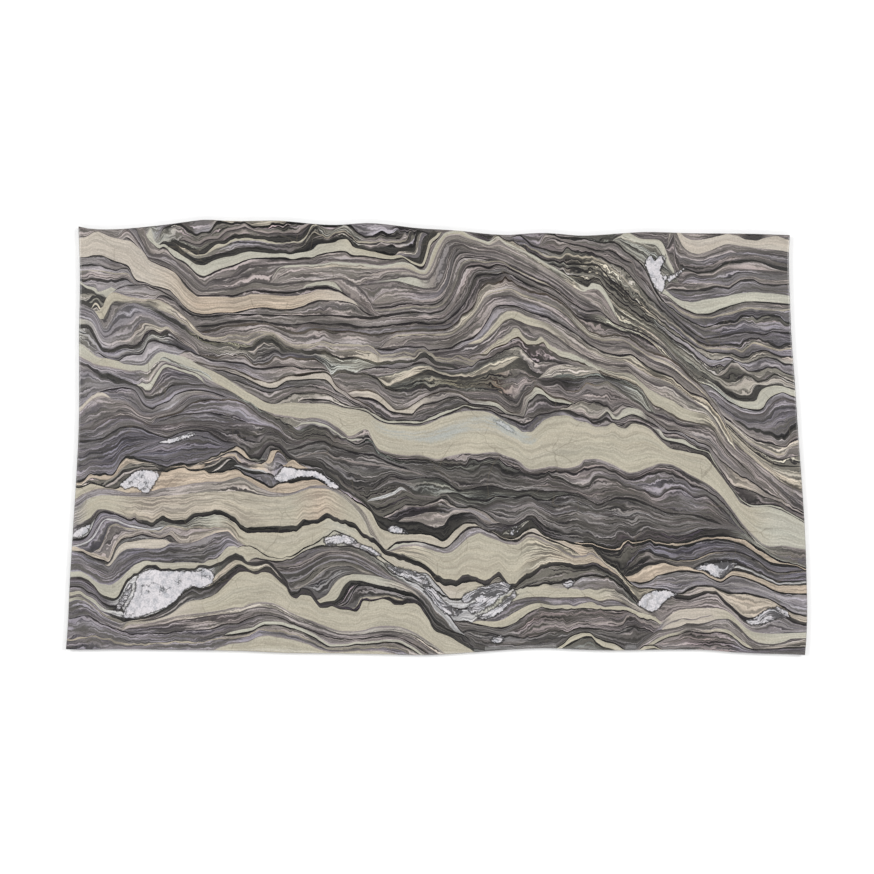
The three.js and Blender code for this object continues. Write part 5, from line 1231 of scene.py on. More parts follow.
         points=[(-81, -42.6), (-78, -44.4), (-75, -45.6), (-71, -47.8), (-68, -49.2), (-65, -49.8),
             (-62, -49.2), (-58, -47.8), (-54, -45.6), (-50, -43.8), (-47, -41.6), (-44, -40),
             (-42, -38.4), (-39.6, -39.2), (-36, -40.4), (-33, -42.2), (-29, -44.6), (-26, -46.2),
             (-23, -48.4), (-19, -51.6), (-15, -54), (-11, -54.8), (-8, -55.4), (-4, -56), (-1, -58.6),
             (2, -62), (4, -64.6), (6, -67)]),
    # ---------- the lower right bands
    band("white", edge=("black", 0.9), crinkle=[(0, 0.8)],
         along=[(-2, "white"), (30, "white"), (40, "cream"), (60, "lilac"), (70, "mauve"),
             (80, "darkgreen")],
         points=[(-3, -59.6), (0, -62.4), (3, -65), (6, -66.6), (9, -66.8), (12, -65.6), (14, -64),
             (17, -63), (20, -62), (24, -60.8), (28, -61), (31, -62), (34, -62.4), (37, -61),
             (41, -60.2), (45, -60), (50, -59.2), (55, -58.4), (60, -57), (65, -56), (69, -56.6),
             (73, -58.4), (77, -61.4), (80, -64.4), (83, -68)]),
    band("white", edge=("black", 0.8), crinkle=[(0, 0.8)],
         points=[(3, -67.4), (6, -69.4), (9, -70.2), (12, -70.4), (16, -70), (20, -67.8), (24, -66),
             (27, -63.6)]),
    band("cream", crinkle=[(0, 0.5)],
         along=[(14, "white"), (26, "palecream"), (40, "cream"), (66, "cream"), (78, "greycream")],
         points=[(10, -71.6), (15, -71.8), (19, -70.2), (23, -68), (28, -65), (32, -63.4), (36, -62.4),
             (41, -61.6), (45, -61), (50, -62.2), (56, -62.8), (62, -62.6), (68, -62.6), (72, -62.4),
             (76, -64.4), (80, -67.6), (84, -70), (88, -72)]),
    band("bluegrey", edge=("darkmauve", 0.5),
         points=[(16, -74.4), (19, -74), (22, -73), (26, -70.8), (30, -68.3), (34, -66.8), (38, -65.8),
             (42, -65.5), (46, -65.8), (50, -66), (54, -66), (58, -65.9), (62, -65.5), (65, -66.4),
             (68, -67.4), (71, -66.6), (74, -67), (78, -68.6), (82, -70.8), (86, -72.4), (90, -73.4)]),
    band("cream",
         points=[(16, -75.4), (20, -75.6), (24, -75.8), (28, -74.8), (31, -73), (35, -70.8),
             (39, -68.8), (42, -68.2), (46, -68.8), (50, -69.2), (54, -69), (57, -69.7), (60, -68.6),
             (64, -67.8), (67, -69.2), (70, -69.9), (75, -69.4), (79, -70), (83, -71.8), (88, -73.2),
             (92, -74.6)]),
    band("brownmauve", edge=("dark", 0.5), crinkle=[(0, 0.5), (60, 0.4)],
         along=[(4, "darkmauve"), (16, "deep"), (30, "deep"), (38, "brownmauve"), (78, "brownmauve"),
             (90, "mauve")],
         points=[(4, -75), (8, -75.4), (12, -75.6), (16, -76.6), (20, -77.4), (24, -78.2), (27, -78.3),
             (30, -77.4), (34, -75.4), (38, -72.4), (41, -70.6), (44, -69.8), (48, -70.2), (52, -70.6),
             (56, -70.8), (60, -70.5), (64, -70.2), (68, -70.8), (73, -71), (78, -71.2), (82, -73),
             (86, -74.6), (90, -75.2), (92, -76.4)]),
    band("brownmauve", edge=("pinkgrey", 0.5), crinkle=[(60, 0.8)],
         along=[(36, "brownmauve"), (90, "darkmauve")],
         points=[(36, -79), (42, -76.6), (48, -76), (54, -77), (60, -76.4), (66, -77), (72, -76.2),
             (77, -76), (79, -73.4), (82, -74.2), (86, -76), (90, -77.2), (93, -78.4)]),
    band("deep", edge=("dark", 0.5), crinkle=[(60, 0.8)], along=[(20, "deep"), (92, "deep")],
         points=[(8, -82.6), (11, -80.6), (14, -79.6), (20, -80), (28, -81.6), (34, -82.4), (40, -82),
             (48, -80), (54, -79.6), (60, -78.6), (66, -79.4), (72, -80.2), (76, -79.6), (79, -78.4),
             (83, -78), (88, -79.4), (93, -81), (98, -82.2)]),
    band("cream",
         along=[(92, "bluegrey"), (97, "warmcream"), (112, "warmcream"), (122, "cream"),
             (148, "palecream")],
         points=[(91.4, -78.4), (93, -76.4), (95, -74.4), (98, -72.2), (101, -71), (105, -70.6),
             (110, -70.4), (115, -70.4), (119, -71.2), (122, -73), (125, -76), (128, -78.6),
             (131, -80.2), (136, -80.8), (142, -80.8), (148, -80.5), (154, -80.2)]),
    band("warmcream", edge=("mauve", 0.5),
         points=[(94, -77.6), (98, -75.4), (102, -74.6), (106, -75), (110, -73.8), (114, -73)]),
    band("warmcream",
         points=[(94, -78), (98, -76.6), (102, -75.8), (106, -75.6), (110, -74.6), (114, -73.6)]),
    band("mauve", edge=("darkmauve", 0.6),
         along=[(94, "mauve"), (130, "mauve"), (140, "greycream"), (146, "greycream")],
         points=[(84, -84.6), (88, -81.6), (92, -79.2), (96, -78.8), (100, -78), (104, -76.6),
             (108, -76.8), (112, -76), (116, -74.9), (120, -74.7), (123, -76.2), (126, -79.2),
             (129, -82.2), (133, -84.5), (138, -85), (143, -84.4), (147, -82.8), (154, -82.6)]),
    band("cream",
         along=[(90, "cream"), (98, "cream"), (104, "mauve"), (108, "pinkgrey"), (112, "pinkcream"),
             (120, "cream")],
         points=[(86, -86), (90, -83.6), (93, -82), (96, -81), (100, -80.2), (104, -78.6), (108, -79),
             (112, -79.5), (116, -78.8), (120, -79.2), (124, -82), (128, -85), (132, -88)]),
    band("mauve", edge=("dark", 0.5),
         along=[(98, "mauve"), (105, "brownmauve"), (121, "brownmauve"), (126, "bluegrey"),
             (150, "bluegrey")],
         points=[(86, -87.4), (90, -85), (93, -83.2), (96, -82), (100, -81.2), (104, -79.8),
             (108, -80.2), (112, -80.6), (116, -80), (120, -80.6), (124, -83.2), (128, -86.2),
             (132, -87.2), (140, -86.8), (154, -86)]),
    # ---------- the lower left bands
    band("mauve", edge=("dark", 0.6), crinkle=[(-70, 0.2), (-20, 0.6), (0, 0.8)],
         along=[(-76, "mauve"), (-50, "bluegrey"), (-44, "mauve"), (-20, "greygreen"), (-8, "white"),
             (6, "white")],
         points=[(-76, -49.4), (-70, -50.2), (-66, -51), (-60, -49.8), (-55, -47.4), (-50, -45.4),
             (-47, -44.6), (-45, -45), (-42, -45), (-38, -44.6), (-35, -44.2), (-33, -45), (-29, -46.6),
             (-25, -49), (-22, -51.4), (-20, -53.6), (-17, -55.8), (-14, -57), (-11, -59), (-7, -60.6),
             (-3, -63), (0, -67), (3, -70.6), (6, -73.6), (8, -76.6), (10.6, -80)]),
    band("deep", edge=("pinkgrey", 0.4),
         along=[(-70, "mauve"), (-58, "darkmauve"), (-10, "deep"), (6, "deep")],
         points=[(-72, -51.6), (-66, -52.8), (-60, -52.6), (-56, -51.6), (-52, -49.8), (-48, -47.8),
             (-44, -46.8), (-40, -46.6), (-36, -46.8), (-32, -48.2), (-28, -50.2), (-24, -52.8),
             (-20, -56), (-16, -58.4), (-12, -60.4), (-7, -63), (-3, -67), (0, -71.6), (3, -74),
             (6, -77.6)]),
    band("deep", edge=("lilac", 0.6),
         points=[(-66, -55), (-60, -55.4), (-56, -54.4), (-52, -52.4), (-48, -50.2), (-44, -48.6),
             (-40, -48.2), (-36, -48.6), (-32, -50), (-28, -52), (-24, -54.6), (-18, -58)]),
    band("deep", edge=("lilac", 0.6), along=[(-60, "deep"), (-48, "banded"), (-40, "nightbands")],
         points=[(-62, -59), (-57, -58), (-53, -56), (-50, -53.6), (-47, -52), (-43, -50.4), (-39, -50),
             (-34, -51), (-29, -53.4), (-24, -56), (-18, -58.6)]),
    band("deep", edge=("greycream", 0.5),
         points=[(-60, -62.4), (-55, -61), (-51, -58.6), (-48, -56), (-45, -54), (-41, -52.4),
             (-37, -52.2), (-32, -54), (-26, -56.2)]),
    band("cream", along=[(-46, "cream"), (-24, "palecream"), (-12, "greycream")],
         points=[(-49, -67), (-46.6, -66), (-44.6, -64.6), (-43, -62), (-41, -59.4), (-38.4, -57.4),
             (-35, -56.5), (-31, -56.4), (-27, -56.8), (-23, -57.6), (-18, -58.9), (-14, -60.4),
             (-10, -62.6), (-7.6, -64.4)]),
    band("black",
         points=[(-49, -68.6), (-45, -67.6), (-42, -67.3), (-40.2, -65.6), (-38.8, -62.6), (-37, -60.2),
             (-35, -58.9), (-32, -58.9), (-28, -59.7), (-23, -60.9), (-18, -61.9), (-14, -62.9),
             (-10, -64), (-6, -67), (-3, -71), (0, -75), (3, -77)]),
    band("banded",
         points=[(-41, -68.4), (-38.4, -67), (-37, -64), (-35.6, -61.4), (-34.2, -60.2), (-33, -60)]),
    band("deep", edge=("black", 0.6),
         points=[(-40, -69.4), (-36.8, -68), (-35, -65), (-33.6, -62), (-32, -60.6), (-28, -60.8),
             (-23, -62), (-18, -63), (-14, -63.9), (-10, -65), (-6, -68), (-3, -72), (0, -76), (3, -78),
             (8, -80), (14, -82)]),
    band("tan",
         points=[(-36, -70.4), (-33.4, -70), (-32, -67.6), (-31, -66), (-28, -65.4), (-24, -65.2),
             (-21, -64.8), (-18, -65.6), (-14, -66.4)]),
    band("black", crinkle=[(-150, 0.3), (-120, 0.6), (-90, 0.4), (-60, 0.6), (-20, 0.6)],
         along=[(-151, "dark"), (-141, "dark"), (-136, "black"), (-92, "black"), (-50, "dark"),
             (-34, "dark"), (-24, "dark"), (-8, "dark"), (0, "black")],
         points=[(-151, -57.6), (-147, -57.5), (-144, -58.5), (-141, -61), (-139, -63.6), (-136, -65.6),
             (-133, -66.4), (-131, -65.2), (-129.6, -62.4), (-128, -59.4), (-126, -57), (-123, -55.2),
             (-120.6, -53.6), (-118, -52.6), (-116, -52.6), (-113, -54), (-108, -54), (-104, -54),
             (-100, -54), (-98, -52.8), (-96, -52.3), (-93.6, -52.6), (-92, -52.2), (-90, -51.2),
             (-88, -50.6), (-86, -49), (-84, -48.1), (-82, -47.8), (-80, -48.6), (-78.6, -50.6),
             (-77, -51.4), (-74, -51.6), (-72, -50.8), (-70, -50.6), (-68, -51.8), (-65, -54.6),
             (-62, -58), (-60.6, -61.6), (-59.4, -63.6), (-57.4, -64), (-55.4, -62.4), (-52, -63.4),
             (-49.6, -66.6), (-47, -68.8), (-44, -68.4), (-41, -69.6), (-37, -70), (-34, -70.6),
             (-31.8, -68.4), (-30.6, -66), (-27, -66.4), (-24, -66), (-22, -65.6), (-19, -66.2),
             (-17, -67.4), (-14, -67.4), (-12, -66.6), (-9, -67), (-6.4, -68.6), (-4.6, -71),
             (-2.6, -73.8), (-1.2, -76.8), (0.4, -78.6), (3, -79.6), (6, -81), (9, -82.8), (12, -84.8),
             (15, -86.4), (18, -87.4), (21, -88.6)]),
    band("bluegrey", crinkle=[(-150, 0.3), (-90, 0.4)],
         along=[(-151, "bluegrey"), (-136, "bluegrey"), (-131, "white"), (-100, "white"),
             (-94, "white"), (-91, "darkgreen"), (-84, "dark"), (-70, "dark")],
         points=[(-151, -59), (-147, -59), (-144, -60), (-141, -62.4), (-139, -64.8), (-136, -66.8),
             (-133, -67.6), (-130.6, -66.4), (-129, -63.6), (-127.4, -60.4), (-125.4, -58.2),
             (-123, -56.4), (-120.6, -54.8), (-118, -54), (-113, -55), (-108, -54.9), (-100, -54.9),
             (-98, -54), (-96, -53.6), (-93.6, -54), (-92, -53.6), (-90, -52.6), (-88, -51.8),
             (-86, -50.4), (-84, -49.4), (-82, -49), (-80, -49.8), (-78.4, -51.6), (-74, -52.6),
             (-70, -51.8), (-67.4, -53.4), (-64, -56.8)]),
    band("cream", along=[(-94, "tan"), (-88, "pinkcream"), (-78, "cream"), (-68, "greycream")],
         points=[(-92.6, -58.8), (-91, -57), (-88, -54.4), (-85, -51.8), (-82.4, -50.6), (-80.6, -50.8),
             (-78.4, -52.3), (-74, -53.2), (-70, -52.3), (-67.6, -53.8), (-64.4, -57.2)]),
    band("darkgreen", edge=("dark", 0.7), crinkle=[(-150, 0.4)],
         along=[(-145, "bluegrey"), (-140, "bluegrey"), (-134, "darkgreen")],
         points=[(-150, -61.2), (-146, -61.6), (-143, -63.2), (-140, -65.4), (-137, -67.8),
             (-134, -69.2), (-131.6, -69), (-130, -67.4)]),
    band("white", crinkle=[(-150, 0.4)], along=[(-151, "cream"), (-140, "palecream"), (-134, "white")],
         points=[(-151, -63.9), (-147, -63.5), (-144, -64.9), (-141, -67), (-138, -69.4), (-135, -71.2),
             (-132, -71.6), (-129.4, -70.6)]),
    band("black", crinkle=[(-150, 0.4)],
         along=[(-151, "mauve"), (-142, "bluegrey"), (-134, "black"), (-126, "black"), (-108, "black"),
             (-88, "black"), (-64, "black")],
         points=[(-151, -65.2), (-147, -64.8), (-144, -66.4), (-141, -68.6), (-138, -70.8),
             (-135, -72.4), (-132, -73.4), (-129, -74.4), (-125, -74.6), (-121, -73.8), (-117, -72.8),
             (-113, -71), (-109.6, -69), (-107, -67.4), (-105.6, -64.6), (-103, -62.6), (-100, -61.2),
             (-97.6, -62), (-95, -61.6), (-92, -60.4), (-90, -58.8), (-88, -57), (-85, -54.8),
             (-83, -53.4), (-81, -52.4), (-79, -53.1), (-77, -54.4), (-75, -55.2), (-73.4, -54.8),
             (-71, -53.6), (-69, -53.4), (-67, -54.8), (-64, -58), (-62, -60)]),
    band("cream", along=[(-151, "palecream"), (-140, "greycream"), (-132, "greycream"), (-124, "tan")],
         points=[(-151, -66.4), (-147.4, -65.7), (-144, -67), (-141, -69.2), (-138, -71.6),
             (-135, -73.4), (-132, -74.6), (-129, -75.6)]),
    band("deep",
         along=[(-151, "bluegrey"), (-132, "bluegrey"), (-124, "tan"), (-117, "darkmauve"),
             (-112, "deep"), (-100, "deep"), (-88, "dark"), (-72, "dark")],
         points=[(-151, -67.8), (-148, -66.9), (-145, -67.4), (-142, -69.4), (-139, -71.8), (-136, -74),
             (-133, -75.8), (-130, -76.4), (-126, -75.6), (-121, -74.8), (-117, -73.8), (-113, -72),
             (-109.6, -70), (-107, -68.4), (-105.2, -65.6), (-103, -63.8), (-100, -62.2), (-97.6, -63),
             (-95, -62.7), (-92, -61.6), (-90, -60), (-88, -58.2), (-85, -55.8), (-83, -54.6),
             (-81, -53.6), (-79, -54.2), (-77, -55.2), (-75, -56), (-73.4, -55.6), (-71, -54.6),
             (-69, -54.4), (-67, -55.8), (-64, -59), (-62, -61)]),
    band("cream", along=[(-128, "tan"), (-112, "warmcream"), (-94, "cream"), (18, "cream")],
         points=[(-128, -76.2), (-122, -76), (-118, -75.6), (-114, -74.6), (-110, -73.2), (-107, -71.2),
             (-105, -69.4), (-101, -67.4), (-97, -66.8), (-93, -65.6), (-90, -64), (-87.6, -61.6),
             (-85, -59), (-83, -57), (-80.6, -55.5), (-78, -55.3), (-76, -56), (-74, -56.5),
             (-71.6, -55.6), (-69, -55.8), (-66.6, -57.4), (-64, -60), (-61.6, -62), (-60.6, -64.4),
             (-59, -66), (-57.4, -66.5), (-55.6, -65), (-52, -65.4), (-49.6, -68.2), (-47.6, -70.2),
             (-45, -70.3), (-43, -69.6), (-40, -70.8), (-36, -71.2), (-33, -71.8), (-31.2, -70),
             (-30.2, -67.2), (-27, -67.6), (-24, -67), (-22, -66.5), (-19, -67.6), (-17, -69.2),
             (-14, -69.2), (-12, -68.4), (-9, -68.4), (-6.6, -70), (-5, -72.4), (-3, -75.2),
             (-1.6, -78.2), (0, -80), (3, -81), (6, -82.4), (9, -84.2), (12, -86), (15, -87.8),
             (17, -89.8)]),
    band("pinkgrey", edge=("mauve", 0.5),
         along=[(-130, "mauve"), (-112, "mauve"), (-100, "greycream"), (4, "greycream")],
         points=[(-128, -77.2), (-122, -76.8), (-118, -76.4), (-112, -74.9), (-106, -73.6),
             (-100, -72.8), (-94, -72), (-88, -71.2), (-84, -70.2), (-80, -70), (-77, -68.6),
             (-72, -67.8), (-68, -68.2), (-64, -69.6), (-60, -72), (-55, -74.2), (-50, -76), (-45, -78),
             (-40, -79.6), (-35, -80), (-30, -79.4), (-26, -78.2), (-21, -77.6), (-16, -78),
             (-11, -79.4), (-7, -81.4), (-3, -84), (1, -87), (4, -89.4), (6, -91)]),
    band("bluegrey", edge=("darkmauve", 0.5),
         along=[(-151, "bluegrey"), (-128, "bluegrey"), (-100, "mauve"), (-60, "mauve"), (0, "mauve")],
         points=[(-128, -78.4), (-120, -78), (-112, -76.8), (-106, -75.4), (-100, -74.6), (-94, -73.4),
             (-88, -72.8), (-82, -72.2), (-77, -70.4), (-72, -69.6), (-67, -70.4), (-62, -72.6),
             (-56, -75.6), (-50, -77.4), (-44, -79.6), (-38, -81.2), (-32, -81.2), (-26, -80.2),
             (-20, -79.6), (-14, -80.6), (-9, -82.4), (-4, -85.6), (1, -89.4), (3, -91)]),
    band("bluegrey", edge=("dark", 0.4), crinkle=[(-110, 0.5), (-90, 0.2)],
         along=[(-151, "bluegrey"), (-100, "bluegrey"), (-60, "mauve")],
         points=[(-151, -74.4), (-144, -73.6), (-138, -76.4), (-131, -79.2), (-124, -80.8), (-116, -81),
             (-108, -80.4), (-100, -79.4), (-94, -79), (-88, -77.2), (-82, -76.6), (-77, -74.4),
             (-72, -73), (-66, -73.6), (-60, -75.8), (-54, -78.4), (-48, -80.8), (-42, -82.6),
             (-35, -83), (-28, -82.2), (-20, -81.6), (-14, -82.8), (-8, -85.8), (-3, -89.2)]),
    band("palecream",
         points=[(-86, -80.6), (-80, -79.2), (-76, -78.5), (-73, -76.9), (-70, -75.9), (-66, -75.8),
             (-60, -77), (-55, -78.8), (-50, -81.2), (-46, -84), (-43, -85.4), (-38, -85.2),
             (-33, -84.4), (-27, -84), (-20, -83.3), (-16, -83.4), (-12, -85), (-8, -87.4), (-5, -90)]),
    band("pinkgrey", edge=("black", 0.6),
         points=[(-88, -81.4), (-84, -81), (-80, -80.4), (-76, -79.6), (-73, -78), (-70, -77),
             (-66, -77), (-60, -78.2), (-55, -80), (-50, -82.4), (-46, -85), (-43, -86.2), (-38, -86),
             (-33, -85.2), (-27, -84.8), (-20, -84.1), (-16, -84.3), (-12, -86), (-8, -88.4), (-6, -90)]),
    band("bluegrey", edge=("tan", 0.5), crinkle=[(-110, 0.5), (-90, 0.4)],
         points=[(-151, -83), (-146, -82.2), (-141, -81.9), (-136, -82.8), (-130, -84), (-122, -85),
             (-112, -84.8), (-105, -84), (-98, -84.4), (-92, -83.2), (-87, -82.8), (-82, -82.2),
             (-77, -81.2), (-72, -79.4), (-66, -79.4), (-59, -80.8), (-53, -83), (-48, -85.6),
             (-42, -87), (-34, -86.4), (-26, -86), (-18, -86.4), (-12, -88.4)]),
    band("cream", edge=("mauve", 0.4),
         points=[(-98, -90), (-93, -88.2), (-90, -86.6), (-87, -85.4), (-83, -84.4), (-79, -84.2),
             (-76, -83.2), (-73, -82), (-69, -81.4), (-64, -82), (-58, -83.2), (-52, -85.2),
             (-47, -87.4), (-42, -88.3), (-36, -88), (-30, -87.6), (-24, -87.6), (-18, -88.6),
             (-13, -90.5)]),
    band("cream", edge=("black", 0.6),
         points=[(44, -90), (48, -87.6), (50, -86.3), (53, -84.2), (55, -82), (58, -80.8), (61, -80),
             (63, -80.2), (65.6, -82), (69, -83.4), (73, -84.4), (76, -86), (79, -88.4)]),
    band("darkgreen", edge=("black", 0.7),
         points=[(48, -89), (52, -86.6), (55, -84.6), (58, -83.2), (62, -81.8), (64, -82), (66, -84.2),
             (69, -86.2), (73, -87.4), (76, -89)]),
    band("cream", edge=("dark", 0.5),
         points=[(82, -89), (84, -87), (86, -85.4), (89, -85.2), (92, -86.6), (95, -88.6)]),
    band("darkmauve", edge=("black", 0.5), points=[(84, -89), (86.6, -87.2), (90, -86.8), (93, -88.6)]),
]


# -------------------------------------------------- curves, noise and the stack of bands
def smooth_curve(x_points, y_points, x):
    """A curve through the points that never swings past them (monotone cubic)."""
    px = np.asarray(x_points, float)
    py = np.asarray(y_points, float)
    width = np.diff(px)
    slope = np.diff(py) / width
    tangent = np.zeros(len(px))
    tangent[0] = slope[0]
    tangent[-1] = slope[-1]
    same_way = slope[:-1] * slope[1:] > 0
    w1 = 2 * width[1:] + width[:-1]
    w2 = width[1:] + 2 * width[:-1]
    with np.errstate(divide="ignore", invalid="ignore"):
        mean = (w1 + w2) / (w1 / slope[:-1] + w2 / slope[1:])
    tangent[1:-1] = np.where(same_way, mean, 0.0)
    x = np.clip(x, px[0], px[-1])
    i = np.clip(np.searchsorted(px, x) - 1, 0, len(px) - 2)
    t = (x - px[i]) / width[i]
    return (py[i] * (1 + 2 * t) * (1 - t) ** 2 + tangent[i] * width[i] * t * (1 - t) ** 2
            + py[i + 1] * t ** 2 * (3 - 2 * t) + tangent[i + 1] * width[i] * t ** 2 * (t - 1))


def lattice_noise(x, y, wave_x, wave_y, seed):
    """Smooth noise from -1 to 1 over the plane, one random value per lattice point."""
    values = np.random.default_rng(seed).uniform(-1, 1, (LATTICE, LATTICE))
    gx = x / wave_x
    gy = y / wave_y
    ix = np.floor(gx).astype(int)
    iy = np.floor(gy).astype(int)
    fx = gx - ix
    fy = gy - iy
    fx = fx * fx * (3 - 2 * fx)
    fy = fy * fy * (3 - 2 * fy)
    a = values[ix % LATTICE, iy % LATTICE]
    b = values[(ix + 1) % LATTICE, iy % LATTICE]
    c = values[ix % LATTICE, (iy + 1) % LATTICE]
    d = values[(ix + 1) % LATTICE, (iy + 1) % LATTICE]
    return (a * (1 - fx) + b * fx) * (1 - fy) + (c * (1 - fx) + d * fx) * fy


def folds(x, y):
    """Sideways-coherent crinkling: neighbouring horizons move together."""
    gentle = lattice_noise(x, y, 5.5, 9.0, 11)
    sharp = 1 - 2 * np.abs(lattice_noise(x, y, 3.0, 7.0, 12))
    return gentle, sharp


def ramp(x, pairs, empty=0.0):
    """A number that runs along x through the given (x, value) pairs."""
    if not pairs:
        return np.full(np.shape(x), float(empty))
    return np.interp(x, [p[0] for p in pairs], [p[1] for p in pairs])


def fade_length(place, x, rise):
    """How long a band takes to thin out at its end."""
    return TAPER + min(1.2 * np.interp(place, x, rise), LONGEST_TAPER)


def upper_edge(one, x, below):
    """Height of a band's upper edge at every x, resting on the band below, and how far it has faded in."""
    px = [p[0] for p in one["points"]]
    py = [p[1] for p in one["points"]]
    own = smooth_curve(px, py, x)
    gentle, sharp = folds(x, own)
    amount = ramp(x, one["crinkle"])
    own = own + (CALM_FOLD + 0.3 * amount) * gentle + (0.10 + 0.6 * amount) * sharp
    rise = np.maximum(own - below, 0)
    share = np.ones(len(x))
    if px[0] > -OPEN_END:
        length = fade_length(px[0] + 0.5 * TAPER, x, rise)
        share *= np.clip((x - px[0]) / length + FADE_OUTSIDE, 0, 1)
    if px[-1] < OPEN_END:
        length = fade_length(px[-1] - 0.5 * TAPER, x, rise)
        share *= np.clip((px[-1] - x) / length + FADE_OUTSIDE, 0, 1)
    return below + rise * share * (2 - share), share


def lay_out(bands, x, top, bottom):
    """Every horizon of the slab at every x: one row per band's upper edge, then the bottom edge."""
    rows = [bottom]
    shares = []
    for one in reversed(bands):
        height, share = upper_edge(one, x, rows[-1])
        rows.append(height)
        shares.append(share)
    rows = np.array(rows[::-1])
    return np.clip(rows, bottom, top), np.array(shares[::-1])


def split_edges(bands, x, rows, shares):
    """Adds the thin line that runs along the top of some bands.

    Returns the horizons, and for every strip the number of its band, its rocks and whether it is a line.
    """
    horizons = []
    strips = []
    for number, one in enumerate(bands):
        horizons.append(rows[number])
        if one["edge"]:
            rock, width = one["edge"]
            wander = 0.62 + 0.75 * np.abs(lattice_noise(x, 0 * x + number * 3.7, 7.0, 1.0, 21))
            wander += 0.35 * lattice_noise(x, 0 * x + number * 5.3, 2.2, 1.0, 22)
            room = 0.7 * (rows[number] - rows[number + 1])
            depth = np.minimum(1.25 * width * np.maximum(wander, 0.1), room) * shares[number]
            strips.append((number, [(0, rock)], "line"))
            horizons.append(rows[number] - depth)
        strips.append((number, one["along"] or [(0, one["rock"])], "body"))
    horizons.append(rows[-1])
    return np.array(horizons), strips


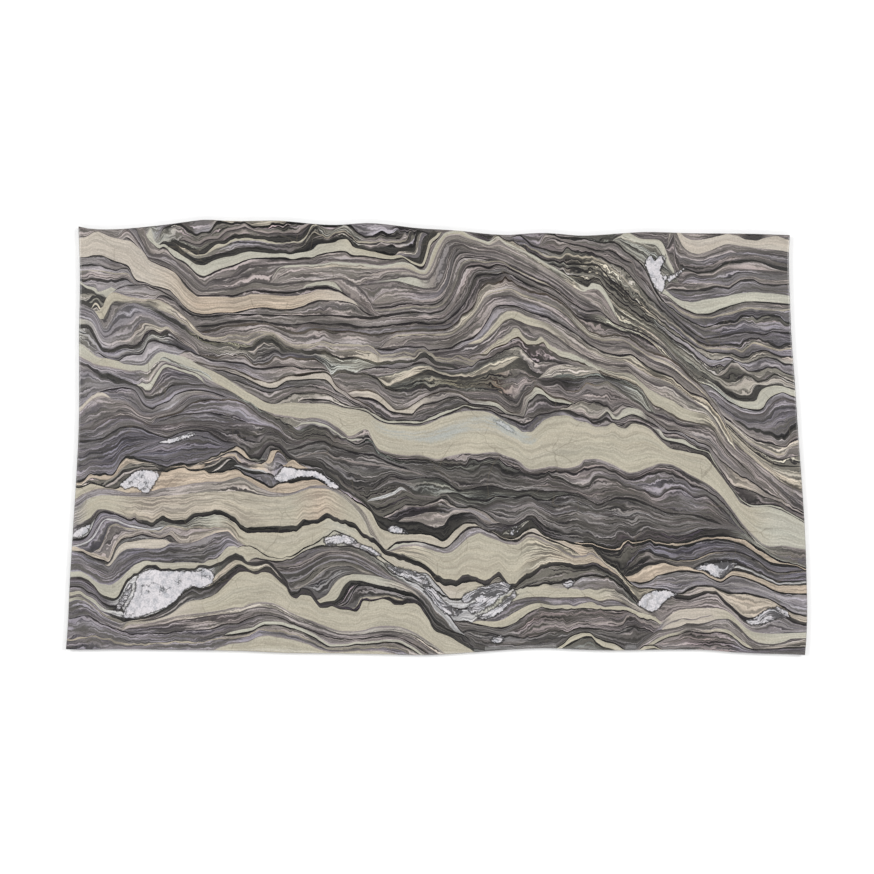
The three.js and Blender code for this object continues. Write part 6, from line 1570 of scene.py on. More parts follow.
# -------------------------------------------------- patches that lie across the bands
# kind: quartz, splinters (quartz with dark slivers in it), or the bluish haze over a cream band
PATCHES = [
    # the crystal in the upper right and the hook beside it
    ("quartz", [(86.2, 71.6), (87, 73.6), (88.8, 75), (89.6, 73), (90.6, 72.8), (92, 74.6), (95, 75),
        (93.6, 72), (91.8, 69.4), (92.4, 67), (94, 65.2), (94.2, 62.4), (93, 60), (91.2, 60.8),
        (89.4, 63.6), (88.4, 66.6), (87, 69)]),
    ("quartz", [(94, 66.8), (95.6, 66), (98, 67), (100.4, 69), (102.8, 70.2), (100.6, 67.8),
        (98.4, 65.6), (96, 64.6), (94, 65.2)]),
    # the lens in the lower left
    ("quartz", [(-129.5, -74), (-125, -74.2), (-121, -73.2), (-116, -71.5), (-111, -69.5),
        (-107.5, -67.4), (-106, -65.2), (-103.6, -62.6), (-100.6, -61), (-97.5, -61.8), (-94.6, -61),
        (-92.2, -59.6), (-91.6, -56.4), (-94.6, -54), (-98, -55.4), (-104, -55.4), (-112, -55.2),
        (-118, -54.5), (-121.6, -55.8), (-123.6, -59), (-123.4, -62.6), (-125, -66.6), (-127.6, -70.4)]),
    ("splinters", [(-133.8, -70.4), (-131.8, -69.8), (-129.8, -66.8), (-128, -63), (-126, -60.2),
        (-125.2, -61.4), (-126.6, -65), (-128.6, -68.4), (-131, -71.4)]),
    # the white mass in the middle of the lower edge
    ("splinters", [(-31, -44.4), (-28, -45), (-25, -46.6), (-22.6, -48.8), (-25, -48.6), (-28, -47),
        (-31, -46)]),
    ("splinters", [(-21, -52), (-17, -53.4), (-13, -54.4), (-9, -55.2), (-5, -57), (-2.6, -60),
        (-5, -60.4), (-8, -58.8), (-12, -57.8), (-16, -56.4), (-19, -54.4)]),
    ("splinters", [(-4, -61.4), (-1, -62.4), (1, -65.4), (4, -68.6), (7, -70.4), (10.4, -71.6),
        (8, -73.4), (4, -72.4), (1, -69.8), (-2, -66.4), (-4.8, -63.4)]),
    ("splinters", [(12, -64.6), (15, -63.4), (19, -61.6), (23, -60.6), (28, -59.6), (31, -61),
        (29, -63.8), (26, -65), (24, -67.6), (21, -69.6), (18, -71.2), (14, -71.8), (12.6, -70),
        (16, -68.4), (18.4, -66.2), (15, -66.8), (12.4, -68), (10.6, -66.6)]),
    ("splinters", [(16, -73.6), (21, -72.6), (25, -70), (29, -66.6), (32.4, -63.4), (34, -63.8),
        (31, -67.4), (28, -70.8), (24, -73.6), (19.6, -75)]),
    # smaller ones
    ("quartz", [(83, -68.6), (86, -65), (90, -63.4), (95, -63.2), (99.4, -64.6), (96, -66), (93.4, -68),
        (91.6, -70.8), (89, -71.8), (86, -70.6)]),
    ("splinters", [(127, -75.4), (131, -74.8), (134, -72.8), (137, -70.8), (141, -70), (144.6, -71.8),
        (145.6, -74), (141, -74.2), (138, -75.6), (134, -76.8), (130, -77)]),
    ("splinters", [(106.6, -54), (109, -52.8), (112, -51.8), (115, -52), (118, -51.3), (121, -51.6),
        (124, -52), (121.6, -54), (119.6, -55.6), (118, -57.8), (115.6, -57.4), (113.4, -56.6),
        (112.4, -54.8), (109, -54.6)]),
    ("quartz", [(-130.6, -19.6), (-127, -17), (-125, -14.8), (-122, -13.6), (-117, -13.8),
        (-112.8, -14.2), (-115, -17), (-116.8, -20), (-118.4, -22.4), (-121, -22.6), (-122.4, -20.6),
        (-125, -20.2), (-128, -21)]),
    ("quartz", [(-67.4, -17.4), (-65, -15), (-62.8, -12.4), (-60, -12.4), (-57.4, -13.4), (-54, -13.9),
        (-50, -13.9), (-46.6, -15.4), (-44.2, -17.6), (-41.6, -19.2), (-39.4, -20.8), (-41, -21.2),
        (-44, -20), (-47, -17.2), (-51, -16), (-57, -16.2), (-61, -17.6), (-64, -18.2)]),
    ("splinters", [(-46.4, -41.6), (-43, -40.9), (-39, -40), (-35, -41.2), (-32.8, -43.2), (-36, -43.8),
        (-38.6, -43), (-42, -44.6), (-45.4, -44.2)]),
    ("quartz", [(-20.6, -37), (-17, -36.6), (-13.4, -38), (-11.4, -39.4), (-15, -39.4), (-18.6, -38.8)]),
    ("quartz", [(-150.6, -41), (-148, -38.4), (-145, -36.8), (-142.4, -35.6), (-143.6, -38.6),
        (-146, -40.8)]),
    ("quartz", [(29.4, -38.6), (31.2, -37.2), (35, -36.2), (33.6, -38.8), (31, -40.2)]),
    ("splinters", [(52.4, -60.2), (55.4, -58.8), (57.6, -58.2), (56.4, -60.6), (54.6, -62)]),
    ("splinters", [(22, -84), (24, -82.2), (27, -81.8), (28.6, -83), (26, -84.8)]),
    ("quartz", [(-114, -2), (-110, -0.9), (-106, 0.2), (-102, 1.2), (-99.6, 1.4), (-102, 0),
        (-106, -1.2), (-110, -2.2)]),
    ("quartz", [(23.6, 7.4), (26, 7.2), (29, 5.2), (31.4, 3.2), (33, 1.4), (30, 3), (26.6, 5)]),
    # the bluish haze in the widest cream band
    ("haze", [(-27, 7), (-20, 4), (-10, 2.4), (-2, 2.6), (8, 6), (16, 8.6), (24, 9), (30, 6), (38, 1),
        (44, -2), (38, -3), (30, 0), (24, 3), (14, 3), (6, -0.4), (-2, -2.2), (-12, -1), (-20, 0.6),
        (-25, 3)]),
]
CHANNEL = {"quartz": 0, "haze": 1, "splinters": 2}


def distance_inside(x, y, corners):
    """Distance to a closed line, positive inside it."""
    corner = np.array(corners, float)
    ahead = np.roll(corner, -1, axis=0)
    nearest = np.full(len(x), 1e9)
    inside = np.zeros(len(x), bool)
    for (ax, ay), (bx, by) in zip(corner, ahead):
        dx, dy = bx - ax, by - ay
        t = np.clip(((x - ax) * dx + (y - ay) * dy) / (dx * dx + dy * dy), 0, 1)
        nearest = np.minimum(nearest, np.hypot(x - ax - t * dx, y - ay - t * dy))
        crosses = (ay > y) != (by > y)
        with np.errstate(divide="ignore", invalid="ignore"):
            inside ^= crosses & (x < ax + (y - ay) * dx / (dy if dy else 1e-9))
    return np.where(inside, nearest, -nearest)


def patch_distances(x, y):
    """How far every point lies inside the nearest patch of each kind, in one channel a kind."""
    result = np.full((len(x), 4), -PATCH_REACH)
    for kind, corners in PATCHES:
        xs = [p[0] for p in corners]
        ys = [p[1] for p in corners]
        near = (x > min(xs) - PATCH_REACH) & (x < max(xs) + PATCH_REACH)
        near &= (y > min(ys) - PATCH_REACH) & (y < max(ys) + PATCH_REACH)
        channel = CHANNEL[kind]
        inside = distance_inside(x[near], y[near], corners)
        result[near, channel] = np.maximum(result[near, channel], inside)
    return result


# -------------------------------------------------- the slab's outline, from the CAD part
def outline_sides(node):
    """The slab's four sides, read from the CAD part's ring just under the polished face, in centimetres."""
    height = THICK / CM - ARRIS / CM
    ring = [(v.co.x, v.co.y) for v in node.data.vertices if abs(v.co.z - height) < 2e-4]
    ring = np.unique(np.round(np.array(ring) * CM, 3), axis=0) + CENTRE
    ring = ring[np.argsort(np.arctan2(ring[:, 1], ring[:, 0]))]
    corner = {}
    for name, sx, sy in (("tl", -1, 1), ("tr", 1, 1), ("bl", -1, -1), ("br", 1, -1)):
        corner[name] = int(np.argmax(ring[:, 0] * sx + ring[:, 1] * sy))
    walk = np.roll(ring, -corner["bl"], axis=0)
    place = {name: (i - corner["bl"]) % len(ring) for name, i in corner.items()}
    bottom = walk[:place["br"] + 1]
    right = walk[place["br"]:place["tr"] + 1]
    top = walk[place["tr"]:place["tl"] + 1][::-1]
    left = np.vstack([walk[place["tl"]:], walk[:1]])[::-1]
    return {"top": top, "bottom": bottom, "left": left, "right": right}


def side_height(side, x):
    """How high the upper or lower side lies at x."""
    return np.interp(x, side[:, 0], side[:, 1])


def side_reach(side, y):
    """How far out the left or right side lies at y."""
    return np.interp(y, side[:, 1], side[:, 0])


# -------------------------------------------------- the polished face, strip by strip
def face_columns(sides, x_even, horizons):
    """Where every horizon crosses every column. Columns lean with the slab's left and right sides."""
    share = np.linspace(0, 1, COLUMNS)
    y = np.array([np.interp(-HALF_SPAN + 2 * HALF_SPAN * share, x_even, row) for row in horizons])
    for _ in range(SETTLE_ROUNDS):
        left = side_reach(sides["left"], y) + ARRIS
        right = side_reach(sides["right"], y) - ARRIS
        x = left + share * (right - left)
        y = np.array([np.interp(x[i], x_even, row) for i, row in enumerate(horizons)])
        low = side_height(sides["bottom"], x) + ARRIS
        high = side_height(sides["top"], x) - ARRIS
        y = np.clip(y, low, high)
        y[0] = high[0]
        y[-1] = low[-1]
    return x, y


def cut_rows(x, y, strips):
    """Cuts thick strips into several rows. Each row keeps its strip and how far down it starts and ends."""
    rows_x = [x[0]]
    rows_y = [y[0]]
    rows = []
    for i in range(len(strips)):
        thickest = float(np.max(y[i] - y[i + 1]))
        if thickest < MERGE:
            continue
        parts = max(1, min(MOST_ROWS, int(math.ceil(thickest / ROW_HEIGHT))))
        for part in range(parts):
            t = (part + 1) / parts
            rows_x.append(x[i] + (x[i + 1] - x[i]) * t)
            rows_y.append(y[i] + (y[i + 1] - y[i]) * t)
            rows.append((i, part / parts, t))
    return np.array(rows_x), np.array(rows_y), rows


def merge_levels(rows_y):
    """Numbers the vertices: a point that almost touches the one above it shares that one's vertex."""
    number = np.zeros(rows_y.shape, int)
    number[0] = np.arange(rows_y.shape[1])
    count = rows_y.shape[1]
    kept = rows_y[0].copy()
    for r in range(1, len(rows_y)):
        far = kept - rows_y[r] >= MERGE
        fresh = int(far.sum())
        number[r] = number[r - 1]
        number[r, far] = count + np.arange(fresh)
        kept[far] = rows_y[r, far]
        count += fresh
    return number, count


def rock_ramp(along, x, rocks):
    """Colour and make of a strip at every x."""
    px = [p[0] for p in along]
    values = np.array([rocks[p[1]] for p in along])
    if len(px) == 1:
        return np.tile(values[0], (len(x), 1))
    return np.stack([np.interp(x, px, values[:, i]) for i in range(values.shape[1])], axis=1)


def face_cells(number, rows, strips, x, bases, spans, tints, makes):
    """The polished face's polygons with their corners' colour, make and place in the strata."""
    loops, sizes, tint, make, strata = [], [], [], [], []
    for r, (strip, t0, t1) in enumerate(rows):
        a, b = number[r, :-1], number[r, 1:]
        d, c = number[r + 1, :-1], number[r + 1, 1:]
        columns = np.arange(len(a))
        s0 = bases[strip] + t0 * spans[strip]
        s1 = bases[strip] + t1 * spans[strip]
        mid = (s0 + s1) / 2
        flat = np.zeros(len(a))
        whole = (a != d) & (b != c)
        left_shut = (a == d) & (b != c)
        right_shut = (a != d) & (b == c)
        for keep, corners in (
                (whole, ((a, 0, s0), (d, 0, s1), (c, 1, s1), (b, 1, s0))),
                (left_shut, ((a, 0, mid), (c, 1, s1), (b, 1, s0))),
                (right_shut, ((a, 0, s0), (d, 0, s1), (c, 1, mid)))):
            if not keep.any():
                continue
            at = columns[keep]
            loops.append(np.stack([v[keep] for v, _, _ in corners], axis=1).ravel())
            sizes.append(np.full(len(at), len(corners)))
            side = np.stack([at + step for _, step, _ in corners], axis=1).ravel()
            depth = np.stack([flat[keep] + s for _, _, s in corners], axis=1).ravel()
            tint.append(tints[strip][side])
            make.append(makes[strip][side])
            band_number = np.full(len(side), float(strips[strip][0]))
            strata.append(np.stack([x[r][side], depth, band_number], axis=1))
    return (np.concatenate(loops), np.concatenate(sizes), np.concatenate(tint),
            np.concatenate(make), np.concatenate(strata))


def rim_of(loops, sizes):
    """The open rim of the face, anticlockwise, as (start corner, end corner) numbers."""
    starts = np.concatenate([[0], np.cumsum(sizes)[:-1]])
    last = starts + sizes - 1
    following = np.arange(len(loops)) + 1
    following[last] = starts
    tail = loops
    head = loops[following]
    big = int(loops.max()) + 1
    code = tail.astype(np.int64) * big + head
    back = head.astype(np.int64) * big + tail
    open_corner = np.nonzero(~np.isin(code, back))[0]
    by_tail = {int(tail[i]): int(i) for i in open_corner}
    order = []
    corner = int(open_corner[0])
    for _ in range(len(open_corner)):
        order.append((corner, int(following[corner])))
        corner = by_tail[int(head[corner])]
    return order


def outward(points):
    """Mitred outward directions along a closed anticlockwise line."""
    ahead = np.roll(points, -1, axis=0) - points
    ahead /= np.maximum(np.linalg.norm(ahead, axis=1, keepdims=True), 1e-9)
    normal = np.stack([ahead[:, 1], -ahead[:, 0]], axis=1)
    before = np.roll(normal, 1, axis=0)
    both = normal + before
    both /= np.maximum(np.linalg.norm(both, axis=1, keepdims=True), 1e-9)
    stretch = 1 / np.maximum((both * normal).sum(1, keepdims=True), 0.6)
    return both * stretch


# -------------------------------------------------- the slab as one closed mesh
def linear(colour):
    """A colour from 0-255 screen values to the renderer's linear values."""
    c = np.asarray(colour, float) / 255
    return np.where(c <= 0.04045, c / 12.92, ((c + 0.055) / 1.055) ** 2.4)


def edge_relief(run, level):
    """How far the rough edge lies inside the outline, at a run along it and a level above the back."""
    if level >= EDGE_HEIGHTS[0]:
        return 0 * run
    down = (EDGE_HEIGHTS[0] - level) / THICK
    chip = 0.5 + 0.5 * lattice_noise(run, 0 * run + level * 1.4, 3.5, 1.0, 31)
    saw = 0.5 + 0.5 * lattice_noise(run, 0 * run + level * 2.2, 0.9, 1.0, 32)
    wide = 0.5 + 0.5 * lattice_noise(run, 0 * run + level * 0.4, 14.0, 1.0, 33)
    return 0.02 + (0.16 * chip + 0.06 * saw + 0.10 * wide) * min(1.0, 0.35 + 1.6 * down)


def rock_values():
    """Linear colour and make of every kind of rock."""
    values = {}
    for name, (colour, stripes, dark, pale, crumple) in ROCKS.items():
        bare = np.maximum(linear(colour) - POLISH_SHEEN, DARKEST) * STONE_DEPTH
        values[name] = np.concatenate([bare, [stripes, dark, pale, crumple]])
    return values


def strip_looks(strips, x, y):
    """Colour and make of every strip along its length, and where it lies in the strata."""
    rocks = rock_values()
    tints, makes, bases, spans = [], [], [], []
    for i, (number, along, kind) in enumerate(strips):
        both = rock_ramp(along, (x[i] + x[i + 1]) / 2, rocks)
        if kind == "line" and both[0, :3].mean() < DARK_BELOW:
            both[:, :3] *= DARK_LINE
        tints.append(both[:, :3])
        makes.append(both[:, 3:] * (LINE_MAKE if kind == "line" else 1.0))
        thick = (y[i] - y[i + 1])[(y[i] - y[i + 1]) > MERGE]
        thickness = np.percentile(thick, 70) if len(thick) else 0.1
        bases.append(number * BAND_SHIFT)
        spans.append(thickness * (1 + 0.8 * float(both[:, 6].mean())))
    return tints, makes, bases, spans


def polished_face(sides):
    """The flat face: its points, its polygons and what their corners carry."""
    x_even = np.linspace(-HALF_SPAN, HALF_SPAN, PLACES)
    high = side_height(sides["top"], x_even) - ARRIS
    low = side_height(sides["bottom"], x_even) + ARRIS
    heights, shares = lay_out(BANDS, x_even, high, low)
    horizons, strips = split_edges(BANDS, x_even, heights, shares)
    x, y = face_columns(sides, x_even, horizons)
    tints, makes, bases, spans = strip_looks(strips, x, y)

    rows_x, rows_y, rows = cut_rows(x, y, strips)
    number, count = merge_levels(rows_y)
    co = np.zeros((count, 3))
    for r in range(len(rows_y))[::-1]:
        co[number[r], 0] = rows_x[r]
        co[number[r], 1] = rows_y[r]
    co[number[-1], 0] = rows_x[-1]
    co[number[-1], 1] = rows_y[-1]
    co[:, 2] = THICK
    loops, sizes, tint, make, strata = face_cells(number, rows, strips, rows_x, bases, spans, tints, makes)
    used, loops = np.unique(loops, return_inverse=True)
    return {"co": co[used], "loops": loops, "sizes": sizes, "tint": tint, "make": make, "strata": strata}


def edge_rings(face, sides, start):
    """Rings of points down the broken edge, from the face's rim to the rim of the back."""
    rim_points = face["co"][face["loops"][start], :2]
    away = outward(rim_points)
    steps = np.linalg.norm(np.roll(rim_points, -1, axis=0) - rim_points, axis=1)
    run = np.concatenate([[0], np.cumsum(steps)[:-1]])
    around = len(start)
    rings = [face["loops"][start]]
    points = [face["co"]]
    total = len(face["co"])
    for level in EDGE_HEIGHTS:
        place = rim_points + away * (ARRIS - edge_relief(run, level))[:, None]
        for axis in (0, 1):
            place[:, axis] = np.clip(place[:, axis], sides["low"][axis] + 0.01, sides["high"][axis] - 0.01)
        points.append(np.column_stack([place, np.full(around, level)]))
        rings.append(total + np.arange(around))
        total += around
    return np.concatenate(points), rings


def slab_mesh(sides):
    """Polished face, broken edge and sawn back. The edge carries on what the face's rim carries; the back
    has a colour and make of its own.
    """
    face = polished_face(sides)
    rim = rim_of(face["loops"], face["sizes"])
    start = np.array([s for s, _ in rim])
    end = np.array([e for _, e in rim])
    around = len(rim)
    co, rings = edge_rings(face, sides, start)

    parts = {key: [face[key]] for key in ("loops", "sizes", "tint", "make", "strata")}
    kind = [np.zeros(len(face["sizes"]), int)]
    pick = np.stack([start, end, end, start], axis=1).ravel()
    for upper, lower in zip(rings[:-1], rings[1:]):
        quad = np.stack([lower, np.roll(lower, -1), np.roll(upper, -1), upper], axis=1)
        parts["loops"].append(quad.ravel())
        parts["sizes"].append(np.full(around, 4))
        for key in ("tint", "make", "strata"):
            parts[key].append(face[key][pick])
        kind.append(np.full(around, 1))
    back = rings[-1]
    parts["loops"].append(back[::-1])
    parts["sizes"].append(np.array([around]))
    parts["tint"].append(np.tile(linear(BACK_COLOUR), (around, 1)))
    parts["make"].append(np.tile(BACK_MAKE, (around, 1)))
    parts["strata"].append(np.column_stack([co[back, 0], co[back, 1], np.zeros(around)])[::-1])
    kind.append(np.array([2]))

    data = {key: np.concatenate(pieces) for key, pieces in parts.items()}
    data["co"] = (co - (CENTRE[0], CENTRE[1], 0)) / CM
    data["kind"] = np.concatenate(kind)
    data["patches"] = patch_distances(face["co"][:, 0], face["co"][:, 1])
    data["around"] = around
    return data


def bake_places(data):
    """Where every corner lies on the baked map: the polished face large, edges and back beside it."""
    co = data["co"][data["loops"]]
    kind = np.repeat(data["kind"], data["sizes"])
    low = data["co"].min(0)
    size = data["co"].max(0) - low
    u = (co[:, 0] - low[0]) / size[0]
    v = (co[:, 1] - low[1]) / size[1]
    place = np.column_stack([MAP_MARGIN + MAP_WIDTH * u, FACE_FROM + FACE_HEIGHT * v])
    back = kind == 2
    place[back] = np.column_stack([MAP_MARGIN + MAP_WIDTH * u, MAP_MARGIN + BACK_HEIGHT * v])[back]
    starts = np.concatenate([[0], np.cumsum(data["sizes"])[:-1]])
    around = data["around"]
    quarter = around // 4 + 1
    levels = len(EDGE_HEIGHTS)
    first = int((data["kind"] == 0).sum())
    for level in range(levels):
        for i in range(around):
            corner = starts[first + level * around + i]
            row, column = divmod(i, quarter)
            u0 = MAP_MARGIN + MAP_WIDTH * column / quarter
            u1 = MAP_MARGIN + MAP_WIDTH * (column + 1) / quarter
            v1 = EDGE_TOP - EDGE_ROW * row - EDGE_HEIGHT * level / levels
            v0 = EDGE_TOP - EDGE_ROW * row - EDGE_HEIGHT * (level + 1) / levels
            place[corner:corner + 4] = ((u0, v0), (u1, v0), (u1, v1), (u0, v1))
    return place


def add_attribute(mesh, name, kind, domain, values):
    """Stores a value for every corner, point or face, for the material to read."""
    key = {"FLOAT_VECTOR": "vector", "FLOAT_COLOR": "color", "FLOAT": "value"}[kind]
    attribute = mesh.attributes.new(name, kind, domain)
    attribute.data.foreach_set(key, values.astype(np.float32).ravel())


def make_slab(node):
    """The slab's object, with its attributes and its places on the baked map."""
    low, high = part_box("slab")
    sides = outline_sides(node)
    sides["low"] = np.array([low.x, low.y]) * CM + CENTRE
    sides["high"] = np.array([high.x, high.y]) * CM + CENTRE
    data = slab_mesh(sides)
    mesh = bpy.data.meshes.new("quartzite_slab")
    mesh.vertices.add(len(data["co"]))
    mesh.vertices.foreach_set("co", data["co"].astype(np.float32).ravel())
    mesh.loops.add(len(data["loops"]))
    mesh.loops.foreach_set("vertex_index", data["loops"].astype(np.int32))
    mesh.polygons.add(len(data["sizes"]))
    starts = np.concatenate([[0], np.cumsum(data["sizes"])[:-1]])
    mesh.polygons.foreach_set("loop_start", starts.astype(np.int32))
    mesh.update(calc_edges=True)
    tint = np.column_stack([data["tint"], np.ones(len(data["tint"]))])
    far = np.full((len(data["co"]), 4), -PATCH_REACH)
    far[:len(data["patches"])] = data["patches"]
    add_attribute(mesh, "tint", "FLOAT_COLOR", "CORNER", tint)
    add_attribute(mesh, "make", "FLOAT_COLOR", "CORNER", data["make"])
    add_attribute(mesh, "strata", "FLOAT_VECTOR", "CORNER", data["strata"])
    add_attribute(mesh, "patches", "FLOAT_COLOR", "POINT", far)
    add_attribute(mesh, "rough_side", "FLOAT", "FACE", np.minimum(data["kind"], 1))
    uv = mesh.uv_layers.new(name="OFBake")
    uv.data.foreach_set("uv", bake_places(data).astype(np.float32).ravel())
    mesh.validate()
    slab = bpy.data.objects.new("quartzite_slab", mesh)
    bpy.context.scene.collection.objects.link(slab)
    return slab


# -------------------------------------------------- node building
class Nodes:
    """Adds nodes to a material and wires them."""

    def __init__(self, name):
        self.material = bpy.data.materials.new(name)
        self.material.use_nodes = True
        self.tree = self.material.node_tree
        self.tree.nodes.clear()

    def add(self, kind, settings=None, inputs=None):
        node = self.tree.nodes.new(kind)
        for key, value in (settings or {}).items():
            setattr(node, key, value)
        for key, value in (inputs or {}).items():
            self.plug(node, key, value)
        return node

    def plug(self, node, key, value):
        socket = node.inputs[key]
        if hasattr(value, "is_output"):
            self.tree.links.new(value, socket)
        else:
            socket.default_value = value

    def math(self, operation, a, b=0.0, c=0.0, clamp=False):
        node = self.add("ShaderNodeMath", {"operation": operation, "use_clamp": clamp}, {0: a, 1: b, 2: c})
        return node.outputs[0]

    def between(self, value, low, high):
        """0 below low, 1 above high, smooth between."""
        node = self.add("ShaderNodeMapRange", {"interpolation_type": "SMOOTHSTEP"},
                        {"Value": value, "From Min": low, "From Max": high})
        return node.outputs["Result"]

    def mix(self, amount, a, b, blend="MIX"):
        node = self.add("ShaderNodeMix", {"data_type": "RGBA", "blend_type": blend, "clamp_factor": True})
        self.plug(node, 0, amount)
        self.plug(node, 6, a)
        self.plug(node, 7, b)
        return node.outputs[2]

    def noise(self, vector, scale=1.0, detail=2.0, roughness=0.5):
        node = self.add("ShaderNodeTexNoise", None, {"Vector": vector, "Scale": scale, "Detail": detail,
                                                     "Roughness": roughness})
        return node.outputs["Fac"]

    def noise_vector(self, vector, scale, detail=2.0):
        node = self.add("ShaderNodeTexNoise", None, {"Vector": vector, "Scale": scale, "Detail": detail})
        return node.outputs["Color"]

    def vector(self, operation, a, b=None, scale=None):
        node = self.add("ShaderNodeVectorMath", {"operation": operation}, {0: a})
        if b is not None:
            self.plug(node, 1, b)
        if scale is not None:
            self.plug(node, "Scale", scale)
        return node.outputs[0]

    def combine(self, x, y, z):
        return self.add("ShaderNodeCombineXYZ", None, {"X": x, "Y": y, "Z": z}).outputs[0]

    def split(self, vector):
        return self.add("ShaderNodeSeparateXYZ", None, {"Vector": vector}).outputs

    def attribute(self, name):
        return self.add("ShaderNodeAttribute", {"attribute_name": name}).outputs


# -------------------------------------------------- the quartzite's node material
STRIPE_DEPTH = 2.9     # how far the stripes swing between light and dark
PALE_SIDE = 0.48       # how much of that swing the pale stripes keep
STRIPE_LIFT = 0.27     # added to the swing, because the dark stripes are the deeper ones
WARM_STRIPES = 0.42    # how far stripes drift between warm and cool
GREEN_STRIPES = 0.22   # and between green and violet
LIGHTNESS = 0.845      # how light the whole stone is
DARK_LINES = (0.016, 0.0145, 0.015, 1)
PALE_LINES = (0.44, 0.41, 0.345, 1)
QUARTZ_RIM = (0.018, 0.017, 0.018, 1)
QUARTZ_GREY = (0.46, 0.46, 0.49, 1)
QUARTZ_WHITE = (0.70, 0.67, 0.69, 1)
FRACTURES = (0.07, 0.072, 0.075, 1)
SLIVERS = (0.055, 0.053, 0.056, 1)
HAZE = (0.43, 0.455, 0.44, 1)
HAIRLINES = (0.13, 0.11, 0.08, 1)
SAWN = (0.25, 0.242, 0.23, 1)


def bedding(n, place, crumple, strata):
    """Place along the bands, depth through them and a number of their own. Crumpled rock wavers more."""
    waver = n.vector("SUBTRACT", n.noise_vector(place, 22.0, 3.0), (0.5, 0.5, 0.5))
    ripple = n.vector("SUBTRACT", n.noise_vector(place, 70.0, 2.0), (0.5, 0.5, 0.5))
    push = n.math("ADD", n.math("MULTIPLY", crumple, 7.0), 0.7)
    waver = n.split(n.vector("SCALE", waver, scale=push))
    ripple_push = n.math("ADD", n.math("MULTIPLY", crumple, 1.6), 0.55)
    ripple = n.split(n.vector("SCALE", ripple, scale=ripple_push))
    along = n.math("ADD", strata[0], n.math("MULTIPLY", waver[0], 2.0))
    depth = n.math("ADD", n.math("ADD", strata[1], waver[1]), ripple[1])
    seed = n.math("MULTIPLY", strata[2], 3.7)
    return along, depth, seed


def stretched(n, beds, along_scale, depth_scale, shift, detail=2.0, roughness=0.5):
    """Noise drawn out along the bands."""
    along, depth, seed = beds
    vector = n.combine(n.math("MULTIPLY", along, along_scale), n.math("MULTIPLY", depth, depth_scale),
                       n.math("ADD", seed, shift))
    return n.noise(vector, 1.0, detail, roughness)


def stripe_set(n, beds, along_scale, depth_scale, shift, low, high):
    """Stripes from -0.5 to 0.5, crisper the closer low and high are."""
    cloud = stretched(n, beds, along_scale, depth_scale, shift, 1.0)
    return n.math("SUBTRACT", n.between(cloud, low, high), 0.5)


def striped(n, tint, stripes, beds):
    """The rock's colour with soft broad stripes, finer ones and crisp ones."""
    broad = stripe_set(n, beds, 0.035, 0.30, 0.0, 0.42, 0.58)
    middle = stripe_set(n, beds, 0.045, 0.75, 9.0, 0.45, 0.55)
    fine = stripe_set(n, beds, 0.07, 1.40, 13.0, 0.45, 0.55)
    swing = n.math("ADD", n.math("MULTIPLY", broad, 0.22), n.math("MULTIPLY", middle, 0.72))
    swing = n.math("ADD", swing, n.math("MULTIPLY", fine, 3.0))
    swing = n.math("MINIMUM", swing, n.math("MULTIPLY", swing, PALE_SIDE))
    swing = n.math("ADD", swing, STRIPE_LIFT)
    light = n.math("POWER", 2.0, n.math("MULTIPLY", n.math("MULTIPLY", swing, stripes), STRIPE_DEPTH))
    return n.vector("SCALE", tint, scale=light)


def with_hues(n, colour, stripes, beds):
    """Some stripes are warmer, some cooler, some greener."""
    drift = n.math("ADD", n.math("MULTIPLY", stripes, 0.85), 0.12)
    warm = n.math("SUBTRACT", stretched(n, beds, 0.03, 0.45, 22.0, 2.0), 0.5)
    warm = n.math("MULTIPLY", n.math("MULTIPLY", warm, drift), WARM_STRIPES)
    green = n.math("SUBTRACT", stretched(n, beds, 0.04, 0.35, 27.0, 2.0), 0.5)
    green = n.math("MULTIPLY", n.math("MULTIPLY", green, drift), GREEN_STRIPES)
    hue = n.combine(n.math("ADD", 1.0, warm), n.math("ADD", 1.0, green), n.math("SUBTRACT", 1.0, warm))
    return n.vector("MULTIPLY", colour, hue)


def bed_lines(n, beds, shift, depth_scale, width):
    """Thin lines that run with the bands, in some places and not in others."""
    place = stretched(n, beds, 0.03, depth_scale, shift, 2.0)
    gate = stretched(n, beds, 0.02, 0.14, shift + 6.0, 1.0)
    away = n.math("ABSOLUTE", n.math("SUBTRACT", place, 0.5))
    line = n.math("SUBTRACT", 1.0, n.between(away, width * 0.4, width * 0.9))
    return n.math("MULTIPLY", line, n.between(gate, 0.36, 0.52))


def with_lines(n, colour, dark_share, pale_share, beds):
    """Thin dark and pale lines that run with the bands."""
    dark = bed_lines(n, beds, 31.0, 0.42, 0.090)
    dark_fine = bed_lines(n, beds, 41.0, 0.90, 0.130)
    dark = n.math("MULTIPLY", n.math("MAXIMUM", dark, dark_fine), dark_share)
    colour = n.mix(n.math("MULTIPLY", dark, 1.1, clamp=True), colour, DARK_LINES)
    pale = bed_lines(n, beds, 53.0, 0.42, 0.070)
    pale_fine = bed_lines(n, beds, 63.0, 0.95, 0.110)
    pale = n.math("MULTIPLY", n.math("MAXIMUM", pale, pale_fine), pale_share)
    return n.mix(n.math("MULTIPLY", pale, 0.9, clamp=True), colour, PALE_LINES)


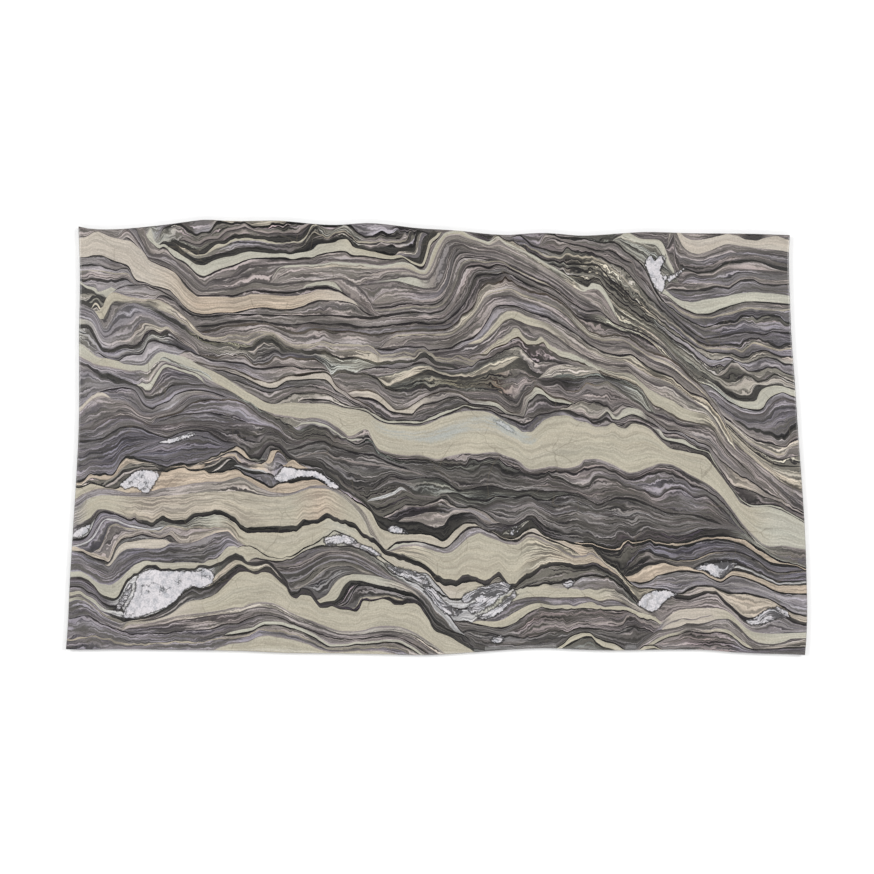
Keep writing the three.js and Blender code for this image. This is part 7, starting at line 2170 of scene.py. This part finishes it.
def quartz_look(n, place):
    """White and cloudy quartz with a few dark fractures."""
    ice = n.noise(place, 40.0, 4.0, 0.65)
    quartz = n.mix(n.between(ice, 0.32, 0.60), QUARTZ_GREY, QUARTZ_WHITE)
    bent = n.vector("ADD", place, n.vector("SCALE", n.noise_vector(place, 26.0), scale=0.05))
    fracture = n.math("ABSOLUTE", n.math("SUBTRACT", n.noise(bent, 17.0, 3.0, 0.6), 0.5))
    fracture = n.math("SUBTRACT", 1.0, n.between(fracture, 0.006, 0.026))
    somewhere = n.between(n.noise(place, 11.0, 1.0), 0.48, 0.58)
    fracture = n.math("MULTIPLY", n.math("MULTIPLY", fracture, somewhere), 0.8)
    return n.mix(fracture, quartz, FRACTURES)


def with_quartz(n, colour, place, beds, quartz_in, splinters_in, ragged):
    """Quartz lenses with a dark rim. Slivers of dark rock run through the splintered ones."""
    quartz_edge = n.math("ADD", n.math("MAXIMUM", quartz_in, splinters_in), ragged)
    rim = n.math("MULTIPLY", n.between(quartz_edge, -0.8, -0.3), 0.85)
    colour = n.mix(rim, colour, QUARTZ_RIM)
    quartz = quartz_look(n, place)
    slivers = stretched(n, beds, 0.11, 0.85, 83.0, 3.0, 0.6)
    slivers = n.math("MULTIPLY", n.between(slivers, 0.47, 0.53), n.between(splinters_in, -1.0, 0.0))
    quartz = n.mix(n.math("MULTIPLY", slivers, 0.92), quartz, SLIVERS)
    return n.mix(n.between(quartz_edge, -0.15, 0.12), colour, quartz)


def with_haze(n, colour, beds, haze_in, ragged):
    """A bluish haze in the widest cream band."""
    haze = n.between(n.math("ADD", haze_in, n.math("MULTIPLY", ragged, 1.5)), -1.0, 1.6)
    streaks = n.between(stretched(n, beds, 0.04, 0.7, 71.0, 3.0), 0.36, 0.60)
    return n.mix(n.math("MULTIPLY", n.math("MULTIPLY", haze, streaks), 0.75), colour, HAZE)


def with_hairlines(n, colour, place):
    """Hairline cracks, seen most on the plain bands."""
    crooked = n.vector("ADD", place, n.vector("SCALE", n.noise_vector(place, 7.0), scale=0.12))
    cells = n.add("ShaderNodeTexVoronoi", {"feature": "DISTANCE_TO_EDGE"},
                  {"Vector": crooked, "Scale": 5.5})
    hairline = n.math("SUBTRACT", 1.0, n.between(cells.outputs["Distance"], 0.004, 0.016))
    hairline = n.math("MULTIPLY", hairline, n.between(n.noise(place, 6.0, 2.0), 0.48, 0.58))
    return n.mix(n.math("MULTIPLY", hairline, 0.34), colour, HAIRLINES)


def with_grain(n, colour, place, grain, rough_side):
    """Crystal grain, slow drifts of lightness, and the duller broken edge and sawn back."""
    cloud = n.math("SUBTRACT", n.noise(place, 9.0, 3.0), 0.5)
    shade = n.math("ADD", 1.0, n.math("MULTIPLY", grain, 0.85))
    shade = n.math("ADD", shade, n.math("MULTIPLY", cloud, 0.22))
    colour = n.vector("SCALE", colour, scale=n.math("MULTIPLY", shade, LIGHTNESS))
    return n.mix(rough_side, colour, n.mix(0.45, colour, SAWN))


def quartzite_material():
    n = Nodes("quartzite")
    place = n.add("ShaderNodeTexCoord").outputs["Object"]
    tint = n.attribute("tint")["Color"]
    make = n.attribute("make")
    stripes, dark_share, pale_share = n.split(make["Vector"])[0:3]
    strata = n.split(n.attribute("strata")["Vector"])
    quartz_in, haze_in, splinters_in = n.split(n.attribute("patches")["Vector"])[0:3]
    rough_side = n.attribute("rough_side")["Fac"]
    beds = bedding(n, place, make["Alpha"], strata)
    ragged = n.math("MULTIPLY", n.math("SUBTRACT", n.noise(place, 110.0, 2.0), 0.5), 1.7)
    grain = n.math("SUBTRACT", n.noise(place, 160.0, 3.0, 0.7), 0.5)

    colour = striped(n, tint, stripes, beds)
    colour = with_hues(n, colour, stripes, beds)
    colour = with_lines(n, colour, dark_share, pale_share, beds)
    colour = with_quartz(n, colour, place, beds, quartz_in, splinters_in, ragged)
    colour = with_haze(n, colour, beds, haze_in, ragged)
    colour = with_hairlines(n, colour, place)
    colour = with_grain(n, colour, place, grain, rough_side)

    gloss = n.math("ADD", 0.26, n.math("MULTIPLY", grain, 0.10))
    roughness = n.math("ADD", gloss, n.math("MULTIPLY", rough_side, 0.50))
    bump_height = n.math("MULTIPLY", n.noise(place, 240.0, 3.0), rough_side)
    bump = n.add("ShaderNodeBump", None, {"Height": bump_height, "Strength": 0.6, "Distance": 0.002})
    shader = n.add("ShaderNodeBsdfPrincipled", None, {
        "Base Color": colour, "Roughness": roughness, "IOR": 1.5, "Specular IOR Level": 0.42,
        "Normal": bump.outputs[0]})
    n.add("ShaderNodeOutputMaterial", None, {"Surface": shader.outputs[0]})
    return n.material


# -------------------------------------------------- the room: floor, lights and camera
FLOOR_HALF = 14.0      # metres from the middle of the floor to its edge
FLOOR_WHITE = (0.95, 0.95, 0.95)
LIGHT_SIZE = 4.0       # metres along a side of each square light
LIGHTS = (
    # name, place in metres, watts
    ("left_light", (-6.4, 2.2, 8.4), 496),
    ("right_light", (6.4, 2.2, 8.4), 496),
    ("near_light", (0, -6.6, 8.4), 313),
)
ROOM_LIGHT = 0.385     # strength of the even white light from all round
LENS = 85              # millimetres
SENSOR = 36            # millimetres
VIEW_WIDTH = 3.602     # metres of floor across the picture, at the height of the polished face
VIEW_MIDDLE = (0.002, 0.0016)  # where the camera looks straight down, in metres


def plain_material(name, colour, roughness):
    material = bpy.data.materials.new(name)
    material.use_nodes = True
    shader = material.node_tree.nodes["Principled BSDF"]
    shader.inputs["Base Color"].default_value = (*colour, 1)
    shader.inputs["Roughness"].default_value = roughness
    shader.inputs["Specular IOR Level"].default_value = 0.0
    return material


def make_floor():
    mesh = bpy.data.meshes.new("floor")
    half = FLOOR_HALF
    corners = [(-half, -half, 0), (half, -half, 0), (half, half, 0), (-half, half, 0)]
    mesh.from_pydata(corners, [], [(0, 1, 2, 3)])
    mesh.materials.append(plain_material("floor_white", FLOOR_WHITE, 1.0))
    floor = bpy.data.objects.new("floor", mesh)
    bpy.context.scene.collection.objects.link(floor)


def add_light(name, place, power):
    light = bpy.data.lights.new(name, "AREA")
    light.shape = "SQUARE"
    light.size = LIGHT_SIZE
    light.energy = power
    lamp = bpy.data.objects.new(name, light)
    lamp.location = place
    lamp.rotation_euler = (-Vector(place)).to_track_quat("-Z", "Y").to_euler()
    bpy.context.scene.collection.objects.link(lamp)


def make_lights():
    for name, place, power in LIGHTS:
        add_light(name, place, power)
    world = bpy.data.worlds.new("room")
    world.use_nodes = True
    world.node_tree.nodes["Background"].inputs["Color"].default_value = (1, 1, 1, 1)
    world.node_tree.nodes["Background"].inputs["Strength"].default_value = ROOM_LIGHT
    bpy.context.scene.world = world


def make_camera():
    camera_data = bpy.data.cameras.new("camera")
    camera_data.lens = LENS
    camera_data.sensor_width = SENSOR
    camera = bpy.data.objects.new("camera", camera_data)
    height = VIEW_WIDTH * LENS / SENSOR
    camera.location = (*VIEW_MIDDLE, THICK / CM + height)
    bpy.context.scene.collection.objects.link(camera)
    bpy.context.scene.camera = camera


# -------------------------------------------------- put together
slab = make_slab(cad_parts["slab"])
slab.data.materials.append(quartzite_material())
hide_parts("slab")
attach(slab, "root")
make_floor()
make_lights()
make_camera()
bpy.context.scene.view_settings.view_transform = "Standard"
